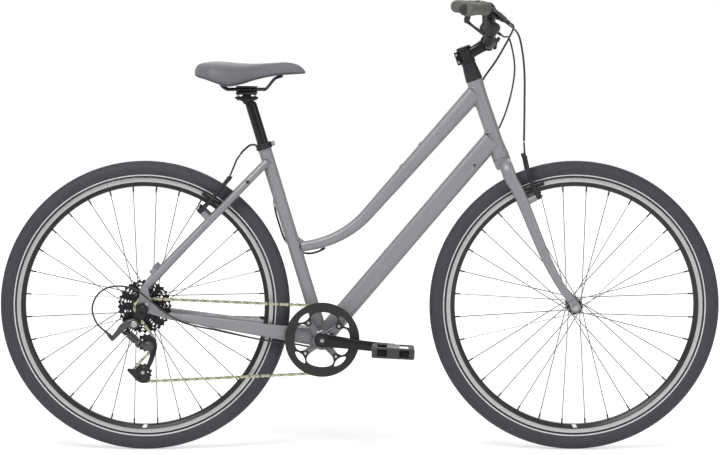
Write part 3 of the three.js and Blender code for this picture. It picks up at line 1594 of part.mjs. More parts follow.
function fork() {
  const raceTop = crownHigh + crownGap - fit;
  const core = turned([
    [0, 0], [crownDeep / 2, 0], [headEndRadius, crownHigh], [headEndRadius, raceTop],
    [headsetSeatRadius, raceTop], [headsetSeatRadius, raceTop + headsetSeatDepth],
    [steererRadius, raceTop + headsetSeatDepth], [steererRadius, steererTop], [0, steererTop],
  ], crownLow, steerUp);
  const crown = sweep([
    crownStation(-1, crownShoulderDrop, 0.75),
    crownStation(-0.62, crownShoulderDrop / 3, 0.9),
    crownStation(0.62, crownShoulderDrop / 3, 0.9),
    crownStation(1, crownShoulderDrop, 0.75),
  ], smallSides, 3, steerAhead);
  const blades = [1, -1].map(forkBlade);
  return join(core, crown, ...blades);
}

// A station of the crown, a share of its half width out, lower towards the shoulders
function crownStation(share, drop, size) {
  return {
    at: from(bladeTop, [leftward, (share * crownWide) / 2], [steerUp, -drop]),
    wide: crownDeep * size,
    high: crownHigh * size,
  };
}

const bladeShares = [[0.04, 0, 0], [0.3, 0.12, 0], [0.7, 0.45, 0.03], [0.9, 0.8, 0.02], [1, 1, 0]];

function forkBlade(side) {
  const end = frontHubWidth / 2 + fit + forkEndThickness / 2;
  const length = bladeTop.distanceTo(frontAxle) - bladeEndShort;
  const stations = bladeShares.map(([share, spread, bow]) => ({
    at: from(bladeTop, [bladeDown, length * share], [bladeOut, -length * bow],
      [leftward, side * mixed(bladeSpread, end, spread)]),
    wide: mixed(bladeWideTop, bladeWideEnd, share),
    high: mixed(bladeHighTop, bladeHighEnd, share),
  }));
  const tip = plate(circleOutline(frontAxle, forkEndRadius, smallSides), side * end, forkEndThickness);
  const hole = peg(at(frontAxle.x, -frontHubWidth, frontAxle.z), leftward, 2 * frontHubWidth,
    axleRadius + fit, smallSides);
  const hubRoom = peg(at(frontAxle.x, side > 0 ? 0 : -frontHubWidth / 2 - fit, frontAxle.z), leftward,
    frontHubWidth / 2 + fit, forkEndRadius * 2);
  const nutRoom = peg(at(frontAxle.x, side > 0 ? end + forkEndThickness / 2 : -frontHubWidth, frontAxle.z),
    leftward, frontHubWidth - end - forkEndThickness / 2, axleNutRadius * 1.3);
  const origin = frontBrakeOrigin(side);
  const foot = from(origin, [bladeOut, -frontBrakePlaneOffset]);
  const stalk = peg(foot, bladeOut, frontBrakePlaneOffset - brakeArmThickness / 2 - fit,
    brakeBossRadius * 1.6);
  const pin = peg(foot, bladeOut, frontBrakePlaneOffset + brakeArmThickness / 2 + fit, brakeBossRadius);
  return cut(join(sweep(stations, smallSides, 2.4), tip, stalk, pin), hole, hubRoom, nutRoom);
}

function frontBrakeOrigin(side) {
  return from(bladeTop, [bladeDown, frontBossAlong], [bladeOut, frontBrakePlaneOffset],
    [leftward, side * brakeBossSpread]);
}

// Bearing, cover and spacer between head tube and stem
function headsetCover() {
  const bore = steererRadius + fit;
  return turned([
    [bore, fit - headsetSeatDepth], [headsetSeatRadius, fit - headsetSeatDepth], [headsetSeatRadius, fit],
    [coverRadius, fit], [coverTopRadius, coverHigh], [bore, coverHigh],
  ], headTop, steerUp);
}

const stemAxis = slope(stemAngle);
const stemOver = slope(stemAngle + 90);
const stemFoot = from(headTop, [steerUp, stemRise]);

function barShell(grow) {
  return peg(from(barCentre, [leftward, -barClampWide / 2 - grow]), leftward, barClampWide + 2 * grow,
    barClampRadius + barClampShell, barSides);
}

// The front half of the bar clamp, as a cutter that leaves a gap at the split
function faceHalf(shift) {
  const long = barClampRadius * 3;
  return block(from(barCentre, [stemAxis, long / 2 + shift]), stemAxis, long, stemOver, long * 2,
    barClampWide * 2);
}

function barSeat() {
  return peg(from(barCentre, [leftward, -barClampWide]), leftward, 2 * barClampWide, clearOf(barClampRadius),
    barSides);
}

function stem() {
  const clampLow = from(headTop, [steerUp, coverHigh + fit]);
  const clamp = peg(clampLow, steerUp, stemClampHigh, stemClampRadius, barSides);
  const neck = sweep([
    { at: stemFoot, wide: stemWide, high: stemHigh },
    { at: barCentre, wide: barClampWide * 0.9, high: stemHigh },
  ], tubeSides, 3.5);
  const lugs = block(from(clampLow, [steerUp, stemClampHigh / 2], [steerAhead, -stemClampRadius]), steerAhead,
    stemBoltHeadRadius * 3, steerUp, stemClampHigh * 0.9, stemBoltHeadRadius * 4);
  const bolts = [0.25, 0.75].map((share) => peg(
    from(clampLow, [steerUp, stemClampHigh * share], [steerAhead, -stemClampRadius - stemBoltHeadRadius],
      [leftward, -stemBoltHeadRadius * 2 - stemBoltHeadLength]), leftward,
    stemBoltHeadRadius * 4 + stemBoltHeadLength, stemBoltHeadRadius));
  const bore = peg(from(clampLow, [steerUp, -overrun]), steerUp, stemClampHigh + 2 * overrun,
    steererRadius + fit, tubeSides);
  return cut(join(clamp, neck, lugs, barShell(0), ...bolts), bore, barSeat(), faceHalf(0));
}

function stemFaceplate() {
  const shell = common(barShell(0), faceHalf(faceplateGap));
  const reach = barClampRadius + barClampShell;
  const bolts = [1, -1].flatMap((way) => [1, -1].map((side) => peg(
    from(barCentre, [stemAxis, faceplateGap], [stemOver, way * (reach - stemBoltRadius)],
      [leftward, side * barClampWide * 0.3]), stemAxis, stemBoltHeadRadius * 2, stemBoltHeadRadius)));
  return cut(join(shell, ...bolts), barSeat());
}

// Shares of half width out, sweep back, rise and end radius at each station of the bar
const barShares = [
  [0, 0, 0, 1], [0.09, 0, 0, 1], [0.16, 0, 0.05, 0.3], [0.235, 0, 0.33, 0.27], [0.31, 0, 0.68, 0.2],
  [0.385, 0.01, 0.9, 0.1], [0.48, 0.07, 0.985, 0], [0.59, 0.17, 1, 0], [1, 1, 1, 0],
];

// The values of the bar's table at any share of its half width
function barAt(share) {
  const next = Math.max(1, barShares.findIndex(([out]) => out >= share));
  const [a, b] = [barShares[next - 1], barShares[next]];
  const part = (share - a[0]) / (b[0] - a[0]);
  return a.map((value, i) => mixed(value, b[i], part));
}

function barPlace(share, side) {
  const [, back, rise] = barAt(share);
  return from(barCentre, [leftward, side * barHalfWidth * share], [forward, -barSweep * back],
    [upward, barRise * rise]);
}

function barRadius(share) {
  return mixed(barEndRadius, barClampRadius, barAt(share)[3]);
}

function handlebar() {
  const half = barShares.map(([share]) => share);
  const shares = [...half.slice(1).reverse().map((share) => -share), ...half];
  const stations = shares.map((share) => ({
    at: barPlace(Math.abs(share), Math.sign(share) || 1),
    wide: 2 * barRadius(Math.abs(share)),
    high: 2 * barRadius(Math.abs(share)),
  }));
  return sweep(stations, tubeSides, 2, forward);
}

// A grip with the palm rest that swells behind it near the bar's end
function grip(side) {
  const outer = barPlace(1, side);
  const ahead = unitTowards(barPlace(0.59, side), outer);
  const start = from(outer, [ahead, -gripLength]);
  const back = new Vector3().crossVectors(ahead, upward).multiplyScalar(side).normalize();
  const rings = [[0, 1, 0], [0.1, 0.98, 0.05], [0.45, 0.95, 0.25], [0.75, 1.05, 0.8], [0.95, 1.05, 1],
    [1.03, 0.9, 0.85]].map(([share, round, wing]) => {
    const middle = from(start, [ahead, gripLength * share], [back, (gripWing * wing) / 2]);
    return ovalRing(middle, back, gripRadius * round + (gripWing * wing) / 2, upward, gripRadius * round,
      tubeSides, 2.2);
  });
  const bore = peg(from(start, [ahead, -overrun]), ahead, gripLength + overrun + fit,
    clearOf(barEndRadius), tubeSides);
  return cut(loft(rings), bore);
}

// Controls on the bar: each side mirrors the other

function barTangent(share, side) {
  return unitTowards(barPlace(share - 0.02, side), barPlace(share + 0.02, side));
}

function bandOnBar(share, side, wide, radius) {
  const centre = barPlace(share, side);
  const ahead = barTangent(share, side);
  return peg(from(centre, [ahead, -wide / 2]), ahead, wide, radius, smallSides);
}

// The room that the bar needs inside a band
function barRoom(share, side) {
  const ahead = barTangent(share, side);
  const reach = overrun * 2;
  return peg(from(barPlace(share, side), [ahead, -reach]), ahead, 2 * reach,
    clearOf(barRadius(share) + 2 * fit, smallSides), smallSides);
}

const leverShare = 1 - leverBracketFromEnd / barHalfWidth;
const podShare = 1 - podFromEnd / barHalfWidth;

function leverPivot(side) {
  return from(barPlace(leverShare, side), [controlAhead, leverPivotReach]);
}

function adjusterStart(side) {
  return from(barPlace(leverShare, side), [controlAhead, leverBodyReach],
    [leftward, -side * leverBodyWide / 2]);
}

const adjusterAim = [1, -1].map((side) => controlAhead.clone().addScaledVector(leftward,
  -side * 0.7).normalize());

function aimOf(side) {
  return adjusterAim[side > 0 ? 0 : 1];
}

function leverBracket(side) {
  const origin = barPlace(leverShare, side);
  const band = bandOnBar(leverShare, side, leverBandWide, leverBandRadius);
  const body = sweep([
    { at: from(origin, [controlAhead, leverBandRadius * 0.6]), wide: leverBodyWide,
      high: leverBodyHigh * 1.3 },
    { at: from(origin, [controlAhead, leverPivotReach]), wide: leverBodyWide, high: leverBodyHigh * 1.3 },
    { at: from(adjusterStart(side), [controlAhead, fit]), wide: leverBodyWide * 0.8, high: leverBodyHigh },
  ], smallSides, 4);
  const adjuster = peg(from(adjusterStart(side), [aimOf(side), -adjusterRadius]), aimOf(side),
    adjusterLength + adjusterRadius, adjusterRadius);
  return cut(join(band, body, adjuster), barRoom(leverShare, side), leverRoom(side));
}

// The slot that the lever blade swings in, open outwards
function leverRoom(side) {
  const pivot = leverPivot(side);
  const inner = leverBladeRadius * 1.2 + fit;
  const reach = leverBodyWide * 2;
  const slot = block(from(pivot, [leftward, side * (reach - inner) / 2]), controlAhead, leverBodyReach * 0.7,
    controlUp, leverBladeRadius * 1.6 + 2 * fit, reach + inner);
  const bore = peg(from(pivot, [controlUp, -leverBodyHigh * 2]), controlUp, leverBodyHigh * 4,
    clearOf(linkPinRadius, boltSides));
  return join(slot, bore);
}

function brakeLever(side) {
  const pivot = leverPivot(side);
  const hub = peg(from(pivot, [controlUp, -leverBladeRadius * 0.8]), controlUp, leverBladeRadius * 1.6,
    leverBladeRadius * 1.2);
  const pin = peg(from(pivot, [controlUp, -leverBodyHigh * 0.7]), controlUp, leverBodyHigh * 1.4,
    linkPinRadius);
  const shares = [[0, 0, 0, 1], [0.12, 0.05, 0, 1], [0.3, 0.12, 0, 1], [0.55, -0.02, 0.02, 1],
    [0.8, -0.16, 0.03, 0.95], [0.95, -0.2, 0.02, 1.1], [1, -0.2, 0.02, 0.7]];
  const stations = shares.map(([out, ahead, lift, size]) => ({
    at: from(pivot, [leftward, side * leverReachOut * out], [controlAhead, leverReachOut * ahead],
      [controlUp, leverReachOut * lift]),
    wide: leverBladeRadius * 1.7 * size,
    high: leverBladeRadius * 1.5 * size,
  }));
  return join(hub, pin, sweep(stations, smallSides, 2.4, controlAhead));
}

const podCentre = from(barPlace(podShare, -1), [upward, -podDrop]);
const thumbPivot = from(podCentre, [controlUp, -podHigh / 2 - fit - thumbThickness / 2],
  [controlAhead, -podLong * 0.1]);
const triggerPivot = from(podCentre, [controlUp, -podHigh / 2 - fit - thumbThickness / 2],
  [controlAhead, podLong * 0.28]);

// Shifter pod: an oval housing under the bar on its own band, with the cable's outlet
function shifterPod() {
  const band = bandOnBar(podShare, -1, podBandWide, podBandRadius);
  const neck = sweep([
    { at: from(barPlace(podShare, -1), [upward, -podBandRadius * 0.8]), wide: podBandWide,
      high: podBandWide * 1.4 },
    { at: podCentre, wide: podBandWide * 1.6, high: podBandWide * 2 },
  ], smallSides, 3);
  const rings = [[-0.5, 0.72], [-0.36, 0.95], [0.2, 1], [0.42, 0.86],
    [0.5, 0.6]].map(([lift, size]) => ovalRing(
    from(podCentre, [controlUp, podHigh * lift]), leftward, (podWide / 2) * size, controlAhead,
    (podLong / 2) * size, tubeSides, 2.6));
  const outlet = peg(shiftOutlet(-adjusterRadius * 2), shiftAim, adjusterLength * 0.6 + adjusterRadius * 2,
    adjusterRadius * 0.8);
  const pins = [thumbPivot, triggerPivot].map((pivot) => peg(from(pivot, [controlUp, -thumbThickness]),
    controlUp,
    thumbThickness * 2, linkPinRadius));
  return join(cut(join(band, neck), barRoom(podShare, -1)), loft(rings), outlet, ...pins);
}

const shiftAim = unitTowards(new Vector3(), at(0.8, 0.35, -0.5));

function shiftOutlet(reach) {
  return from(podCentre, [controlAhead, podLong / 2], [leftward, podWide * 0.15], [shiftAim, reach]);
}

// A flat lever on a pivot pin with its paddle at the end
function shiftLever(pivot, heading, reach, paddleHigh, paddleWide, lift) {
  const across = new Vector3().crossVectors(controlUp, heading).normalize();
  const arm = block(from(pivot, [heading, reach / 2]), heading, reach, controlUp, thumbThickness,
    paddleWide * 0.7);
  const eye = peg(from(pivot, [controlUp, -thumbThickness / 2]), controlUp, thumbThickness,
    linkPinRadius * 2.2);
  const paddle = sweep([
    { at: from(pivot, [heading, reach * 0.92], [controlUp, -thumbThickness / 2]), wide: paddleWide,
      high: thumbThickness },
    { at: from(pivot, [heading, reach], [controlUp, paddleHigh * 0.4]), wide: paddleWide,
      high: thumbThickness * 1.3 },
    { at: from(pivot, [heading, reach + thumbThickness * lift], [controlUp, paddleHigh]),
      wide: paddleWide * 0.7,
      high: thumbThickness },
  ], smallSides, 3, across);
  const bore = peg(from(pivot, [controlUp, -overrun * 3]), controlUp, overrun * 6,
    clearOf(linkPinRadius, boltSides));
  return cut(join(arm, eye, paddle), bore);
}

const thumbHeading = unitTowards(new Vector3(), from(new Vector3(), [controlAhead, -0.9], [leftward, -0.35]));
const triggerHeading = unitTowards(new Vector3(), from(new Vector3(), [controlAhead, 0.55],
  [leftward, -0.8]));

// Brakes

// Height up an arm at which a point stands at a radius from the wheel's axle
function heightAtRadius(origin, up, axle, radius) {
  const away = origin.clone().setY(0).sub(axle);
  const b = away.dot(up);
  const c = away.dot(away) - radius * radius;
  return -b + Math.sqrt(Math.max(b * b - c, 0));
}

function brakeArm({ side, origin, up, out, axle, lean, noodleSide, noodle }) {
  const inward = side * -1;
  const shoeUp = heightAtRadius(origin, up, axle, (rimTrackRadius + rimOuterRadius) / 2 - fit);
  const stations = [
    [-0.07, 0, 0, 0.8], [0, 0, 0, 1], [0.3, -0.03, 0, 1], [0.6, 0.01, 0.3, 0.85], [0.9, 0.08, 0.9, 0.75],
    [1.03, 0.1, 1, 0.6],
  ].map(([share, lead, push, size]) => ({
    at: from(origin, [up, brakeArmLength * share], [leftward, inward * brakeArmLength * lead],
      [out, lean * push]),
    wide: brakeArmThickness,
    high: brakeArmWidth * size,
  }));
  const arm = sweep(stations, smallSides, 4, out);
  const shoeMiddle = rimHalfWidth + shoeClearance + brakeShoeThickness / 2;
  const shoeAt = from(origin, [up, shoeUp]).setY(side * shoeMiddle);
  const radial = unitTowards(axle, shoeAt.clone().setY(0));
  const tangent = new Vector3().crossVectors(leftward, radial);
  const shoe = block(shoeAt, tangent, brakeShoeLength, radial, brakeShoeDeep, brakeShoeThickness);
  const postEnd = from(origin, [up, shoeUp]);
  const postStart = Math.min(Math.abs(shoeAt.y), Math.abs(postEnd.y));
  const postLength = Math.abs(postEnd.y) - postStart + brakeArmWidth / 2;
  const postFoot = side > 0 ? postStart : -postStart - postLength;
  const post = peg(shoeAt.clone().setY(postFoot), leftward, postLength, pinchBoltRadius);
  const bore = peg(from(origin, [out, -brakeArmLength]), out, brakeArmLength * 2, brakeBossRadius + fit);
  const bolt = peg(from(origin, [out, brakeArmThickness / 2 - fit]), out, stemBoltHeadLength + fit,
    stemBoltHeadRadius * 1.6);
  const boltRoom = peg(from(origin, [out, -brakeArmLength]), out,
    brakeArmLength + brakeArmThickness / 2 + 2 * fit, brakeBossRadius + fit);
  const body = join(arm, shoe, post, bolt);
  const tip = from(origin, [up, brakeArmLength * 0.95], [leftward, inward * brakeArmLength * 0.09],
    [out, lean]);
  const half = brakeArmThickness / 2;
  const extra = side === noodleSide
    ? noodle(tip)
    : peg(from(tip, [leftward, side > 0 ? -wireReach : 0]), leftward, wireReach, wireRadius, 5);
  return join(cut(body, boltRoom), extra);
}

// The bent tube that leads the cable into an arm's head, with the boot that its wire slides in
function noodleOf(side, route) {
  return (tip) => {
    const boot = ringPiece(from(tip, [leftward, side > 0 ? -bootLength : 0]), leftward, bootLength,
      bootRadius,
      bootBore, smallSides);
    const lug = block(from(tip, [leftward, side * bootRadius / 2]), forward, bootRadius * 2, upward,
      bootRadius * 2,
      bootRadius * 1.4);
    return join(boot, lug, housing([...route, from(tip, [leftward, side * bootRadius])], noodleRadius, 8));
  };
}

const rearBrake = { up: seatstayDown.clone().negate(), out: seatstayOut, axle: rearAxle,
  lean: rearArmLean, noodleSide: 1 };
const frontBrake = { up: bladeDown.clone().negate(), out: bladeOut, axle: frontAxle, lean: frontArmLean,
  noodleSide: -1 };

// Cable routes, as shares of the wheelbase forward, to the left and up from an axle
function routeFrom(axle, shares) {
  return shares.map(([ahead, out, up]) => from(axle, [forward, wheelbase * ahead],
    [leftward, wheelbase * out], [upward, wheelbase * up]));
}

const frontBrakeRoute = routeFrom(frontAxle, [
  [-0.1286, 0.0822, 0.6296], [-0.1199, 0.0435, 0.5861], [-0.117, 0.0116, 0.5377],
  [-0.118, -0.0135, 0.4845], [-0.1194, -0.0368, 0.4362], [-0.1204, -0.0484, 0.4023],
  [-0.1209, -0.0513, 0.3859],
]);
const frontNoodleRoute = routeFrom(frontAxle, [
  [-0.1209, -0.0515, 0.3841], [-0.1199, -0.0522, 0.3665], [-0.118, -0.0503, 0.3491],
  [-0.117, -0.0435, 0.3404],
]);
const rearBrakeRoute = routeFrom(rearAxle, [
  [0.4188, 0.0048, 0.134], [0.4052, 0.0097, 0.1257], [0.3839, 0.0164, 0.1199], [0.3646, 0.0213, 0.1219],
  [0.3453, 0.0222, 0.1306], [0.3259, 0.0184, 0.1509], [0.3133, 0.0145, 0.1847], [0.3037, 0.0145, 0.2186],
  [0.2979, 0.0213, 0.2621], [0.293, 0.028, 0.3056], [0.2853, 0.029, 0.3395], [0.2679, 0.0261, 0.3675],
  [0.2485, 0.029, 0.3733], [0.2321, 0.0387, 0.3627], [0.221, 0.0484, 0.3501],
]);
const rearNoodleRoute = routeFrom(rearAxle, [
  [0.22, 0.0491, 0.3484], [0.2118, 0.0522, 0.3366], [0.206, 0.0522, 0.3221], [0.2002, 0.0445, 0.3085],
]);
const steerBrakeRoute = routeFrom(frontAxle, [
  [-0.1576, -0.0677, 0.6228], [-0.1692, -0.0242, 0.5967], [-0.1847, 0.0077, 0.5677],
  [-0.205, 0.0261, 0.5377], [-0.2234, 0.0319, 0.5097], [-0.2427, 0.03, 0.4845],
  [-0.2582, 0.0242, 0.4652], [-0.2679, 0.0191, 0.4516],
]);
const steerShiftRoute = routeFrom(frontAxle, [
  [-0.1596, -0.0967, 0.6257], [-0.148, -0.0658, 0.5909], [-0.1422, -0.0338, 0.5522],
  [-0.1451, -0.0019, 0.5116], [-0.1528, 0.0193, 0.4729], [-0.1644, 0.0309, 0.4362],
  [-0.1789, 0.0319, 0.4052], [-0.1944, 0.0261, 0.383], [-0.206, 0.0212, 0.3685],
]);
const rearShiftRoute = routeFrom(rearAxle, [
  [0.3917, -0.0116, -0.0977], [0.3694, -0.0184, -0.0928], [0.3453, -0.0251, -0.0875],
  [0.3066, -0.0319, -0.0822], [0.266, -0.0387, -0.0754], [0.2099, -0.0464, -0.0629],
  [0.1615, -0.0532, -0.0513], [0.1209, -0.06, -0.0426], [0.0841, -0.0696, -0.03],
  [0.0513, -0.0803, -0.0087], [0.0193, -0.087, 0.0174], [-0.0097, -0.088, 0.0406],
  [-0.0319, -0.088, 0.0503], [-0.0551, -0.088, 0.0532], [-0.0812, -0.087, 0.0493],
  [-0.1044, -0.0861, 0.0329], [-0.117, -0.0851, 0.0019], [-0.1074, -0.0841, -0.0319],
]);

function frontBrakeHousing() {
  const start = from(adjusterStart(1), [aimOf(1), adjusterLength + fit]);
  return housing([start, from(start, [aimOf(1), adjusterLength]), ...frontBrakeRoute], brakeHousingRadius,
    20);
}

function steerBrakeHousing() {
  const start = from(adjusterStart(-1), [aimOf(-1), adjusterLength + fit]);
  return housing([start, from(start, [aimOf(-1), adjusterLength]), ...steerBrakeRoute],
    brakeHousingRadius, 18);
}

function steerShiftHousing() {
  const start = shiftOutlet(adjusterLength * 0.6 + fit);
  return housing([start, from(start, [shiftAim, adjusterLength * 0.7]), ...steerShiftRoute],
    shiftHousingRadius, 18);
}

function rearShiftHousing() {
  const anchor = at(rearAxle.x - shiftEntryBack, -shiftEntryPlane, rearAxle.z - shiftEntryDown);
  const end = from(anchor, [shiftEntryAim, adjusterLength + fit]);
  return housing([...rearShiftRoute, end], shiftHousingRadius, 36);
}

const parts = [
  ['head_tube', 'paint', headTube],
  ['top_tube', 'paint', topTube],
  ['down_tube', 'paint', downTube],
  ['seat_tube', 'paint', seatTube],
  ['bottom_bracket_shell', 'paint', bracketShell],
  ['chainstay_right', 'paint', () => chainstay(-1)],
  ['chainstay_left', 'paint', () => chainstay(1)],
  ['seatstay_right', 'paint', () => seatstay(-1)],
  ['seatstay_left', 'paint', () => seatstay(1)],
  ['seat_collar', 'black', seatCollar],
  ['bottom_bracket_cartridge', 'steel', bracketCartridge],
  ['rear_axle', 'steel', rearAxleSet],
  ['chain', 'chain', chain],
  ['rear_brake_housing', 'plastic', () => housing(rearBrakeRoute, brakeHousingRadius, 28)],
  ['rear_shift_housing', 'plastic', rearShiftHousing],
  ['steer_brake_housing', 'plastic', steerBrakeHousing],
  ['steer_shift_housing', 'plastic', steerShiftHousing],
  ['seatpost', 'black', seatpost],
  ['saddle_clamp', 'black', saddleClamp],
  ['saddle_base', 'plastic', () => join(saddleShell(), saddleRails())],
  ['saddle_cushion', 'cover', saddleCushion],
  ['fork', 'paint', fork],
  ['front_axle', 'steel', () => axleSet(frontAxle, frontHubWidth, forkEndThickness, forkEndThickness,
    frontFlangeOffset + flangeThickness / 2 + fit, frontFlangeOffset + flangeThickness / 2 + fit)],
  ['headset_cover', 'black', headsetCover],
  ['stem', 'black', stem],
  ['stem_faceplate', 'black', stemFaceplate],
  ['handlebar', 'black', handlebar],
  ['grip_right', 'grip', () => grip(-1)],
  ['grip_left', 'grip', () => grip(1)],
  ['lever_bracket_right', 'black', () => leverBracket(-1)],
  ['lever_bracket_left', 'black', () => leverBracket(1)],
  ['brake_lever_right', 'black', () => brakeLever(-1)],
  ['brake_lever_left', 'black', () => brakeLever(1)],
  ['shifter_pod', 'plastic', shifterPod],
  ['thumb_lever', 'plastic', () => shiftLever(thumbPivot, thumbHeading, thumbReach, thumbPaddleHigh,
    thumbPaddleWide, 1)],
  ['release_lever', 'plastic', () => shiftLever(triggerPivot, triggerHeading, triggerReach, thumbPaddleWide,
    thumbPaddleWide * 0.8, 0)],
  ['front_brake_housing', 'plastic', frontBrakeHousing],
  ['front_brake_arm_right', 'black', () => brakeArm({ ...frontBrake, side: -1, origin: frontBrakeOrigin(-1),
    noodle: noodleOf(-1, frontNoodleRoute) })],
  ['front_brake_arm_left', 'black', () => brakeArm({ ...frontBrake, side: 1, origin: frontBrakeOrigin(1) })],
  ['rear_brake_arm_right', 'black', () => brakeArm({ ...rearBrake, side: -1, origin: rearBrakeOrigin(-1) })],
  ['rear_brake_arm_left', 'black', () => brakeArm({ ...rearBrake, side: 1, origin: rearBrakeOrigin(1),
    noodle: noodleOf(1, rearNoodleRoute) })],
  ['front_tyre', 'tyre', () => tyre(frontAxle)],
  ['front_rim', 'silver', () => rim(frontAxle)],
  ['front_hub', 'black', () => laced(hubShell(frontAxle, frontFlangeRadius, frontFlangeOffset,
    frontFlangeOffset, hubBodyRadius), frontAxle, frontFlangeRadius, frontFlangeOffset, frontFlangeOffset)],
  ['rear_tyre', 'tyre', () => tyre(rearAxle)],
  ['rear_rim', 'silver', () => rim(rearAxle)],
  ['rear_hub', 'black', () => laced(rearHub(), rearAxle, rearFlangeRadius, rearFlangeLeft, rearFlangeRight)],
  ['cassette', 'steel', cassette],
  ['crank_arm_right', 'black', rightCrank],
  ['crank_arm_left', 'black', leftCrank],
  ['chainring', 'black', chainring],
  ['chainguard', 'plastic', chainguard],
  ['pedal_right', 'plastic', () => pedalBody(-1, rightPedalCentre, pedalTilt)],
  ['pedal_left', 'plastic', () => pedalBody(1, leftPedalCentre, pedalTilt)],
  ['derailleur_upper_knuckle', 'black', upperKnuckle],
  ['derailleur_link', 'black', derailleurLink],
  ['derailleur_lower_knuckle', 'black', lowerKnuckle],
  ['derailleur_cage', 'black', derailleurCage],
  ['guide_pulley', 'plastic', () => pulley(guideCentre)],
  ['tension_pulley', 'plastic', () => pulley(tensionCentre)],
];

for (const [name, finish, make] of parts) {
  add(name, finish, make());
}

export default bicycle;
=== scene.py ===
"""The step-through bicycle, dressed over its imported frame: +X forward, +Y to the rider's left, +Z up."""
import json
import math

import bmesh
import bpy
from mathutils import Matrix, Vector, geometry

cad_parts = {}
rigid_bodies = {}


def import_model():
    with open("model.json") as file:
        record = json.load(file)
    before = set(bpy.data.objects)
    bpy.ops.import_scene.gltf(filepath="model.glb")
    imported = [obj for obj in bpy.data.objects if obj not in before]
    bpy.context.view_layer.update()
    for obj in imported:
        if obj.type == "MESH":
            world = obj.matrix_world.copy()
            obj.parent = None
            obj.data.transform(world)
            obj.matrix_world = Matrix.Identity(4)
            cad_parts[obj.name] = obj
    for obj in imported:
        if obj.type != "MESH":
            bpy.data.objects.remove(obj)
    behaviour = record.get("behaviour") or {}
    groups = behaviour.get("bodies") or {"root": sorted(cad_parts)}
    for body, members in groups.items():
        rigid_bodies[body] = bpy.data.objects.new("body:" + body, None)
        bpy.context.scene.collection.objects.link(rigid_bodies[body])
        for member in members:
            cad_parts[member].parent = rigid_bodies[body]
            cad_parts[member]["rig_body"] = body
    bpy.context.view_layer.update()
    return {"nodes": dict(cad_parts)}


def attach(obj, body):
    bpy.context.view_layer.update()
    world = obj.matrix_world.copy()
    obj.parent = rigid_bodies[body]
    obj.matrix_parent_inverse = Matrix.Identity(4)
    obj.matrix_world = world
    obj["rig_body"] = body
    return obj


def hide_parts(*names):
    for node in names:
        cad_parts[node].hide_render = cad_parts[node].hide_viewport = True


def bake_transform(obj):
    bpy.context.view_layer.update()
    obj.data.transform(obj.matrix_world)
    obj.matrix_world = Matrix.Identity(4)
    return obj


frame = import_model()
MM = 0.001

# Design values in millimetres, as in the part's source
wheelbase = 1034
tyre_radius = 349
fit = 0.3
leftward = Vector((0, 1, 0))
forward = Vector((1, 0, 0))
upward = Vector((0, 0, 1))


def at(x, y, z):
    return Vector((x, y, z))


def slope(angle):
    """A direction in the bicycle's plane, in degrees above forward."""
    return heading(math.radians(angle))


def mixed(a, b, share):
    return a + (b - a) * share


def heading(angle):
    """The direction at an angle in radians in the bicycle's plane."""
    return at(math.cos(angle), 0, math.sin(angle))


def polar(centre, radius, angle):
    return centre + radius * heading(angle)


front_axle = at(wheelbase / 2, 0, tyre_radius)
rear_axle = at(-wheelbase / 2, 0, tyre_radius)
bracket = at(-90, 0, 271)
steer_up = slope(109.1)
steer_ahead = slope(19.1)
seat_up = slope(106.9)
seat_ahead = slope(16.9)
head_length = 198
head_bottom = front_axle - 51 * steer_ahead + 394 * steer_up
head_top = head_bottom + head_length * steer_up
head_radius = 18.4
stem_axis = slope(30.4)
stem_over = slope(120.4)
stem_foot = head_top + 62 * steer_up
bar_centre = stem_foot + 63 * stem_axis
bar_half_width = 330
bar_sweep = 68
bar_rise = 83
bar_radius = 11.1
bar_clamp_radius = 15.9
control_ahead = slope(-34)
seat_tube_radius = 15.9
shell_radius = 20
post_top = bracket + 596 * seat_up
post_head = post_top + at(-8, 0, 8)
saddle_rail = post_head + upward * 20.5
crank_length = 170
crank_ahead = slope(-6.5)
ring_plane = 46
ring_thickness = 1.8
cog_plane = 60.4
brake_plane = 40
both_sides = ((-1, "right"), (1, "left"))


def near_axle(x, y, z):
    """A point given from the rear axle."""
    return at(rear_axle.x + x, y, rear_axle.z + z)


# Camera, at the photograph's angle

def aim_camera(distance=7.7, tilt=4.5, shown=1.7338, aim=(0.0007, 0, 0.537)):
    lean = math.radians(tilt)
    lens = bpy.data.cameras.new("photo_camera")
    lens.sensor_width = 36
    lens.lens = lens.sensor_width * distance / shown
    lens.clip_end = 60
    camera = bpy.data.objects.new("photo_camera", lens)
    camera.location = Vector(aim) + distance * Vector((0, -math.cos(lean), math.sin(lean)))
    camera.rotation_euler = (math.radians(90) - lean, 0, 0)
    bpy.context.collection.objects.link(camera)
    bpy.context.scene.camera = camera
    bpy.context.scene.view_settings.view_transform = "Standard"


aim_camera()


# Node trees, written as expressions

class Wire:
    """One output of a node, which Python's arithmetic works on."""

    def __init__(self, graph, socket):
        self.graph = graph
        self.socket = socket

    def _with(self, operation, *others):
        return self.graph.maths(operation, self, *others)

    def __add__(self, other):
        return self._with("ADD", other)

    def __sub__(self, other):
        return self._with("SUBTRACT", other)

    def __rsub__(self, other):
        return self.graph.maths("SUBTRACT", other, self)

    def __mul__(self, other):
        return self._with("MULTIPLY", other)

    def __truediv__(self, other):
        return self._with("DIVIDE", other)

    def __mod__(self, other):
        return self._with("MODULO", other)

    __radd__ = __add__
    __rmul__ = __mul__

    def below(self, level):
        return self._with("LESS_THAN", level)

    def floor(self):
        return self._with("FLOOR")


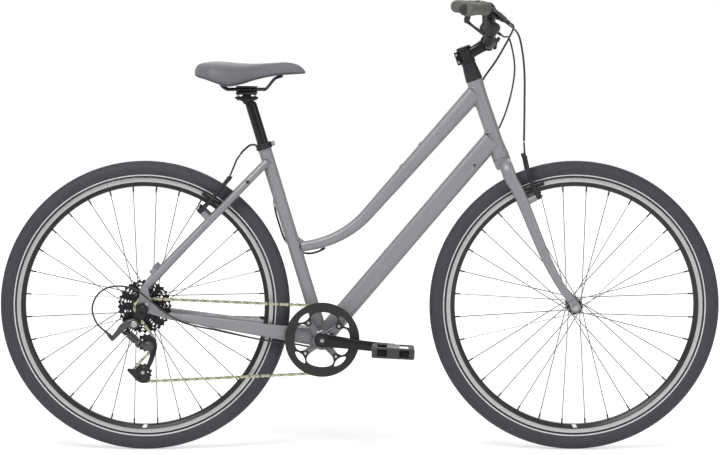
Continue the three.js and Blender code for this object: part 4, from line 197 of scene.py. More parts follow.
class Graph:
    """A node tree in the making."""

    def __init__(self, tree):
        self.tree = tree

    def node(self, kind, settings=None, sockets=None):
        made = self.tree.nodes.new(kind)
        for name, value in (settings or {}).items():
            setattr(made, name, value)
        for name, value in (sockets or {}).items():
            if isinstance(value, Wire):
                self.tree.links.new(value.socket, made.inputs[name])
            else:
                made.inputs[name].default_value = value
        return made

    def wire(self, kind, settings=None, sockets=None, output=0):
        return Wire(self, self.node(kind, settings, sockets).outputs[output])

    def maths(self, operation, *values):
        return self.wire("ShaderNodeMath", {"operation": operation}, dict(enumerate(values)))

    def vector(self, x=0.0, y=0.0, z=0.0):
        return self.wire("ShaderNodeCombineXYZ", sockets={"X": x, "Y": y, "Z": z})

    def vectors(self, operation, *values, output=0):
        return self.wire("ShaderNodeVectorMath", {"operation": operation}, dict(enumerate(values)), output)


def tone(red, green, blue):
    """A screen colour, 0 to 255, as linear light."""
    light = [c / 255 / 12.92 if c < 10.3 else ((c / 255 + 0.055) / 1.055) ** 2.4 for c in (red, green, blue)]
    return (*light, 1.0)


class Finish(Graph):
    """A surface material; slot names the record's finish it belongs to."""

    def __init__(self, name, slot):
        self.material = bpy.data.materials.new(name)
        self.material.use_nodes = True
        super().__init__(self.material.node_tree)
        self.tree.nodes.clear()
        self.slot = slot

    def place(self, size=(1, 1, 1)):
        own = self.wire("ShaderNodeTexCoord", output="Object")
        return self.wire("ShaderNodeMapping", sockets={"Vector": own, "Scale": size})

    def noise(self, scale, detail=3.0, where=None):
        return self.wire("ShaderNodeTexNoise", sockets={
            "Vector": where or self.place(), "Scale": scale, "Detail": detail, "Roughness": 0.55})

    def cells(self, scale, feature="F1"):
        return self.wire("ShaderNodeTexVoronoi", {"feature": feature}, {
            "Vector": self.place(), "Scale": scale})

    def blend(self, share, low, high):
        mix = self.node("ShaderNodeMix", {"data_type": "RGBA"}, {0: share, 6: low, 7: high})
        return Wire(self, mix.outputs[2])

    def surface(self, base, roughness, bump=None, strength=0.2, depth=0.0003, **constants):
        sockets = {"Base Color": base, "Roughness": roughness}
        if bump is not None:
            sockets["Normal"] = self.wire("ShaderNodeBump", sockets={
                "Height": bump, "Strength": strength, "Distance": depth})
        sockets.update({name.replace("_", " "): value for name, value in constants.items()})
        shader = self.node("ShaderNodeBsdfPrincipled", sockets=sockets)
        self.node("ShaderNodeOutputMaterial", sockets={"Surface": Wire(self, shader.outputs[0])})
        return self


def paint(name, light, dark):
    """Satin paint over fine metal flake, a little uneven and dusted."""
    made = Finish(name, "frame_paint")
    cloud = made.noise(7, 4)
    flake = made.cells(2600)
    skin = made.noise(420, 2)
    base = made.blend(cloud * 0.7 + flake * 0.35, dark, light)
    return made.surface(base, 0.36 + cloud * 0.12 + flake * 0.05, skin + flake * 0.3, 0.12, 0.00012,
                        Metallic=0.15, Coat_Weight=0.25, Coat_Roughness=0.22)


def anodised(name, light, dark, rough=0.34, slot="black_metal", metal=0.55):
    """Black anodised alloy with a fine blasted grain and rubbed patches."""
    made = Finish(name, slot)
    cloud = made.noise(28, 4)
    grain = made.noise(1500, 2)
    base = made.blend(cloud * 0.75 + grain * 0.25, dark, light)
    return made.surface(base, rough + cloud * 0.14, grain, 0.16, 0.0001, Metallic=metal)


def brushed(name, light, dark, rough=0.24, slot="bearing_steel", stretch=(1, 40, 1)):
    """Bare metal with fine turning lines and a dull film in places."""
    made = Finish(name, slot)
    lines = made.noise(160, 3, where=made.place(size=stretch))
    film = made.noise(45, 4)
    base = made.blend(film * 0.6 + lines * 0.4, dark, light)
    return made.surface(base, rough + film * 0.18, lines, 0.18, 0.00008, Metallic=1.0)


def moulded(name, light, dark, rough=0.5, slot="black_plastic", grain=900):
    """Moulded plastic with a fine sparkle texture."""
    made = Finish(name, slot)
    pits = made.cells(grain)
    cloud = made.noise(24, 3)
    base = made.blend(cloud * 0.6 + pits * 0.4, dark, light)
    return made.surface(base, rough + cloud * 0.12, pits, 0.22, 0.00015)


grey_paint = paint("satin_grey_paint", tone(136, 136, 139), tone(118, 118, 122))
# A painted highlight: near-white paint for the glint at the foot of each rim
rim_glint_paint = paint("pale_reflective_patch", tone(226, 226, 226), tone(205, 206, 208))
black_alloy = anodised("black_anodised_alloy", tone(46, 46, 49), tone(26, 26, 29))
satin_black = anodised("satin_black_alloy", tone(54, 54, 58), tone(34, 34, 37), 0.42)
spider_grey = anodised("polished_dark_spider", tone(134, 134, 137), tone(92, 93, 97), 0.18, metal=0.85)
mech_grey = anodised("dark_grey_derailleur_alloy", tone(88, 87, 89), tone(60, 60, 63), 0.34)
post_black = anodised("glossy_black_post", tone(36, 36, 39), tone(20, 20, 23), 0.16)
rim_black = anodised("black_rim_alloy", tone(62, 62, 62), tone(38, 38, 38), 0.3, "rim_metal")
track_metal = brushed("machined_brake_track", tone(205, 206, 206), tone(172, 173, 174), 0.3, "rim_metal",
                      (1, 1, 1))
bright_steel = brushed("bright_steel", tone(205, 205, 206), tone(150, 150, 152))
spoke_steel = brushed("drawn_spoke_steel", tone(150, 150, 152), tone(104, 105, 108), 0.26, "black_metal")
dark_steel = brushed("dark_sprocket_steel", tone(66, 66, 70), tone(34, 34, 37), 0.32)
chain_outer = brushed("chain_plate_steel", tone(214, 212, 190), tone(150, 147, 122), 0.26, "chain_steel")
chain_inner = brushed("chain_roller_steel", tone(160, 158, 140), tone(92, 90, 78), 0.3, "chain_steel")
black_plastic = moulded("black_moulded_plastic", tone(44, 44, 46), tone(28, 28, 30))
pedal_black = moulded("worn_pedal_plastic", tone(62, 62, 63), tone(38, 38, 40), 0.36)
# Painted shade: a near-black matt plastic for the shade inside the pedal's windows
window_shade_black = moulded("deep_window_black", tone(14, 14, 15), tone(8, 8, 9), 0.8)
guard_plastic = moulded("smooth_guard_plastic", tone(30, 28, 28), tone(18, 17, 17), 0.42, grain=1600)
cable_skin = moulded("cable_housing_skin", tone(38, 38, 40), tone(22, 22, 24), 0.36)
clip_plastic = moulded("pale_cable_clip", tone(222, 222, 220), tone(196, 196, 194), 0.45)
pedal_reflector = moulded("amber_reflector", tone(232, 150, 60), tone(206, 112, 34), 0.2, grain=500)


def tread_rubber():
    made = Finish("tyre_tread_rubber", "tyre_rubber")
    dust = made.noise(16, 5)
    grain = made.noise(700, 3)
    cloth = made.cells(420)
    base = made.blend(dust * 0.7 + grain * 0.3, tone(40, 41, 46), tone(60, 61, 67))
    return made.surface(base, 0.62 + dust * 0.16, grain + cloth * 0.4, 0.3, 0.0002)


def stripe_film():
    made = Finish("tyre_reflective_stripe", "tyre_rubber")
    beads = made.cells(2400)
    wear = made.noise(60, 5)
    base = made.blend(wear * 0.7 + beads * 0.3, tone(170, 170, 172), tone(214, 214, 214))
    return made.surface(base, 0.4 + beads * 0.1, beads, 0.15, 0.0001)


def grip_rubber():
    made = Finish("warm_grey_grip", "grip_rubber")
    cloud = made.noise(30, 4)
    pebbles = made.cells(950, feature="SMOOTH_F1")
    base = made.blend(cloud * 0.6 + pebbles * 0.5, tone(80, 78, 75), tone(98, 96, 92))
    return made.surface(base, 0.66 + cloud * 0.12, pebbles, 0.5, 0.0004)


def saddle_cover(name, light, dark):
    """A fine pebbled cover with a soft bloom."""
    made = Finish(name, "saddle_cover")
    pebbles = made.cells(620, feature="SMOOTH_F1")
    cloud = made.noise(14, 4)
    base = made.blend(cloud * 0.65 + pebbles * 0.35, dark, light)
    return made.surface(base, 0.52 + cloud * 0.12, pebbles, 0.4, 0.00035, Sheen_Weight=0.15)


tyre_black = tread_rubber()
stripe_white = stripe_film()
grip_grey = grip_rubber()
cover_side = saddle_cover("saddle_side_cover", tone(106, 106, 112), tone(86, 86, 92))
cover_dark = saddle_cover("saddle_edge_cover", tone(56, 56, 61), tone(40, 40, 44))
thread_grey = moulded("saddle_thread", tone(60, 60, 66), tone(40, 40, 44), 0.7, "saddle_cover")


# Mesh helpers: a skin is (points in millimetres, faces)

def loft(rings, loop=False):
    """A skin through rings of points, closed by caps or on itself."""
    count = len(rings[0])
    points = [point for ring in rings for point in ring]
    faces = []
    for r in range(len(rings) if loop else len(rings) - 1):
        here, after = r * count, ((r + 1) % len(rings)) * count
        for i in range(count):
            j = (i + 1) % count
            faces.append((here + i, here + j, after + j, after + i))
    if not loop:
        faces.append(tuple(range(count - 1, -1, -1)))
        faces.append(tuple(range(len(points) - count, len(points))))
    return points, faces


def turned(profile, start, axis, sides=64):
    """A piece turned on an axis: profile points are (radius, distance along); open ends close on the axis."""
    axis = axis.normalized()
    side = axis.orthogonal().normalized() if abs(axis.y) < 0.9 else forward
    other = axis.cross(side)
    rings = []
    for radius, along in profile:
        middle = start + axis * along
        rings.append([middle + max(radius, 0.001) * (
            math.cos(2 * math.pi * i / sides) * side + math.sin(2 * math.pi * i / sides) * other)
            for i in range(sides)])
    return loft(rings, loop=profile[0][0] > 0 and profile[-1][0] > 0)


def rounded_peg(start, axis, length, radius, soft=0.5, sides=24):
    soft = min(soft, radius / 2, length / 2)
    return turned([(0, 0), (radius - soft, 0), (radius - soft * 0.3, soft * 0.3), (radius, soft),
                   (radius, length - soft), (radius - soft * 0.3, length - soft * 0.3),
                   (radius - soft, length), (0, length)], start, axis, sides)


def socket_bolt(start, axis, radius, high, sides=24):
    """A round bolt head with a round socket in it."""
    shares = [(0, 0), (0.94, 0), (1, 0.2), (1, 0.8), (0.9, 1), (0.55, 1), (0.5, 0.9), (0.5, 0.45), (0, 0.4)]
    return turned([(radius * out, high * along) for out, along in shares], start, axis, sides)


def oval(centre, side, half_wide, up, half_high, sides, power=2.0):
    ring = []
    for i in range(sides):
        angle = 2 * math.pi * (i + 0.5) / sides
        cosine, sine = math.cos(angle), math.sin(angle)
        ring.append(centre + side * (math.copysign(abs(cosine) ** (2 / power), cosine) * half_wide)
                    + up * (math.copysign(abs(sine) ** (2 / power), sine) * half_high))
    return ring


def smooth_points(points, steps, loop=False):
    """Points along a centripetal curve through the given ones, each as [x, y, z, ...] lists."""
    rows = [list(point) for point in points]
    if loop:
        rows = [rows[-1], *rows, rows[0], rows[1]]
    else:
        rows = [[2 * a - b for a, b in zip(rows[0], rows[1])], *rows,
                [2 * a - b for a, b in zip(rows[-1], rows[-2])]]
    made = []
    for i in range(1, len(rows) - 2):
        p0, p1, p2, p3 = rows[i - 1:i + 3]
        gaps = [max(math.dist(a[:3], b[:3]), 1e-6) ** 0.5 for a, b in ((p0, p1), (p1, p2), (p2, p3))]
        for k in range(steps):
            share = k / steps
            row = []
            for a, b, c, d in zip(p0, p1, p2, p3):
                m1 = ((b - a) / gaps[0] - (c - a) / (gaps[0] + gaps[1]) + (c - b) / gaps[1]) * gaps[1]
                m2 = ((c - b) / gaps[1] - (d - b) / (gaps[1] + gaps[2]) + (d - c) / gaps[2]) * gaps[1]
                row.append(b + m1 * share + (3 * (c - b) - 2 * m1 - m2) * share ** 2
                           + (m1 + m2 - 2 * (c - b)) * share ** 3)
            made.append(row)
    if not loop:
        made.append(rows[-2])
    return made


def headings(points, loop=False):
    """The unit direction of a line at each of its points."""
    count = len(points)
    ways = []
    for i in range(count):
        before = points[i - 1 if loop or i else 0]
        after = points[(i + 1) % count if loop else min(i + 1, count - 1)]
        ways.append((after - before).normalized())
    return ways


def sweep(stations, sides=40, power=2.0, across=leftward, steps=8):
    """A tube through (point, wide, high) stations; wide is measured across, high square to it."""
    rows = smooth_points([[*point, wide, high] for point, wide, high in stations], steps)
    places = [Vector(row[:3]) for row in rows]
    rings = []
    for place, ahead, row in zip(places, headings(places), rows):
        side = (across - ahead * across.dot(ahead)).normalized()
        rings.append(oval(place, side, row[3] / 2, ahead.cross(side), row[4] / 2, sides, power))
    return loft(rings)


def cable(points, radius, steps=10, sides=14):
    """A round tube along a route, carried round without twisting."""
    rows = [Vector(row) for row in smooth_points(points, steps)]
    side = (rows[1] - rows[0]).orthogonal().normalized()
    rings = []
    for here, ahead in zip(rows, headings(rows)):
        side = (side - ahead * side.dot(ahead)).normalized()
        rings.append(oval(here, side, radius, ahead.cross(side), radius, sides))
    return loft(rings)


def plate(outline, y, thickness, holes=(), soft=0.25):
    """A flat plate in the bicycle's plane with softened rims, from (x, z) outlines, its middle at y."""
    flat = bpy.data.curves.new("outline", "CURVE")
    flat.dimensions = "2D"
    flat.fill_mode = "BOTH"
    flat.extrude = max(thickness / 2 - soft, 0.01)
    flat.bevel_depth = soft
    flat.bevel_resolution = 1
    flat.offset = -soft
    for points in (outline, *holes):
        line = flat.splines.new("POLY")
        line.points.add(len(points) - 1)
        for spot, (x, z) in zip(line.points, points):
            spot.co = (x, z, 0, 1)
        line.use_cyclic_u = True
    holder = bpy.data.objects.new("outline", flat)
    mesh = bpy.data.meshes.new_from_object(holder)
    points = [Vector((v.co.x, y - v.co.z, v.co.y)) for v in mesh.vertices]
    faces = [tuple(face.vertices) for face in mesh.polygons]
    bpy.data.objects.remove(holder)
    bpy.data.curves.remove(flat)
    bpy.data.meshes.remove(mesh)
    return points, faces


def run_length(line):
    return sum((b - a).length for a, b in zip(line, line[1:]))


def even_points(line, count):
    """The points that divide a line into count equal lengths, with both its ends."""
    walked = [0.0]
    for a, b in zip(line, line[1:]):
        walked.append(walked[-1] + (b - a).length)
    places, k = [], 0
    for i in range(count + 1):
        goal = walked[-1] * i / count
        while k + 2 < len(walked) and walked[k + 1] < goal:
            k += 1
        places.append(line[k].lerp(line[k + 1], (goal - walked[k]) / (walked[k + 1] - walked[k])))
    return places


def between(rows, place):
    """The value at a place, read off rows of (place, value)."""
    for (a, low), (b, high) in zip(rows, rows[1:]):
        if place <= b:
            return mixed(low, high, (place - a) / (b - a))
    return rows[-1][1]


def slotted_ring(centre, thickness, rows, soft=0.4):
    """A flat ring in the bicycle's plane.

    The rows are (angle, inner radius, slot's inner radius, slot's outer radius, outer radius).
    """
    high = thickness / 2
    count = 16
    points, faces = [], []
    for angle, inner, low, top, outer in rows:
        out = heading(angle)
        cut = min(soft, (top - low) / 4)
        for edge, slot, reach, notch in ((inner, low, soft, -cut), (outer, top, -soft, cut)):
            for radius, lift in ((edge + reach, high), (edge, high - soft), (edge, soft - high),
                                 (edge + reach, -high), (slot + notch, -high), (slot, cut - high),
                                 (slot, high - cut), (slot + notch, high)):
                points.append(centre + out * radius + leftward * lift)
    for i, row in enumerate(rows):
        here, after = i * count, ((i + 1) % len(rows)) * count
        following = rows[(i + 1) % len(rows)]
        shut = max(row[3] - row[2], following[3] - following[2]) < 0.01
        for k in range(count):
            if shut and k % 8 in (4, 5, 6):
                continue
            n = k + 1 if k % 8 < 7 else k - 7
            faces.append((here + k, here + n, after + n, after + k))
    return points, faces


def in_plane(points):
    return [(point.x, point.z) for point in points]


def around(centre, *offsets):
    """An (x, z) outline from offsets from a centre."""
    return [(centre.x + x, centre.z + z) for x, z in offsets]


def circle(centre, radius, sides):
    return in_plane(polar(centre, radius, 2 * math.pi * i / sides) for i in range(sides))


def hull(points):
    order = geometry.convex_hull_2d([Vector(point) for point in points])
    return [points[i] for i in order]


def block(centre, ahead, long, up, high, wide, soft=1.0):
    """A box on three directions with softened edges."""
    across = up.cross(ahead)
    work = bmesh.new()
    bmesh.ops.create_cube(work, size=1)
    for vertex in work.verts:
        place = vertex.co
        vertex.co = ahead * place.x * long + across * place.y * wide + up * place.z * high + centre
    bmesh.ops.bevel(work, geom=list(work.edges), offset=min(soft, high / 3, wide / 3, long / 3), segments=2,
                    profile=0.5, affect="EDGES")
    points = [vertex.co.copy() for vertex in work.verts]
    faces = [tuple(vertex.index for vertex in face.verts) for face in work.faces]
    work.free()
    return points, faces


def finished(name, mesh, body, finish, nodes=(), crease=38):
    """A mesh in metres as a piece of the bicycle, riding on its body."""
    mesh.polygons.foreach_set("use_smooth", [True] * len(mesh.polygons))
    mesh.set_sharp_from_angle(angle=math.radians(crease))
    mesh.materials.clear()
    mesh.materials.append(finish.material)
    thing = bpy.data.objects.new(name, mesh)
    bpy.context.collection.objects.link(thing)
    if body:
        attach(thing, body)
    if nodes:
        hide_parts(*nodes)
    return thing


def mesh_of(name, skins):
    """One welded mesh, in metres, from skins in millimetres."""
    mesh = bpy.data.meshes.new(name)
    work = bmesh.new()
    for points, faces in skins:
        corners = [work.verts.new(point * MM) for point in points]
        for face in faces:
            work.faces.new([corners[i] for i in face])
    bmesh.ops.remove_doubles(work, verts=work.verts, dist=2e-6)
    bmesh.ops.recalc_face_normals(work, faces=work.faces)
    work.to_mesh(mesh)
    work.free()
    return mesh


def piece(name, body, finish, *skins, nodes=(), crease=38):
    return finished(name, mesh_of(name, skins), body, finish, nodes, crease)


def body_of(node):
    return frame["nodes"][node]["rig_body"]


def dress(node, finish, *skins, crease=38):
    """The finished piece that stands for a node, on the node's own body."""
    return piece(node + "_finished", body_of(node), finish, *skins, nodes=(node,), crease=crease)


def copied(node):
    """A node's mesh as a new welded one."""
    mesh = bpy.data.meshes.new(node + "_copy")
    work = bmesh.new()
    work.from_mesh(frame["nodes"][node].data)
    bmesh.ops.remove_doubles(work, verts=work.verts, dist=2e-5)
    work.to_mesh(mesh)
    work.free()
    return mesh


def cast(node, finish, voxel, rounds):
    """A copy of a solid with its edges melted round, as a cast or forged piece has them."""
    mesh = copied(node)
    holder = bpy.data.objects.new(node + "_cast", mesh)
    bpy.context.collection.objects.link(holder)
    remesh = holder.modifiers.new("remesh", "REMESH")
    remesh.mode = "VOXEL"
    remesh.voxel_size = voxel * MM
    smooth = holder.modifiers.new("smooth", "SMOOTH")
    smooth.factor = 0.5
    smooth.iterations = rounds
    reduce = holder.modifiers.new("reduce", "DECIMATE")
    reduce.ratio = 0.4
    found = holder.evaluated_get(bpy.context.evaluated_depsgraph_get())
    made = bpy.data.meshes.new_from_object(found)
    bpy.data.objects.remove(holder)
    return finished(node + "_finished", made, body_of(node), finish, (node,), 60)


# Geometry node trees for what repeats

class Rule(Graph):
    """A geometry tree with named inputs, made into plain meshes by made()."""

    def __init__(self, name, inputs):
        super().__init__(bpy.data.node_groups.new(name, "GeometryNodeTree"))
        self.tree.interface.new_socket("Geometry", in_out="OUTPUT", socket_type="NodeSocketGeometry")
        self.tree.interface.new_socket("Geometry", in_out="INPUT", socket_type="NodeSocketGeometry")
        self.sockets = {}
        for label, (kind, value) in inputs.items():
            socket = self.tree.interface.new_socket(label, in_out="INPUT", socket_type="NodeSocket" + kind)
            if value is not None:
                socket.default_value = value
            self.sockets[label] = socket.identifier
        self.entry = self.tree.nodes.new("NodeGroupInput")

    def given(self, label):
        return Wire(self, self.entry.outputs[label])

    def result(self, held):
        """The tree's output: its instances made real, in the given finish."""
        real = self.wire("GeometryNodeRealizeInstances", sockets={"Geometry": held})
        dressed = self.wire("GeometryNodeSetMaterial", sockets={
            "Geometry": real, "Material": self.given("Finish")})
        self.node("NodeGroupOutput", sockets={"Geometry": dressed})

    def made(self, source, values):
        """The tree's result on a mesh or curve, with inputs set by identifier."""
        holder = bpy.data.objects.new("rule_source", source)
        bpy.context.collection.objects.link(holder)
        applied = holder.modifiers.new("rule", "NODES")
        applied.node_group = self.tree
        for label, value in values.items():
            applied[self.sockets[label]] = value
        found = holder.evaluated_get(bpy.context.evaluated_depsgraph_get())
        mesh = bpy.data.meshes.new_from_object(found)
        bpy.data.objects.remove(holder)
        return mesh


def spoke_rule():
    """Crossed spokes from a hub's two flanges to a rim, or the nipples on their outer ends."""
    rule = Rule("spoke_lacing",
                {"Count": ("Int", 32), "Rim radius": ("Float", 0.3), "Hub radius": ("Float", 0.02),
                 "Left offset": ("Float", 0.035), "Right offset": ("Float", 0.035),
                 "Cross angle": ("Float", 1.2), "Thickness": ("Float", 0.001), "From": ("Float", 0.0),
                 "To": ("Float", 1.0), "Finish": ("Material", None)})
    count = rule.given("Count")
    index = rule.wire("GeometryNodeInputIndex")
    side = 1 - 2 * (index % 2)
    lean = 1 - 2 * ((index / 2).floor() % 2)
    rim_angle = (index + 0.5) * (2 * math.pi) / count
    hub_angle = rim_angle + lean * rule.given("Cross angle")
    leftness = (side + 1) * 0.5
    offset = leftness * rule.given("Left offset") - (1 - leftness) * rule.given("Right offset")
    hub_radius, rim_radius = rule.given("Hub radius"), rule.given("Rim radius")
    head = rule.vector(hub_radius * rule.maths("COSINE", hub_angle), offset + lean * 0.0015,
                       hub_radius * rule.maths("SINE", hub_angle))
    foot = rule.vector(rim_radius * rule.maths("COSINE", rim_angle), side * 0.0022,
                       rim_radius * rule.maths("SINE", rim_angle))
    way = rule.vectors("SUBTRACT", foot, head)
    length = rule.vectors("LENGTH", way, output="Value")
    start, end = rule.given("From"), rule.given("To")
    shift = rule.vectors("SCALE", way)
    rule.tree.links.new(start.socket, shift.socket.node.inputs["Scale"])
    points = rule.wire("GeometryNodePoints", sockets={
        "Count": count, "Position": rule.vectors("ADD", head, shift)})
    rod = rule.node("GeometryNodeMeshCylinder", sockets={"Vertices": 8, "Radius": 1.0, "Depth": 1.0})
    lifted = rule.wire("GeometryNodeTransform", sockets={
        "Geometry": Wire(rule, rod.outputs["Mesh"]), "Translation": (0, 0, 0.5)})
    smooth = rule.wire("GeometryNodeSetShadeSmooth", sockets={"Geometry": lifted})
    turn = rule.wire("FunctionNodeAlignRotationToVector", {"axis": "Z"}, {"Vector": way})
    thick = rule.given("Thickness")
    held = rule.wire("GeometryNodeInstanceOnPoints", sockets={
        "Points": points, "Instance": smooth, "Rotation": turn,
        "Scale": rule.vector(thick, thick, length * (end - start))})
    rule.result(held)
    return rule


def links_rule():
    """Copies of a thing at every other point of a closed line, each facing along it."""
    rule = Rule("chain_links", {
        "Count": ("Int", 104), "Thing": ("Object", None), "Start": ("Int", 0), "Finish": ("Material", None)})
    line = rule.wire("GeometryNodeResampleCurve", sockets={
        "Curve": rule.given("Geometry"), "Count": rule.given("Count")})
    index = rule.wire("GeometryNodeInputIndex")
    chosen = ((index + rule.given("Start")) % 2).below(0.5)
    along = rule.wire("GeometryNodeInputTangent")
    turn = rule.wire("FunctionNodeAlignRotationToVector", {"axis": "X", "pivot_axis": "Y"}, {"Vector": along})
    thing = rule.wire("GeometryNodeObjectInfo", sockets={"Object": rule.given("Thing")}, output="Geometry")
    held = rule.wire("GeometryNodeInstanceOnPoints", sockets={
        "Points": line, "Selection": chosen, "Instance": thing, "Rotation": turn})
    rule.result(held)
    return rule


def stitch_rule():
    """Long beads laid one after another along a line, as stitches or a grip's ridges."""
    rule = Rule("stitch_line", {
        "Spacing": ("Float", 0.004), "Length": ("Float", 0.003), "Thickness": ("Float", 0.0004),
        "Finish": ("Material", None)})
    line = rule.wire("GeometryNodeResampleCurve", {"mode": "LENGTH"}, {
        "Curve": rule.given("Geometry"), "Length": rule.given("Spacing")})
    along = rule.wire("GeometryNodeInputTangent")
    turn = rule.wire("FunctionNodeAlignRotationToVector", {"axis": "Z"}, {"Vector": along})
    ball = rule.node("GeometryNodeMeshUVSphere", sockets={"Segments": 8, "Rings": 5, "Radius": 1.0})
    smooth = rule.wire("GeometryNodeSetShadeSmooth", sockets={"Geometry": Wire(rule, ball.outputs["Mesh"])})
    thick = rule.given("Thickness")
    held = rule.wire("GeometryNodeInstanceOnPoints", sockets={
        "Points": line, "Instance": smooth, "Rotation": turn,
        "Scale": rule.vector(thick, thick, rule.given("Length") * 0.5)})
    rule.result(held)
    return rule


def line_through(points, loop=False):
    """A bare poly line in metres, for a rule to follow."""
    line = bpy.data.curves.new("line", "CURVE")
    line.dimensions = "3D"
    run = line.splines.new("POLY")
    run.points.add(len(points) - 1)
    for spot, point in zip(run.points, points):
        spot.co = (*(Vector(point) * MM), 1)
    run.use_cyclic_u = loop
    return line


# Frame

head_profile = [
    (17.6, 45), (17.6, 153), (18.2, 172), (19.2, 184), (19.5, 190), (19.5, 197.4), (18.9, 198), (15.5, 198),
    (15.5, 0), (20.4, 0), (21, 0.7), (21, 9), (20.2, 14), (18.8, 26), (17.9, 38)]


def weld(centre, direction, side, half_wide, half_high, power, axis_point, axis, radius, bead=2.3):
    """A rippled weld bead where a tube meets a round tube: each point of its ring slid onto the other."""
    spots = []
    for point in oval(centre, side, half_wide, direction.cross(side), half_high, 56, power):
        away = (point - axis_point) - axis * (point - axis_point).dot(axis)
        way = direction - axis * direction.dot(axis)
        a, b, c = way.dot(way), 2 * away.dot(way), away.dot(away) - radius * radius
        root = max(b * b - 4 * a * c, 0) ** 0.5
        steps = [(-b - root) / (2 * a), (-b + root) / (2 * a)]
        spots.append(point + direction * min(steps, key=abs))
    rings = []
    for i, (spot, ahead) in enumerate(zip(spots, headings(spots, loop=True))):
        swell = bead * (1 + 0.14 * (i % 2))
        out = (spot - axis_point) - axis * (spot - axis_point).dot(axis)
        out = (out - ahead * out.dot(ahead)).normalized()
        rings.append(oval(spot, ahead.cross(out), swell, out, 0.75 * swell, 10))
    return loft(rings, loop=True)


top_head = head_top - 25 * steer_up
top_seat = bracket + 226 * seat_up
top_corner = top_seat + 125 * slope(11.2)
top_bend = 80
top_wide = (36, 27)
top_high = (42, 24)
top_tube_steps = 60
down_wide = 40
down_high = 46
tube_power = 2.5
down_power = 3.2


def top_tube_line():
    """Points of the top tube's bent middle line from head to seat tube, by even steps."""
    start = top_corner + top_bend * (top_head - top_corner).normalized()
    end = top_corner + top_bend * (top_seat - top_corner).normalized()
    shares = [i / 300 for i in range(300)]
    fine = [top_head.lerp(start, t) for t in shares]
    fine += [(1 - t) ** 2 * start + 2 * (1 - t) * t * top_corner + t * t * end for t in shares]
    fine += [end.lerp(top_seat, t) for t in (*shares, 1)]
    return even_points(fine, top_tube_steps)


def build_main_tubes():
    dress("head_tube", grey_paint, turned(head_profile, head_bottom, steer_up, 72))
    places = top_tube_line()
    stations = [(spot, mixed(*top_wide, i / top_tube_steps), mixed(*top_high, i / top_tube_steps))
                for i, spot in enumerate(places)]
    head_way = (places[1] - places[0]).normalized()
    seat_way = (places[-1] - places[-2]).normalized()
    run = [*stations[1:-2], (places[-1] - seat_way * 15.8, top_wide[1], top_high[1])]
    dress("top_tube", grey_paint, sweep(run, 44, tube_power, steps=2),
          weld(places[2], -head_way, leftward, 17.9, 20.9, tube_power, head_bottom, steer_up, head_radius),
          weld(places[-2], seat_way, leftward, 13.4, 12, tube_power, bracket, seat_up, seat_tube_radius),
          gusset(), *bottle_bosses(places))
    down_start = head_bottom + 53 * steer_up
    way = (bracket - down_start).normalized()
    middle = down_start.lerp(bracket, 0.5)
    half_wide, half_high = down_wide / 2 - 0.1, down_high / 2 - 0.1
    dress("down_tube", grey_paint,
          sweep([(spot, down_wide, down_high) for spot in (down_start + way * 8, middle, bracket - way * 12)],
                48, down_power, steps=10),
          weld(down_start + way * 30, -way, leftward, half_wide, half_high, down_power, head_bottom, steer_up,
               head_radius, 2.6),
          weld(bracket - way * 30, way, leftward, half_wide, half_high, down_power, bracket, leftward,
               shell_radius, 2.4))
    dress("seat_tube", grey_paint,
          turned([(15.9, 6), (15.9, 470), (16.4, 476), (16.4, 489.4), (15.9, 490), (13.95, 490), (13.95, 6)],
                 bracket, seat_up, 56),
          weld(bracket + seat_up * 30, -seat_up, leftward, seat_tube_radius, seat_tube_radius, 2, bracket,
               leftward, shell_radius, 2.2))
    piece("bracket_shell_finished", "frame", grey_paint,
          turned([(20, -33.4), (20, 33.4), (19.4, 34), (17.6, 34), (17.6, -34), (19.4, -34)], bracket,
                 leftward, 56), nodes=("bottom_bracket_shell",))
    piece("cable_port_bolt", "frame", black_alloy, socket_bolt(at(275.5, -17.2, 688.5), -leftward, 2.8, 4.6))


def gusset():
    """The small plate that stiffens the corner of top tube and seat tube."""
    foot = top_seat + seat_up * 26 + seat_ahead * 14
    return plate(around(foot, (0, 0), (34, -22), (8, -30), (-4, -26)), 0, 5, soft=1.2)


def bottle_bosses(places):
    made = []
    for share in (0.32, 0.4262):
        i = round(share * top_tube_steps)
        up = leftward.cross((places[i + 1] - places[i - 1]).normalized())
        up = up if up.z > 0 else -up
        half = mixed(*top_high, share) / 2
        made.append(turned([(0, half - 2), (6.4, half - 2), (5.6, half + 1.2), (5, half + 2), (0, half + 2)],
                           places[i], up, 28))
    return made


dropout_inner = 67.8
stay_plane = dropout_inner - 3
rear_boss_reach = 32
stay_end = rear_axle + at(44, 0, -18)
seatstay_top = bracket + 447 * seat_up
seatstay_end = rear_axle + at(4, 0, 50)
seatstay_down = (seatstay_end - seatstay_top).normalized()
seatstay_out = leftward.cross(seatstay_down)


def seatstay_place(share, spread, side):
    spot = seatstay_top.lerp(seatstay_end, share)
    return at(spot.x, side * mixed(14, stay_plane, spread), spot.z)


def rear_brake_origin(side):
    share = 197 / (seatstay_top - seatstay_end).length
    spot = seatstay_place(share, 0, side)
    return at(spot.x, side * brake_plane, spot.z) + rear_boss_reach * seatstay_out


def chainstay(side):
    stations = []
    for share, spread in ((0.02, 0), (0.12, 0.1), (0.25, 0.27), (0.5, 0.57), (1, 1)):
        place = at(mixed(bracket.x, stay_end.x, share), side * mixed(22, stay_plane, spread),
                   mixed(bracket.z, stay_end.z, share))
        stations.append((place, mixed(15, 12, share), 42 * mixed(1, 0.32, share)))
    return sweep(stations, 40, 3)


def seatstay(side):
    shares = ((0.01, 0), (0.12, 0.2), (0.25, 0.44), (0.47, 0.54), (0.75, 0.8), (1, 1))
    return sweep([(seatstay_place(share, spread, side), 2 * mixed(9, 6, share), 2 * mixed(9, 8.7, share))
                  for share, spread in shares], 32)


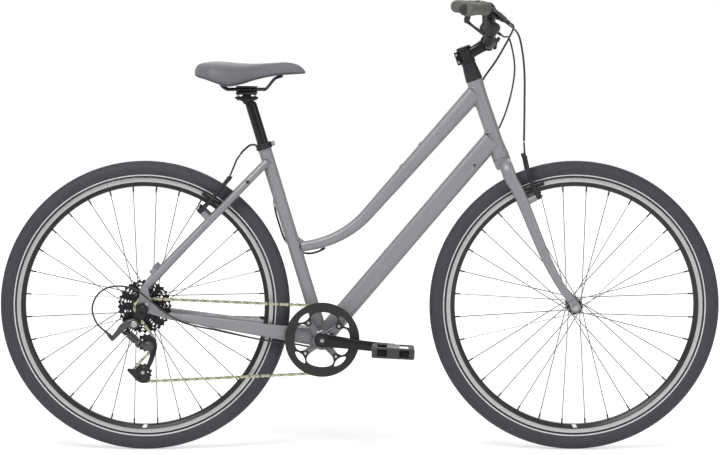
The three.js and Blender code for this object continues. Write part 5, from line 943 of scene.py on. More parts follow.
def dropout(side):
    rim = [*around(stay_end, (9, -6), (9, 6), (-6, 14)),
           *around(seatstay_end, (12, -26), (6, 6), (-10, 2), (-12, -6)),
           *around(rear_axle, (-12, 5), (-12, -10), (-8, -12), (12, -12))]
    eyelets = [circle(near_axle(0, 0, 33), 1.7, 16), circle(near_axle(11, 0, 22.5), 1.7, 16)]
    return plate(rim, side * (dropout_inner + 3), 6, [circle(rear_axle, 5.4, 24), *eyelets], 0.7)


def build_rear_triangle():
    for side, name in both_sides:
        dress("chainstay_" + name, grey_paint, chainstay(side), dropout(side))
        boss = rear_brake_origin(side) - rear_boss_reach * seatstay_out
        face = rear_boss_reach - 5.3
        top_way = (seatstay_place(0.12, 0.2, side) - seatstay_place(0.01, 0, side)).normalized()
        dress("seatstay_" + name, grey_paint, seatstay(side),
              turned([(0, 0), (9.4, 0), (8.4, 9), (8, 14), (8, face), (0, face)], boss, seatstay_out, 32),
              block(seatstay_place(0.9, 0.9, side) + seatstay_out * 11.5, seatstay_down, 16, seatstay_out, 12,
                    5, 1.6),
              weld(seatstay_place(0.03, 0, side), -top_way, leftward, 8.7, 8.7, 2, bracket, seat_up,
                   seat_tube_radius, 1.7))
        piece("rear_brake_post_" + name, "frame", bright_steel,
              rounded_peg(boss + seatstay_out * face, seatstay_out, 10.4, 5))
        plug = seatstay_place(0.165, 0.3, side)
        piece("rack_plug_" + name, "frame", black_plastic,
              rounded_peg(at(plug.x, side * (abs(plug.y) + 6.4), plug.z), leftward * side, 3.4, 4.6, 1.2))
    hanger = around(rear_axle, (11, 10), (4, 14), (-8, 13), (-12, 8), (-29, -30), (-30, -40), (-25, -44),
                    (-15, -43), (11, -8))
    piece("derailleur_hanger", "frame", satin_black,
          plate(hanger, -75.8, 4, [circle(rear_axle, 5.4, 24), circle(near_axle(-21.4, 0, -36), 5.3, 24)],
                0.6))


# Seat

def build_seatpost():
    hole = 20.5
    marks = [turned([(13.62, 0), (13.7, 0.1), (13.7, 0.5), (13.62, 0.6)], post_top - seat_up * (104 - 5 * i),
                    seat_up, 40) for i in range(2)]
    yoke = around(post_head, (hole + 7.2, -1.4), (hole + 7.2, 2.6), (12, 3.6), (-12, 3.6), (-hole - 7.2, 2.6),
                  (-hole - 7.2, -1.4), (-11, -8), (-5, -16), (12, -16), (14, -8))
    dress("seatpost", post_black,
          turned([(0, -350), (13, -350), (13.6, -349), (13.6, -10), (13.1, -6), (11.4, -4), (0, -4)],
                 post_top, seat_up, 56),
          sweep([(post_top - seat_up * 24, 22, 24), (post_top - seat_up * 8, 19, 21), (post_head, 18, 16)],
                32, 2.5),
          rounded_peg(post_head - leftward * 11, leftward, 22, 12, 1.2, 40),
          plate(yoke, 0, 17, soft=1.4), *marks)
    collar_low = bracket + 476 * seat_up
    outer = 19.6
    ears = collar_low + seat_up * 7 + seat_ahead * (outer + 2)
    dress("seat_collar", satin_black,
          turned([(outer - 0.8, 0), (outer, 0.8), (outer, 4), (outer - 0.7, 5), (outer - 0.7, 9.4),
                  (outer, 10.4), (outer, 13.4), (outer - 0.8, 14.2), (16.2, 14.2), (16.2, 0)], collar_low,
                 seat_up, 56),
          *[block(ears + leftward * y, seat_ahead, 11, seat_up, 10, 7, 1.5) for y in (5, -5)])
    bolt = ears + seat_ahead * 1.5 - leftward * 8
    piece("seat_collar_bolt", "frame", bright_steel,
          socket_bolt(bolt, -leftward, 3.8, 4.2), rounded_peg(bolt, leftward, 19, 2.4))
    dress("saddle_clamp", satin_black,
          block(saddle_rail - upward * 8.4, forward, 50, upward, 8, 57, 2.4),
          block(saddle_rail + upward * 5.6, forward, 50, upward, 3, 57, 1.2),
          block(saddle_rail, forward, 49, upward, 8, 34, 1.2))
    bolts = []
    for way in (1, -1):
        spot = saddle_rail + forward * (way * hole) - upward * 26.9
        bolts += [rounded_peg(spot, upward, 34.6, 2.9), rounded_peg(spot, upward, 2.6, 4.5, 0.8),
                  turned([(0, 0), (4.5, 0), (4.3, 0.6), (2.4, 0.9), (0, 0.9)], spot + upward * 34, upward,
                         24)]
    piece("saddle_clamp_bolts", "saddle_clamp", bright_steel, *bolts)


# Stations of the saddle from tail to nose: x, half width, top, lower rim
saddle_stations = [(-394.4, 20, 917.6, 905.6), (-392, 33, 922.6, 903), (-386.4, 45, 929.4, 899.6),
                   (-367, 71, 934.6, 894.5), (-343.6, 82, 936.4, 886.4), (-315.2, 80.4, 935, 878.4),
                   (-283.6, 65.6, 932.2, 882.8), (-249.2, 42.6, 931.2, 893), (-209.6, 27.9, 933.6, 901.4),
                   (-172.6, 22.1, 935.6, 905.2), (-146.2, 19.7, 929, 906.8), (-134.6, 15, 919.6, 907.6),
                   (-130.6, 9, 914.2, 908.4)]
saddle_tail = -394
saddle_section = [(0.8, 0), (0.93, 0.03), (0.985, 0.12), (1, 0.26), (0.99, 0.42), (0.95, 0.58), (0.88, 0.72),
                  (0.78, 0.83), (0.64, 0.915), (0.48, 0.965), (0.32, 0.99), (0.16, 0.985)]


def saddle_rows():
    return smooth_points([[x, 0, 0, half, top, low] for x, half, top, low in saddle_stations], 9)


def saddle_point(row, out, up):
    x, half, top, low = row[0], row[3], row[4], row[5]
    dip = 2.6 * max(0.0, 1 - (out * half / 12) ** 2) * min(1.0, (x - saddle_tail) / 60) if up > 0.8 else 0.0
    return at(x, half * out, mixed(low, top, up) - dip)


def build_saddle():
    rows = saddle_rows()
    section = smooth_points([[out, up, 0] for out, up in saddle_section], 3)
    rings = []
    for row in rows:
        right = [saddle_point(row, -out, up) for out, up, _ in section]
        left = [saddle_point(row, out, up) for out, up, _ in reversed(section)]
        rings.append([*right, saddle_point(row, 0, 0.98), *left])
    cushion = dress("saddle_cushion", cover_side, loft(rings), crease=60)
    cushion.data.materials.append(cover_dark.material)
    edge_height = 0.1
    flags = []
    for face in cushion.data.polygons:
        x, _, z = face.center / MM
        row = min(rows, key=lambda r: abs(r[0] - x))
        height = (z - row[5]) / max(row[4] - row[5], 1)
        flags.append(1 if height < edge_height else 0)
    cushion.data.polygons.foreach_set("material_index", flags)
    base_section = [(-0.88, 2.2), (-0.84, 0.4), (-0.6, -0.2), (0.6, -0.2), (0.84, 0.4), (0.88, 2.2),
                    (0.5, 3.4), (-0.5, 3.4)]
    dress("saddle_base", black_plastic,
          loft([[saddle_point(row, share, 0) + upward * lift for share, lift in base_section]
                for row in rows[6:-4]]), crease=50)
    piece("saddle_rails", "saddle", satin_black, cable(saddle_rail_route(), 3.5, 8, 16))
    seam = stitch_rule()
    for side, name in both_sides:
        edge = [saddle_point(row, side * 0.992, 0.17) + leftward * side * 0.2 for row in rows[8:-6]]
        mesh = seam.made(line_through(edge), {
            "Spacing": 0.0042, "Length": 0.0034, "Thickness": 0.0005, "Finish": thread_grey.material})
        finished("saddle_seam_" + name, mesh, "saddle", thread_grey)
        piece("saddle_piping_" + name, "saddle", cover_dark,
              cable([saddle_point(row, side * 0.97, 0.085) for row in rows[4:-4:3]], 1.1, 3, 8))


def saddle_rail_route():
    """Both rails as one run, from the left rail's rear socket round the nose to the right one's."""
    rail, rear_low, nose = saddle_rail, 886.4, at(-209.6, 0, 901.4)
    left = [at(rail.x - 62.5, 31.9, rear_low - 1), at(rail.x - 56.2, 26.4, mixed(rail.z, rear_low, 0.4)),
            *[at(rail.x + along, 22, rail.z) for along in (-45, -40.5, 0, 40.5, 45)],
            at(nose.x + 7, 12.1, nose.z - 5.6), at(nose.x + 21, 6.6, nose.z - 0.7)]
    return [*left, *[at(p.x, -p.y, p.z) for p in reversed(left)]]


# Wheels

wheel_sides = 160
tyre_profile = [(344.2, 0), (341, 8), (333, 12.4), (326, 14.4), (314, 12.2), (304, 6.5), (303.6, 8),
                (304, 9.6), (307.5, 10.6), (311, 11.6), (314.5, 13.2), (319, 15.4), (324, 16.9), (329, 17.2),
                (333, 16.9), (337, 15.8), (340, 14.4), (341.8, 13.3), (343.4, 12), (344.9, 10.5),
                (346.2, 8.7), (347.3, 6.7), (348.3, 4.4), (348.9, 2), (349, 0)]
rim_profile = [(303, 11), (309.8, 11.3), (310.5, 12), (310.5, 13.5), (309.6, 14), (308.7, 14), (308.3, 13.6),
               (299.2, 13.6), (298.8, 14), (297.6, 13.9), (296.4, 13.1), (294.8, 11.6), (291.5, 9.6),
               (289.6, 7.8), (288.2, 5.4), (287.6, 2.4), (287.5, 0)]


def groove_depth(angle, across):
    """How deep the tread is cut at an angle round the wheel, in degrees, and a place across it."""
    near, far, spacing, deepest = 5, 16.2, 5, 1.5
    reach = abs(across)
    if reach < near or reach > far:
        return 0.0
    way = 1 if across > 0 else -1
    phase = ((angle + way * 1.6 + (reach - near) * 0.42) / spacing) % 1
    cut = max(0.0, 1 - abs(phase - 0.5) / 0.1)
    ends = min(1.0, (reach - near) / 2.5, (far - reach) / 1.5)
    return deepest * min(cut * 1.6, 1) * ends


def tyre_skin(axle, steps=1260):
    whole = [*tyre_profile, *[(radius, -y) for radius, y in reversed(tyre_profile[1:-1])]]
    points, faces = [], []
    for i in range(steps):
        angle = 360 * i / steps
        out = slope(angle)
        for radius, y in whole:
            depth = groove_depth(angle, y) if radius > 333 and not 0 < 345 - radius < 0.9 else 0
            points.append(axle + out * (radius - depth) + leftward * (y - math.copysign(depth * 0.35, y)))
    count = len(whole)
    for i in range(steps):
        here, after = i * count, ((i + 1) % steps) * count
        for k in range(count):
            n = (k + 1) % count
            faces.append((here + k, after + k, after + n, here + n))
    return points, faces


def rim_skin(axle):
    other = [(radius, -y) for radius, y in reversed(rim_profile[:-1])]
    return turned([*rim_profile, *other], axle, leftward, wheel_sides)


def rim_face(radius):
    """Half width of the rim's inner side wall at a radius."""
    return between(rim_profile[:8:-1], radius)


def band(axle, low, high, y):
    """A thin flat ring on a wheel's side."""
    reach = math.copysign(0.25, y)
    return turned([(low, y - reach), (low, y + reach * 0.6), (low + 0.3, y + reach), (high - 0.3, y + reach),
                   (high, y + reach * 0.6), (high, y - reach)], axle, leftward, wheel_sides)


def hub_skin(axle, flange, left, right, body):
    """A hub shell; each half is written once, as (radius, distance out from its flange)."""
    half = [(6.2, 1.5), (flange * 0.55, 1.5), (flange * 0.6, 2.2), (flange - 0.8, 1.5), (flange, 0.7),
            (flange, -0.7), (flange - 0.8, -1.5), (flange * 0.75, -2), (body + 1, -5), (body, -9)]
    profile = [*[(radius, -right - out) for radius, out in half], (body * 0.9, mixed(-right, left, 0.5)),
               *[(radius, left + out) for radius, out in reversed(half)]]
    return turned(profile, axle, leftward, 56)


def axle_skin(axle, half, left_cone, right_cone, nut_left, nut_right):
    """Axle with cones, washers and six-sided nuts."""
    skins = [turned([(0, -nut_right - 12), (4.4, -nut_right - 12), (5, -nut_right - 11.2),
                     (5, nut_left + 11.2), (4.4, nut_left + 12), (0, nut_left + 12)], axle, leftward, 28)]
    skins += [turned([(0, a), (8.4, a), (9, a + 0.6 * way), (9, b - 0.6 * way), (8.2, b), (0, b)], axle,
                     leftward, 28) for way, a, b in ((1, left_cone, half), (-1, -right_cone, -half))]
    for way, face in ((1, nut_left), (-1, -nut_right)):
        rest = face + way * 1.4
        skins += [turned([(0, face), (8.5, face), (8.5, rest), (0, rest)], axle, leftward, 32),
                  turned([(0, rest), (7.9, rest), (7.9, face + way * 7), (7, face + way * 8),
                          (0, face + way * 8)], axle, leftward, 6)]
    return skins


def rim_glint_patch(axle, side, rim_turn):
    """A painted highlight: a pale patch on the rim's inner side wall, below the hub, leaning one way."""
    low, high = 288.9, 295.8
    rows = []
    for reach in (low, 290.4, 292, 293.8, high):
        lean = mixed(0, -0.7, (reach - low) / (high - low))
        rows.append([polar(axle, reach, math.radians(270 + (lean + shift) * rim_turn))
                     + leftward * side * (rim_face(reach) + raised)
                     for shift, raised in ((-0.95, 0.3), (0.95, 0.3), (0.95, -0.5), (-0.95, -0.5))])
    return loft(rows)


def build_wheel(name, axle, flange, left, right, body, rim_turn=1):
    ride = name + "_wheel"
    dress(name + "_tyre", tyre_black, tyre_skin(axle), crease=50)
    for side, label in reversed(both_sides):
        piece(name + "_tyre_stripe_" + label, ride, stripe_white,
              turned([(313.4, 12.3 * side), (313.6, 13.1 * side), (315.9, 14.2 * side), (316.4, 14.2 * side),
                      (316.4, 13.4 * side)], axle, leftward, wheel_sides))
        piece(name + "_brake_track_" + label, ride, track_metal, band(axle, 299, 308.5, 13.75 * side))
        # The pale patch at the foot of each rim is a painted highlight, not a mark on the rim
        piece(name + "_rim_patch_" + label, ride, rim_glint_paint, rim_glint_patch(axle, side, rim_turn))
    dress(name + "_rim", rim_black, rim_skin(axle))
    spokes = spoke_rule()
    sizes = {"Count": 32, "Rim radius": 0.2885, "Hub radius": (flange - 3) * MM, "Left offset": left * MM,
             "Right offset": right * MM, "Cross angle": math.radians(67.5)}
    bare = bpy.data.meshes.new("bare")
    for label, finish, thickness, start, end in (("_spokes", spoke_steel, 0.00115, 0.0, 0.975),
                                                 ("_nipples", black_alloy, 0.0019, 0.955, 0.998),
                                                 ("_spoke_heads", bright_steel, 0.0017, -0.004, 0.006)):
        mesh = spokes.made(bare, {**sizes, "Thickness": thickness, "From": start, "To": end,
                                  "Finish": finish.material})
        mesh.transform(Matrix.Translation(axle * MM))
        finished(name + label, mesh, ride, finish)
    dress(name + "_hub", black_alloy, hub_skin(axle, flange, left, right, body))


def build_axles():
    dress("rear_axle", bright_steel, *axle_skin(rear_axle, 67.5, 35.8, 61.6, 74.1, 78.1))
    dress("front_axle", bright_steel, *axle_skin(front_axle, 50, 36.8, 36.8, 56.6, 56.6))


# Drive

pitch = 12.7
root_depth = 3.9


def pitch_radius(teeth):
    return pitch / (2 * math.sin(math.pi / teeth))


ring_teeth = 40
pulley_teeth = 11
cog_teeth = [11, 13, 15, 18, 21, 24, 28, 32]
cog_spacing = 4.8
ring_centre = bracket - leftward * ring_plane
guide_centre = near_axle(5, -cog_plane, -84)
tension_centre = near_axle(-2.6, -cog_plane, -155.4)
cog_centre = near_axle(0, -cog_plane, 0)
# The wheels that the chain runs round: centre, pitch radius and the way it bends
chain_wheels = [(ring_centre, pitch_radius(ring_teeth), 1), (tension_centre, pitch_radius(pulley_teeth), 1),
                (guide_centre, pitch_radius(pulley_teeth), -1), (cog_centre, pitch_radius(cog_teeth[0]), 1)]


def tangent_between(a, b):
    dx, dz = b[0].x - a[0].x, b[0].z - a[0].z
    direction = math.atan2(dz, dx) - math.asin((a[2] * a[1] - b[2] * b[1]) / math.hypot(dx, dz))
    normal = direction + math.pi / 2
    return normal + (0 if a[2] > 0 else math.pi), normal + (0 if b[2] > 0 else math.pi)


def on_wheel(wheel, angle):
    return polar(wheel[0], wheel[1], angle)


def chain_line(fine=160):
    """Fine points of the closed line that the chain's pins follow."""
    count = len(chain_wheels)
    spans = [tangent_between(chain_wheels[i], chain_wheels[(i + 1) % count]) for i in range(count)]
    line = []
    for i, wheel in enumerate(chain_wheels):
        meet, leave, step = spans[i - 1][1], spans[i][0], -wheel[2]
        turn = math.fmod(math.fmod((leave - meet) * step, 2 * math.pi) + 4 * math.pi, 2 * math.pi)
        line += [on_wheel(wheel, meet + step * turn * k / fine) for k in range(fine)]
        start = on_wheel(wheel, leave)
        end = on_wheel(chain_wheels[(i + 1) % count], spans[i][1])
        line += [start.lerp(end, k / fine) for k in range(fine)]
    return line


def chain_pins():
    line = chain_line()
    line.append(line[0])
    count = 2 * round(run_length(line) / (2 * pitch))
    return even_points(line, count)[:-1]


pins = chain_pins()


def gap_phase(wheel, towards):
    """The angle of the pin that lies nearest the middle of a wheel's wrapped part."""
    centre, radius, _ = wheel
    offsets = [(pin.x - centre.x, pin.z - centre.z) for pin in pins]
    x, z = max((offset for offset in offsets if abs(math.hypot(*offset) - radius) < 0.95),
               key=lambda offset: offset[0] * math.cos(towards) + offset[1] * math.sin(towards))
    return math.atan2(z, x)


def sprocket_edge(teeth, phase):
    """A sprocket's edge as (angle, radius): round gaps and narrow rounded teeth."""
    radius = pitch_radius(teeth)
    tip = radius * math.cos(math.pi / teeth) + 0.9
    tooth = ((-0.16, radius - 3.3), (0, radius - root_depth), (0.16, radius - 3.3), (0.3, radius - 1.2),
             (0.43, tip - 0.3), (0.5, tip), (0.57, tip - 0.3), (0.7, radius - 1.2))
    return [(phase + (i + step) * 2 * math.pi / teeth, reach) for i in range(teeth) for step, reach in tooth]


def link_skins(outer):
    """One chain link, centred between its two pins, along X."""
    half, round_end = pitch / 2, 4.0
    waist, y = (2.3, 2.65) if outer else (2.6, 1.75)
    rim = []
    for way in (1, -1):
        for angle in (-78, -52, -26, 0, 26, 52, 78):
            turn = math.radians(angle + (0 if way > 0 else 180))
            rim.append((way * half + round_end * math.cos(turn), round_end * math.sin(turn)))
        rim.append((0, way * waist))
    reach, radius, sides = (3.35, 1.75, 8) if outer else (1.5, 3.3, 10)
    pin = [(0, -reach), (radius, -reach), (radius, reach), (0, reach)]
    return [*[plate(rim, way * y, 0.85, soft=0.15) for way in (1, -1)],
            *[turned(pin, at(way * half, 0, 0), leftward, sides) for way in (1, -1)]]


def build_chain():
    count = len(pins)
    middles = [pins[i].lerp(pins[(i + 1) % count], 0.5) for i in range(count)]
    rule = links_rule()
    for outer, finish, name, nodes in ((True, chain_outer, "chain_outer_links", ("chain",)),
                                       (False, chain_inner, "chain_inner_links", ())):
        sample = bpy.data.objects.new("sample_link", mesh_of("sample_link", link_skins(outer)))
        mesh = rule.made(line_through(middles, loop=True), {
            "Count": count, "Thing": sample, "Start": 0 if outer else 1, "Finish": finish.material})
        bpy.data.objects.remove(sample)
        finished(name, mesh, "frame", finish, nodes)


def cog_rows(teeth, phase, shift):
    """Rows of a sprocket; the larger ones have long windows between their bore and their teeth."""
    root = pitch_radius(teeth) - root_depth
    bore = 13.9 if teeth == cog_teeth[0] else 17
    low, top = 23.5, root - 3
    windows = 11
    rows = []
    for angle, reach in sprocket_edge(teeth, phase):
        if root > 34:
            near = abs(((angle - shift) * windows / (2 * math.pi)) % 1 - 0.5) / 0.33
            half = (top - low) / 2 * max(0.0, 1 - near ** 4) ** 0.5
            middle = mixed(low, top, 0.5)
            rows.append((angle, bore, middle - half, middle + half, reach))
        else:
            rows.append((angle, bore, root - 2, root - 2, reach))
    return rows


def build_cassette():
    phases = [gap_phase(chain_wheels[3], math.pi * 0.85), *[0.1 * i for i in range(1, 8)]]
    skins = []
    for i, (teeth, phase) in enumerate(zip(cog_teeth, phases)):
        centre = near_axle(0, cog_spacing * i - cog_plane, 0)
        skins.append(slotted_ring(centre, 1.8, cog_rows(teeth, phase, 0.05 * i), 0.3))
        if i:
            skins.append(turned([(17, 0), (20.6, 0), (20.6, 3), (17, 3)], centre - leftward * 3.9, leftward,
                                40))
    dress("cassette", dark_steel, *skins)
    piece("freehub_body", "cassette", satin_black,
          turned([(6.2, -61.3), (12.8, -61.3), (13.4, -60.7), (13.4, -55.3), (16.6, -55.3), (16.6, -24.7),
                  (16, -24.2), (6.2, -24.2)], rear_axle, leftward, 40))
    piece("cassette_lock_ring", "cassette", dark_steel,
          turned([(13.8, -1.6), (16, -1.6), (16.4, -1), (16.4, 0.2), (13.8, 0.2)],
                 cog_centre - leftward * 0.9, leftward, 48))


crank_face = 72.5
pedal_flange = 81.5
ring_angles = [math.radians(39 + 90 * i) for i in range(4)]


def near_bolt(angle):
    """How far an angle is from the next ring bolt."""
    return min(abs((angle - bolt + math.pi) % (2 * math.pi) - math.pi) for bolt in ring_angles)


# How far a bolt's tab reaches in from the ring's inner edge, by the angle from the bolt
ring_dips = [(0, 22), (0.08, 21.4), (0.13, 19), (0.165, 14), (0.19, 9), (0.24, 4.5), (0.32, 1.5), (0.45, 0),
             (4, 0)]


def ring_rows(edge):
    """Rows of the chainring or its guard: tabs at the bolts, and an eye-shaped slot outside each tab."""
    rows = []
    for angle, reach in edge:
        near = near_bolt(angle)
        share = max(0.0, 1 - (near / 0.26) ** 2) ** 0.7
        rows.append((angle, 66.4 - between(ring_dips, near), 70.4 - 10.6 * share, 70.4 + 3.6 * share, reach))
    return rows


def spider_arm(angle, plane):
    """One flat arm of the spider with a rib along each edge."""
    out, side = heading(angle), at(-math.sin(angle), 0, math.cos(angle))
    middle = at(bracket.x, plane, bracket.z)
    ribs = [sweep([(middle - leftward * 2 + out * a + side * (way * b), 4.4, 4.2)
                   for a, b in ((12, 9.4), (26, 7), (40, 5.4), (49, 5.2))], 16, 2.6, steps=4)
            for way in (1, -1)]
    half = [(10, 12), (24, 9), (40, 7.4), (52, 8), (57, 6)]
    rim = [bracket + out * a + side * b for a, b in (*half, (59.6, 0), *[(a, -b) for a, b in reversed(half)])]
    return [*ribs, plate(in_plane(rim), plane - 0.2, 3.6, soft=1)]


def crank_tip(side):
    return bracket + crank_ahead * (crank_length * -side)


def crank_arm(side):
    """A crank's arm with its boss on the spindle and its eye for the pedal."""
    stations = [(0, 66, 33, 12.6), (0.14, 66, 30, 13), (0.3, 67, 27, 12.4), (0.55, 72.3, 24, 11.6),
                (0.8, 75, 23.6, 12.4), (0.95, 75, 25, 13), (1.03, 75, 21, 12.4), (1.065, 75, 11, 10)]
    arm = sweep([(bracket + crank_ahead * (-side * crank_length * share) + leftward * (side * y), wide, high)
                 for share, y, high, wide in stations], 36, 3.2, steps=6)
    inner, outer = side * 47.4, side * crank_face
    boss = turned([(8.8, inner), (17.6, inner), (18.6, inner + side * 2), (19, outer - side * 3),
                   (17.6, outer), (8.8, outer)], bracket, leftward, 48)
    eye = [(0, 68.6), (12.2, 68.6), (12.6, 69.4), (12.6, 81), (11.8, 81.6), (0, 81.6)]
    return [arm, boss, turned([(radius, side * y) for radius, y in eye], crank_tip(side), leftward, 40)]


def build_crankset():
    dress("chainring", black_alloy,
          slotted_ring(ring_centre, ring_thickness,
                       ring_rows(sprocket_edge(ring_teeth, gap_phase(chain_wheels[0], 0))), 0.3))
    spider_plane = -(ring_plane + ring_thickness / 2 + fit + 1.8)
    guard_centre = at(bracket.x, spider_plane - 1.8 - fit - 1.2, bracket.z)
    guard_edge = [(math.radians(0.75 * i), 89.6) for i in range(480)]
    dress("chainguard", guard_plastic, slotted_ring(guard_centre, 2.4, ring_rows(guard_edge), 0.7))
    piece("crank_spider", "crank", spider_grey,
          *[skin for angle in ring_angles for skin in spider_arm(angle, spider_plane)],
          turned([(9, -1.8), (25, -1.8), (25.6, -1), (24, 2.2), (20, 4.5), (9, 6)],
                 at(bracket.x, spider_plane, bracket.z), -leftward, 56))
    for side, name in both_sides:
        dress("crank_arm_" + name, post_black, *crank_arm(side))
        axle = [(0, 66.5), (4.6, 66.5), (5, 67), (5, pedal_flange + 0.3), (8, pedal_flange + 0.3),
                (8, pedal_flange + 4.7), (5, pedal_flange + 4.7), (5, pedal_flange + 88),
                (0, pedal_flange + 88)]
        piece("pedal_axle_" + name, "crank", bright_steel,
              turned([(radius, side * y) for radius, y in axle], crank_tip(side), leftward, 28))
        outward = leftward * side
        face = bracket + outward * crank_face
        piece("crank_cap_" + name, "crank", satin_black,
              turned([(5, -1), (11.2, -1), (11.2, 1.2), (10.4, 2.2), (5, 2.2)], face, outward, 40))
        piece("crank_bolt_" + name, "crank", bright_steel, socket_bolt(face - outward, outward, 4.8, 2.4))
    piece("crank_spindle", "crank", bright_steel,
          turned([(0, -60), (8.5, -60), (8.5, 60), (0, 60)], bracket, leftward, 32))
    collars, bolts = [], []
    for angle in ring_angles:
        foot = polar(guard_centre - leftward * 1.1, 52, angle)
        collars += [turned([(0, 0), (6.6, 0), (6.8, 0.4), (6, 1.4), (0, 1.4)], foot, -leftward, 28),
                    rounded_peg(foot, leftward, 8.8, 3.9)]
        bolts.append(socket_bolt(foot - leftward, -leftward, 3.4, 1.3))
    piece("ring_collars", "crank", satin_black, *collars)
    piece("ring_bolts", "crank", bright_steel, *bolts)
    half = [(8.9, 34.3), (8.9, 37.2), (18.4, 37.2), (19, 36.6), (19, 34.3), (17.3, 34.3)]
    piece("bearing_cartridge_finished", "frame", dark_steel,
          turned([*half, (17.3, -34.3), (19, -34.3), (19, -36.6), (18.4, -37.2), (8.9, -37.2), (8.9, -34.3)],
                 bracket, leftward, 40), nodes=("bottom_bracket_cartridge",))


def box_line(centre, ahead, up, shape, grow):
    """Points round a box with round corners; shape is (place along, half length, half height, corner)."""
    along, half_long, half_high, corner = shape
    points = []
    for turn, (a, b) in enumerate(((1, 1), (-1, 1), (-1, -1), (1, -1))):
        for k in range(5):
            angle = math.radians(90 * turn + 22.5 * k)
            points.append(centre
                          + ahead * (along + a * (half_long - corner) + (corner + grow) * math.cos(angle))
                          + up * (b * (half_high - corner) + (corner + grow) * math.sin(angle)))
    return points


def window_frame(centre, ahead, up, outer, inner, thickness, soft=1.0):
    """A plate round one window, with softened edges."""
    high = thickness / 2
    lines = [(outer, -soft, high), (outer, 0, high - soft), (outer, 0, soft - high), (outer, -soft, -high),
             (inner, soft, -high), (inner, 0, soft - high), (inner, 0, high - soft), (inner, soft, high)]
    return loft([[point + leftward * lift for point in box_line(centre, ahead, up, shape, grow)]
                 for shape, grow, lift in lines], loop=True)


def build_pedals():
    ahead, up = slope(-3), slope(87)
    for side, name in both_sides:
        outward = leftward * side
        middle = crank_tip(side) + outward * (pedal_flange + 49)
        skins = [rounded_peg(middle - leftward * 43.6, leftward, 87.2, 10.6, 1.5, 36),
                 block(middle + outward * 41.6, ahead, 27, up, 19, 5.6, 1.4)]
        skins += [block(middle + outward * 44.4 + up * (5 * (k - 1)), ahead, 17, up, 1.8, 1, 0.4)
                  for k in range(3)]
        # The near-black plates behind the windows are painted shade for the pedal's dark inside
        backs = []
        for way in (1, -1):
            rail = middle + ahead * (way * 43.5)
            outer = (way * 25.4, 25.5, 12.8, 4.6)
            windows = ((39, (way * 27.5, 12.6, 8, 2.4), 10), (-40, (way * 27, 15.6, 8.8, 2.4), 8))
            skins += [window_frame(middle + outward * out, ahead, up, outer, inner, thickness, 1.3)
                      for out, inner, thickness in windows]
            skins += [block(rail, ahead, 13.6, up, 24.6, 84, 3.4),
                      block(rail + ahead * (way * 5), ahead, 3.6, up, 17, 60, 1.2),
                      block(middle + up * (way * 11.6), ahead, 30, up, 2.4, 84, 0.9)]
            backs.append(block(middle + outward * 36 + ahead * (way * 27.5), ahead, 28, up, 18, 2.4, 0.4))
            skins += [block(rail + leftward * (-36 + 12 * k) + up * (lift * 12.2), ahead, 9, up, 2.2, 4.4,
                            0.7) for k in range(7) for lift in (1, -1)]
        shines = [block(middle + ahead * (way * 50.1), ahead, 1.4, up, 11, 44, 0.5) for way in (1, -1)]
        dress("pedal_" + name, pedal_black, *skins)
        # Painted shade behind the windows
        piece("pedal_window_backs_" + name, "pedal_" + name, window_shade_black, *backs)
        piece("pedal_reflectors_" + name, "pedal_" + name, pedal_reflector, *shines)


def band_outline(spine):
    """The (x, z) outline of a flat band along a curve of (x, z, width) points, given from the rear axle."""
    rows = smooth_points([[x, 0, z, wide] for x, z, wide in spine], 5)
    places = [Vector(row[:3]) for row in rows]
    edges = ([], [])
    for place, ahead, row in zip(places, headings(places), rows):
        for line, way in zip(edges, (1, -1)):
            line.append(rear_axle + place + leftward.cross(ahead) * (way * row[3] / 2))
    return in_plane([*edges[0], *reversed(edges[1])])


cage_spine = [(-1, -77, 8), (8, -73.5, 11), (17, -74.5, 13), (23, -81, 14), (25, -92, 14.5), (22.6, -107, 13),
              (18, -123, 12), (12, -138, 10.5), (3, -150, 12), (-4, -158, 11)]
inner_cage_spine = [(5, -84, 12), (14, -88, 11), (20, -98, 10), (20, -110, 10), (16, -125, 10),
                    (10, -140, 10), (2, -150, 11), (-4, -157, 11)]
cage_wing = [(8, 5), (14, -5), (18.5, -15), (13, -22.5), (0, -25.6), (-14, -20), (-24, -9.5), (-33, 0),
             (-37, 4.6), (-36, 9.4), (-28, 9.4), (-18, 8), (-7, 9)]


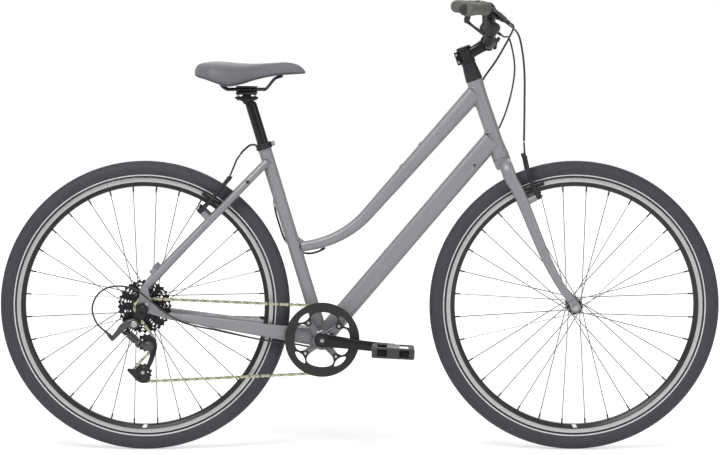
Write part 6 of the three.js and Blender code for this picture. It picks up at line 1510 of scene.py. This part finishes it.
def build_derailleur():
    for node, voxel, rounds in (("derailleur_upper_knuckle", 0.7, 5), ("derailleur_lower_knuckle", 0.6, 5),
                                ("derailleur_link", 0.6, 3)):
        cast(node, mech_grey, voxel, rounds)
    knuckle, link = body_of("derailleur_upper_knuckle"), body_of("derailleur_link")
    arc = [(near_axle(-21, -86.5, -31), 13, 17), (near_axle(-36, -86.5, -34), 13, 16),
           (near_axle(-50, -86, -44), 12, 15), (near_axle(-60, -85, -57), 11, 13),
           (near_axle(-71, -84, -69), 10, 11)]
    ribs = [turned([(4.2, 2 + 3 * k), (5, 2.6 + 3 * k), (5, 3.8 + 3 * k), (4.2, 4.4 + 3 * k)],
                   near_axle(-74, -84, -72), shift_end_aim, 24) for k in range(4)]
    piece("derailleur_knuckle_arc", knuckle, mech_grey, sweep(arc, 28, 2.8, steps=6), *ribs)
    start, end = near_axle(-41, -73, -56), near_axle(-11, -78, -83)
    along = (end - start).normalized()
    over = along.cross(leftward).normalized()
    middle = start.lerp(end, 0.5) - leftward * 2
    piece("derailleur_link_cover", link, mech_grey,
          *[block(middle + over * (way * 6.4), along, 25, over, 5.6, 8, 1.8) for way in (1, -1)])
    piece("derailleur_knuckle_dome", body_of("derailleur_lower_knuckle"), mech_grey,
          turned([(0, 19.4), (6, 19), (10, 17.4), (12.4, 14), (13, 10), (13, 1.4), (12, 0.6), (4.4, 0.6),
                  (4.4, 8), (0, 8)], near_axle(12, -68, -90), -leftward, 40))
    wing = around(tension_centre,
                  *[(x, z) for x, _, z in smooth_points([[x, 0, z] for x, z in cage_wing], 4, loop=True)])
    dress("derailleur_cage", satin_black,
          plate(band_outline(cage_spine), -66.3, 2.2, soft=0.7),
          plate(circle(near_axle(12, 0, -90), 10.5, 32), -66, 1.8, soft=0.3),
          plate(wing, -66.1, 1.6, [circle(tension_centre + at(-8, 0, -13), 2.2, 14),
                                   circle(tension_centre + at(-13, 0, 2.4), 1.8, 14)], 0.4),
          plate(band_outline(inner_cage_spine), -54.6, 2, soft=0.6),
          plate(circle(guide_centre, 8.8, 32), -54.5, 1.8, soft=0.3))
    pulleys = (guide_centre, tension_centre)
    piece("pulley_bolts", "derailleur_cage", bright_steel,
          *[rounded_peg(spot - leftward * 7.2, leftward, 15.4, 2.9) for spot in pulleys],
          *[socket_bolt(spot - leftward * 6.7, -leftward, 4.2, 1.6) for spot in pulleys])
    for wheel, node, towards in ((chain_wheels[2], "guide_pulley", 0.0),
                                 (chain_wheels[1], "tension_pulley", math.pi)):
        centre = wheel[0]
        edge = sprocket_edge(pulley_teeth, gap_phase(wheel, towards))
        holes = [circle(centre, 3.4, 20),
                 *[circle(polar(centre, 11.2, 1.2566 * k), 2.1, 12) for k in range(5)]]
        dress(node, black_plastic,
              plate(in_plane(polar(centre, reach, angle) for angle, reach in edge), centre.y, 2, holes, 0.35),
              turned([(3.4, -3), (7.6, -3), (8, -2.4), (8, 2.4), (7.6, 3), (3.4, 3)], centre, leftward, 28))
    piece("hanger_bolt_head", knuckle, bright_steel,
          socket_bolt(near_axle(-21.4, -95.2, -36), -leftward, 7.4, 2.4))
    piece("hanger_screw", "frame", bright_steel, socket_bolt(near_axle(8, -77.6, 10), -leftward, 4.8, 2.2))
    piece("rear_axle_cap", "frame", satin_black,
          turned([(0, 13.4), (5, 13.2), (8, 12), (9.8, 9), (10.8, 1.4), (10.8, 0), (0, 0)],
                 near_axle(0, -77.9, 0), -leftward, 40))


# Steering

crown_top = head_bottom - 5 * steer_up
blade_top = crown_top - 13 * steer_up + 4 * steer_ahead
blade_down = (front_axle - blade_top).normalized()
blade_out = blade_down.cross(leftward).normalized()
front_boss_reach = 37
fork_end_plane = 53.3


def front_brake_origin(side):
    spot = blade_top + 101 * blade_down + front_boss_reach * blade_out
    return at(spot.x, side * brake_plane, spot.z)


def build_fork():
    crown_low = crown_top - 26 * steer_up
    steerer = turned([(0, 6), (17, 6), (20, 12), (20.6, 24), (21, 26), (21, 29.4), (20.4, 30.2), (17.3, 30.6),
                      (17.3, 38.6), (14.3, 38.8), (14.3, 310.4), (13.6, 311), (0, 311)], crown_low, steer_up,
                     56)
    dress("fork", grey_paint, *[fork_leg(side) for side in (1, -1)], steerer, crease=50)
    face = front_boss_reach - 5.3
    hole = front_axle - blade_down * 24
    for side, name in reversed(both_sides):
        foot = front_brake_origin(side) - front_boss_reach * blade_out
        piece("front_brake_boss_" + name, "steering", grey_paint,
              turned([(0, 0), (9.4, 0), (8.4, 12), (8, 18), (8, face), (0, face)], foot, blade_out, 32))
        piece("front_brake_post_" + name, "steering", bright_steel,
              rounded_peg(foot + blade_out * face, blade_out, 10.4, 5))
        tip = hull([*circle(front_axle, 12.6, 32), *circle(hole - blade_out * 0.5, 7.6, 24)])
        piece("fork_end_" + name, "steering", grey_paint,
              plate(tip, side * fork_end_plane, 6, [circle(front_axle, 5.4, 24), circle(hole, 2.2, 14)], 0.8))


def fork_leg(side):
    """One leg in a single bend: out from the crown, over the shoulder and down to the axle."""
    length = (front_axle - blade_top).length - 12
    shoulder = [(0.0, 3.0, 0.0, 30), (15.0, 2.6, 0.0, 31), (28.0, -1.0, 0.5, 31.5), (37.0, -10.0, 1.0, 31),
                (41.5, -22.0, 1.4, 30.5), (43.4, -38.0, 1.6, 30)]
    spots = [(blade_top + leftward * side * out + steer_up * lift + steer_ahead * ahead, high)
             for out, lift, ahead, high in shoulder]
    for share, spread, bow in ((0.17, 0.05, 0.002), (0.3, 0.13, 0.006), (0.5, 0.27, 0.02), (0.7, 0.45, 0.03),
                               (0.9, 0.8, 0.02), (0.975, 0.96, 0.004)):
        spot = blade_top + blade_down * (length * share) - blade_out * (length * bow)
        spots.append((at(spot.x, side * mixed(44, fork_end_plane, spread), spot.z), mixed(30, 18, share)))
    rows = smooth_points([[*spot, high] for spot, high in spots], 8)
    places = [Vector(row[:3]) for row in rows]
    rings = []
    for i, (place, ahead) in enumerate(zip(places, headings(places))):
        out = (blade_out - ahead * ahead.dot(blade_out)).normalized()
        wide = mixed(26, 12.5, i / (len(rows) - 1))
        rings.append(oval(place, ahead.cross(out), wide / 2, out, rows[i][3] / 2, 40, 2.3))
    return loft(rings)


def build_cockpit():
    dress("headset_cover", satin_black,
          turned([(14.6, -7), (17.3, -7), (17.3, 0.3), (20, 0.3), (20.5, 1), (20.5, 5), (20, 6), (20.2, 7),
                  (18.4, 26), (17.4, 33), (17.4, 33.6), (16.7, 34), (16.7, 34.6), (17.2, 35), (17, 42.4),
                  (16.4, 43), (14.6, 43)], head_top, steer_up, 56))
    low, high = head_top + 43.3 * steer_up, 37
    clamp = turned([(14.6, 0), (17.6, 0), (18.2, 0.8), (18.2, high - 1), (17.4, high), (14.6, high)], low,
                   steer_up, 56)
    neck = sweep([(stem_foot + stem_axis * 4, 31, 28), (stem_foot + stem_axis * 22, 29, 27),
                  (bar_centre - stem_axis * 24, 32, 28), (bar_centre - stem_axis * 12, 38, 30)], 44, 3)
    lugs = [block(low + steer_up * 18.5 - steer_ahead * 20 + leftward * way * 5.2, steer_ahead, 12, steer_up,
                  33, 7, 2.2) for way in (1, -1)]
    dress("stem", post_black, clamp, neck, *lugs, half_shell(-1))
    piece("stem_cap", "steering", satin_black,
          turned([(0, 0), (17.8, 0), (18, 0.8), (17, 3.4), (14, 4.6), (0, 5)], low + steer_up * high,
                 steer_up, 48))
    clamps, bolts = [], []
    for share in (0.25, 0.75):
        spot = low + steer_up * (high * share) - steer_ahead * 22
        clamps += [rounded_peg(spot - leftward * 12, leftward, 24, 4.4, 1.2),
                   rounded_peg(spot - leftward * 9, leftward, 18, 2.5)]
        bolts.append(socket_bolt(spot - leftward * 11.8, -leftward, 2.4, 0.8))
    ears = []
    for way in (1, -1):
        for side in (1, -1):
            corner = bar_centre + leftward * side * 12.6
            ears.append(block(corner + stem_over * (way * 17.5) + stem_axis * 5.4, stem_axis, 8, stem_over, 9,
                              12, 2))
            bolts.append(socket_bolt(corner + stem_over * (way * 17.6) + stem_axis * 8, stem_axis, 3.6, 4))
    dress("stem_faceplate", satin_black, half_shell(1), *ears)
    piece("stem_clamp_bolts", "steering", satin_black, *clamps)
    piece("stem_bolts", "steering", bright_steel, *bolts)
    build_handlebar()


def half_shell(way, outer=20.2, wide=42):
    """Half a tube round the bar, ahead of the split or behind it."""
    section = ((bar_clamp_radius, -1), (outer - 1, -1), (outer, -0.95), (outer, 0.95), (outer - 1, 1),
               (bar_clamp_radius, 1))
    rows = []
    for k in range(25):
        angle = math.radians(-84 + 7 * k)
        out = stem_axis * (math.cos(angle) * way) + stem_over * math.sin(angle)
        rows.append([bar_centre + out * radius + leftward * (y * wide / 2) for radius, y in section])
    return loft(rows)


# Rows of the bar's half: share of its half width, and shares of its sweep, its rise and its clamp's swell
bar_shares = [(0, 0, 0, 1), (0.09, 0, 0, 1), (0.16, 0, 0.05, 0.3), (0.235, 0, 0.33, 0.27),
              (0.31, 0, 0.68, 0.2), (0.385, 0.01, 0.9, 0.1), (0.48, 0.07, 0.985, 0), (0.59, 0.17, 1, 0),
              (1, 1, 1, 0)]


def bar_at(share):
    n = next(i for i, row in enumerate(bar_shares) if row[0] >= share and i)
    a, b = bar_shares[n - 1], bar_shares[n]
    part = (share - a[0]) / (b[0] - a[0])
    return [mixed(x, y, part) for x, y in zip(a, b)]


def bar_place(share, side):
    _, back, rise, _ = bar_at(share)
    return (bar_centre + leftward * (side * bar_half_width * share) - forward * (bar_sweep * back)
            + upward * (bar_rise * rise))


grip_length = 134
grip_radius = 15.5
grip_wing = 5
# A grip's rows from its inner end: share of its length, and shares of its radius and of its palm wing
grip_rows = [(0, 1, 0), (0.02, 1.06, 0), (0.05, 1.06, 0.02), (0.07, 0.98, 0.03), (0.2, 0.96, 0.08),
             (0.45, 0.95, 0.25), (0.6, 0.98, 0.5), (0.75, 1.04, 0.8), (0.88, 1.05, 0.95), (0.97, 1.04, 1),
             (1.0, 0.98, 0.96), (1.03, 0.86, 0.84)]


def build_handlebar():
    half = [row[0] for row in bar_shares]
    rows = []
    for share in (*[-share for share in reversed(half[1:])], *half):
        across = 2 * mixed(bar_radius, bar_clamp_radius, bar_at(abs(share))[3])
        rows.append((bar_place(abs(share), math.copysign(1, share)), across, across))
    dress("handlebar", satin_black, sweep(rows, 36, 2, forward))
    for side, name in both_sides:
        build_grip(side, name)


def build_grip(side, name):
    outer = bar_place(1, side)
    ahead = (outer - bar_place(0.59, side)).normalized()
    start = outer - ahead * grip_length
    back = (ahead.cross(upward) * side).normalized()
    rings = []
    for share, swell, wing in (row[:3] for row in smooth_points(grip_rows, 5)):
        lean = grip_wing * wing / 2
        rings.append(oval(start + ahead * (grip_length * share) + back * lean, back,
                          grip_radius * swell + lean, upward, grip_radius * swell, 44, 2.2))
    dress("grip_" + name, grip_grey, loft(rings))
    piece("grip_end_cap_" + name, "steering", black_plastic,
          turned([(0, -2), (13.6, -2), (13.8, 1.4), (13.2, 2.6), (11.8, 3.4), (3.4, 3.4), (3, 2.8), (0, 2.8)],
                 start + ahead * grip_length * 1.02 + back * 2, ahead, 48))
    ridges = stitch_rule()
    for i in range(7):
        turn = math.radians(18 + 24 * i)
        line = [start + ahead * (grip_length * share) + back * (math.cos(turn) * (15.4 + 0.6 * share))
                + upward * (math.sin(turn) * 14.9) for share in (0.14, 0.3, 0.48)]
        mesh = ridges.made(line_through(smooth_points(line, 6)), {
            "Spacing": 0.005, "Length": 0.0042, "Thickness": 0.0009, "Finish": grip_grey.material})
        finished(f"grip_{name}_ridge_{i}", mesh, "steering", grip_grey)


def build_controls():
    for name in ("right", "left"):
        cast("lever_bracket_" + name, satin_black, 0.7, 5)
        cast("brake_lever_" + name, satin_black, 0.7, 6)
    cast("shifter_pod", black_plastic, 0.8, 5)
    cast("thumb_lever", black_plastic, 0.6, 4)
    cast("release_lever", black_plastic, 0.6, 4)
    pad = [(at(258, -151, 1058), 5, 4), (at(257, -151, 1055), 13, 9), (at(254.5, -151, 1048), 18, 13),
           (at(252, -151, 1040), 18, 14), (at(250, -151, 1033), 12, 10), (at(249.6, -151, 1030), 5, 4)]
    stalk = [(at(252, -151, 1036), 9, 8), (at(264, -150.5, 1025), 8, 6), (at(278, -150, 1014.5), 8, 7.5),
             (at(290, -149, 1006), 8, 9)]
    piece("thumb_paddle", "thumb_lever", black_plastic, sweep(pad, 28, 2.4, steps=5),
          sweep(stalk, 24, 2.6, steps=5))


def build_brakes():
    ends = (("front", front_brake_origin, blade_out), ("rear", rear_brake_origin, seatstay_out))
    arms = [(f"{end}_brake_arm_{name}", origin(side), out) for end, origin, out in ends
            for side, name in both_sides]
    for arm, _, _ in arms:
        cast(arm, satin_black, 0.6, 4)
    for arm, origin, out in arms:
        piece(arm + "_pivot_bolt", arm, bright_steel, socket_bolt(origin + out * 7.6, out, 6, 3.4))


# Cable housings

def lever_start(side):
    aim = (control_ahead - leftward * (side * 0.7)).normalized()
    start = bar_place(172 / bar_half_width, side) + control_ahead * 46 - leftward * (side * 8.5)
    return start + aim * 15.3, aim


pod_centre = bar_place(140 / bar_half_width, -1) - upward * 40
brake_housing_radius = 2.5
shift_housing_radius = 2.1
shift_aim = at(0.8, 0.35, -0.5).normalized()
shift_end_aim = slope(130)
front_brake_route = [(384, 85, 1000), (393, 45, 955), (396, 12, 905), (395, -14, 850), (393.5, -38, 800),
                     (392.5, -50, 765), (392, -53, 748)]
rear_brake_route = [(-84, 5, 487.6), (-98, 10, 479), (-120, 17, 473), (-140, 22, 475), (-160, 23, 484),
                    (-180, 19, 505), (-193, 15, 540), (-203, 15, 575), (-209, 22, 620), (-214, 29, 665),
                    (-222, 30, 700), (-240, 27, 729), (-260, 30, 735), (-277, 40, 724), (-288.5, 50, 711)]
steer_brake_route = [(354, -70, 993), (342, -25, 966), (326, 8, 936), (305, 27, 905), (286, 33, 876),
                     (266, 31, 850), (250, 25, 830), (240, 19.8, 816)]
steer_shift_route = [(352, -100, 996), (364, -68, 960), (370, -35, 920), (367, -2, 878), (359, 20, 838),
                     (347, 32, 800), (332, 33, 768), (316, 27, 745), (304, 21.9, 730)]
rear_shift_route = [(-112, -12, 248), (-135, -19, 253), (-160, -26, 258.5), (-200, -33, 264),
                    (-242, -40, 271), (-300, -48, 284), (-350, -55, 296), (-392, -62, 305), (-430, -72, 318),
                    (-464, -83, 340), (-497, -90, 367), (-527, -91, 391), (-550, -91, 401), (-574, -91, 404),
                    (-601, -90, 400), (-625, -89, 383), (-638, -88, 351), (-628, -87, 316)]


def ferrule(end, before, radius=3.1, long=11):
    aim = (Vector(end) - Vector(before)).normalized()
    return turned([(0, -long), (radius - 0.6, -long), (radius, -long + 1), (radius, -0.6), (radius - 0.5, 0),
                   (0, 0)], Vector(end), aim, 20)


def build_cables():
    left_start, left_aim = lever_start(1)
    right_start, right_aim = lever_start(-1)
    shift_start = (pod_centre + control_ahead * 21.5 + leftward * 6.6) + shift_aim * 9.3
    anchor = near_axle(-74, -84, -72) + shift_end_aim * 15.3
    # The body, the route, and for a run that bends with the bar where its bend starts and ends; only whether
    # that entry is given is read, and such a run is baked in place, not bent
    runs = [("front_brake_housing", "steering",
             [left_start, left_start + left_aim * 15, *front_brake_route], None),
            ("steer_brake_housing", None,
             [right_start, right_start + right_aim * 15, *steer_brake_route],
             (steer_brake_route[2], steer_brake_route[6])),
            ("steer_shift_housing", None,
             [shift_start, shift_start + shift_aim * 10.5, *steer_shift_route],
             (steer_shift_route[3], steer_shift_route[7])),
            ("rear_brake_housing", "frame", rear_brake_route, None),
            ("rear_shift_housing", "frame", [*rear_shift_route, anchor], None)]
    for node, body, route, crossing in runs:
        radius = shift_housing_radius if "shift" in node else brake_housing_radius
        route = [Vector(point) for point in route]
        thing = piece(node + "_finished", body, cable_skin, cable(route, radius), nodes=(node,))
        if crossing:
            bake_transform(thing)
    piece("rear_ferrules", "frame", black_plastic, ferrule(rear_shift_route[0], rear_shift_route[1]),
          ferrule(anchor, rear_shift_route[-1]), ferrule(rear_brake_route[0], rear_brake_route[1], 3.3))
    piece("cable_clips", "frame", clip_plastic, clip(at(-160, 21, 484)), clip(at(-205, 17, 590)))


def clip(spot):
    return rounded_peg(spot - upward * 4, (upward - forward * 0.25).normalized(), 8, 4.3, 1.2, 20)


# Floor and light

def cleared(owner):
    """An empty graph on a material or a world."""
    owner.use_nodes = True
    graph = Graph(owner.node_tree)
    graph.tree.nodes.clear()
    return graph


def seen_by(graph, *rays):
    """1 for rays of two kinds, named as the light path node names them."""
    path = graph.node("ShaderNodeLightPath")
    return graph.maths("MAXIMUM", *[Wire(graph, path.outputs[ray]) for ray in rays])


def build_floor():
    """A matt floor that turns into plain light away from the bicycle, so that it has no edge."""
    reach = 9
    floor = bpy.data.meshes.new("floor")
    floor.from_pydata([(-reach, -reach, 0), (reach, -reach, 0), (reach, reach, 0), (-reach, reach, 0)], [],
                      [(0, 1, 2, 3)])
    thing = bpy.data.objects.new("floor", floor)
    bpy.context.collection.objects.link(thing)
    pale = bpy.data.materials.new("pale_floor")
    graph = cleared(pale)
    seen = seen_by(graph, "Is Camera Ray", "Is Glossy Ray")
    far = graph.vectors("LENGTH", graph.wire("ShaderNodeTexCoord", output="Object"), output="Value")
    whole = graph.maths("MINIMUM", graph.maths("MAXIMUM", far * 1.6 - 1.1, 0.0), 1.0)
    matt = graph.wire("ShaderNodeBsdfDiffuse", sockets={"Color": (0.98, 0.98, 0.98, 1)})
    glow = graph.wire("ShaderNodeEmission", sockets={"Color": (1, 1, 1, 1), "Strength": 1.25})
    mix = graph.wire("ShaderNodeMixShader", sockets={0: seen * (whole * 0.65 + 0.35), 1: matt, 2: glow})
    graph.node("ShaderNodeOutputMaterial", sockets={"Surface": mix})
    floor.materials.append(pale)


def build_lights():
    world = bpy.data.worlds.new("studio")
    bpy.context.scene.world = world
    sky = cleared(world)
    seen = seen_by(sky, "Is Camera Ray", "Is Transmission Ray")
    soft, white = [sky.wire("ShaderNodeBackground", sockets={"Color": (1, 1, 1, 1), "Strength": strength})
                   for strength in (0.52, 1.0)]
    mix = sky.wire("ShaderNodeMixShader", sockets={0: seen, 1: soft, 2: white})
    sky.node("ShaderNodeOutputWorld", sockets={"Surface": mix})
    aim = Vector((0, 0, 0.5))
    for name, place, size, power in (("key_light", (-1.8, -3.0, 4.4), 2.4, 190),
                                     ("fill_light", (3.4, -3.2, 2.2), 3.0, 45),
                                     ("back_light", (0.5, 3.8, 3.4), 3.5, 90)):
        lamp = bpy.data.lights.new(name, "AREA")
        lamp.size = size
        lamp.energy = power
        thing = bpy.data.objects.new(name, lamp)
        thing.location = place
        thing.rotation_euler = (aim - Vector(place)).to_track_quat("-Z", "Y").to_euler()
        bpy.context.collection.objects.link(thing)


def write_sizes():
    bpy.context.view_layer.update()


build_main_tubes()
build_rear_triangle()
build_seatpost()
build_saddle()
build_wheel("front", front_axle, 19, 35, 35, 12, -1)
build_wheel("rear", rear_axle, 23, 34, 20, 12)
build_axles()
build_chain()
build_cassette()
build_crankset()
build_pedals()
build_derailleur()
build_fork()
build_cockpit()
build_controls()
build_brakes()
build_cables()
build_floor()
build_lights()
write_sizes()
bpy.context.view_layer.update()
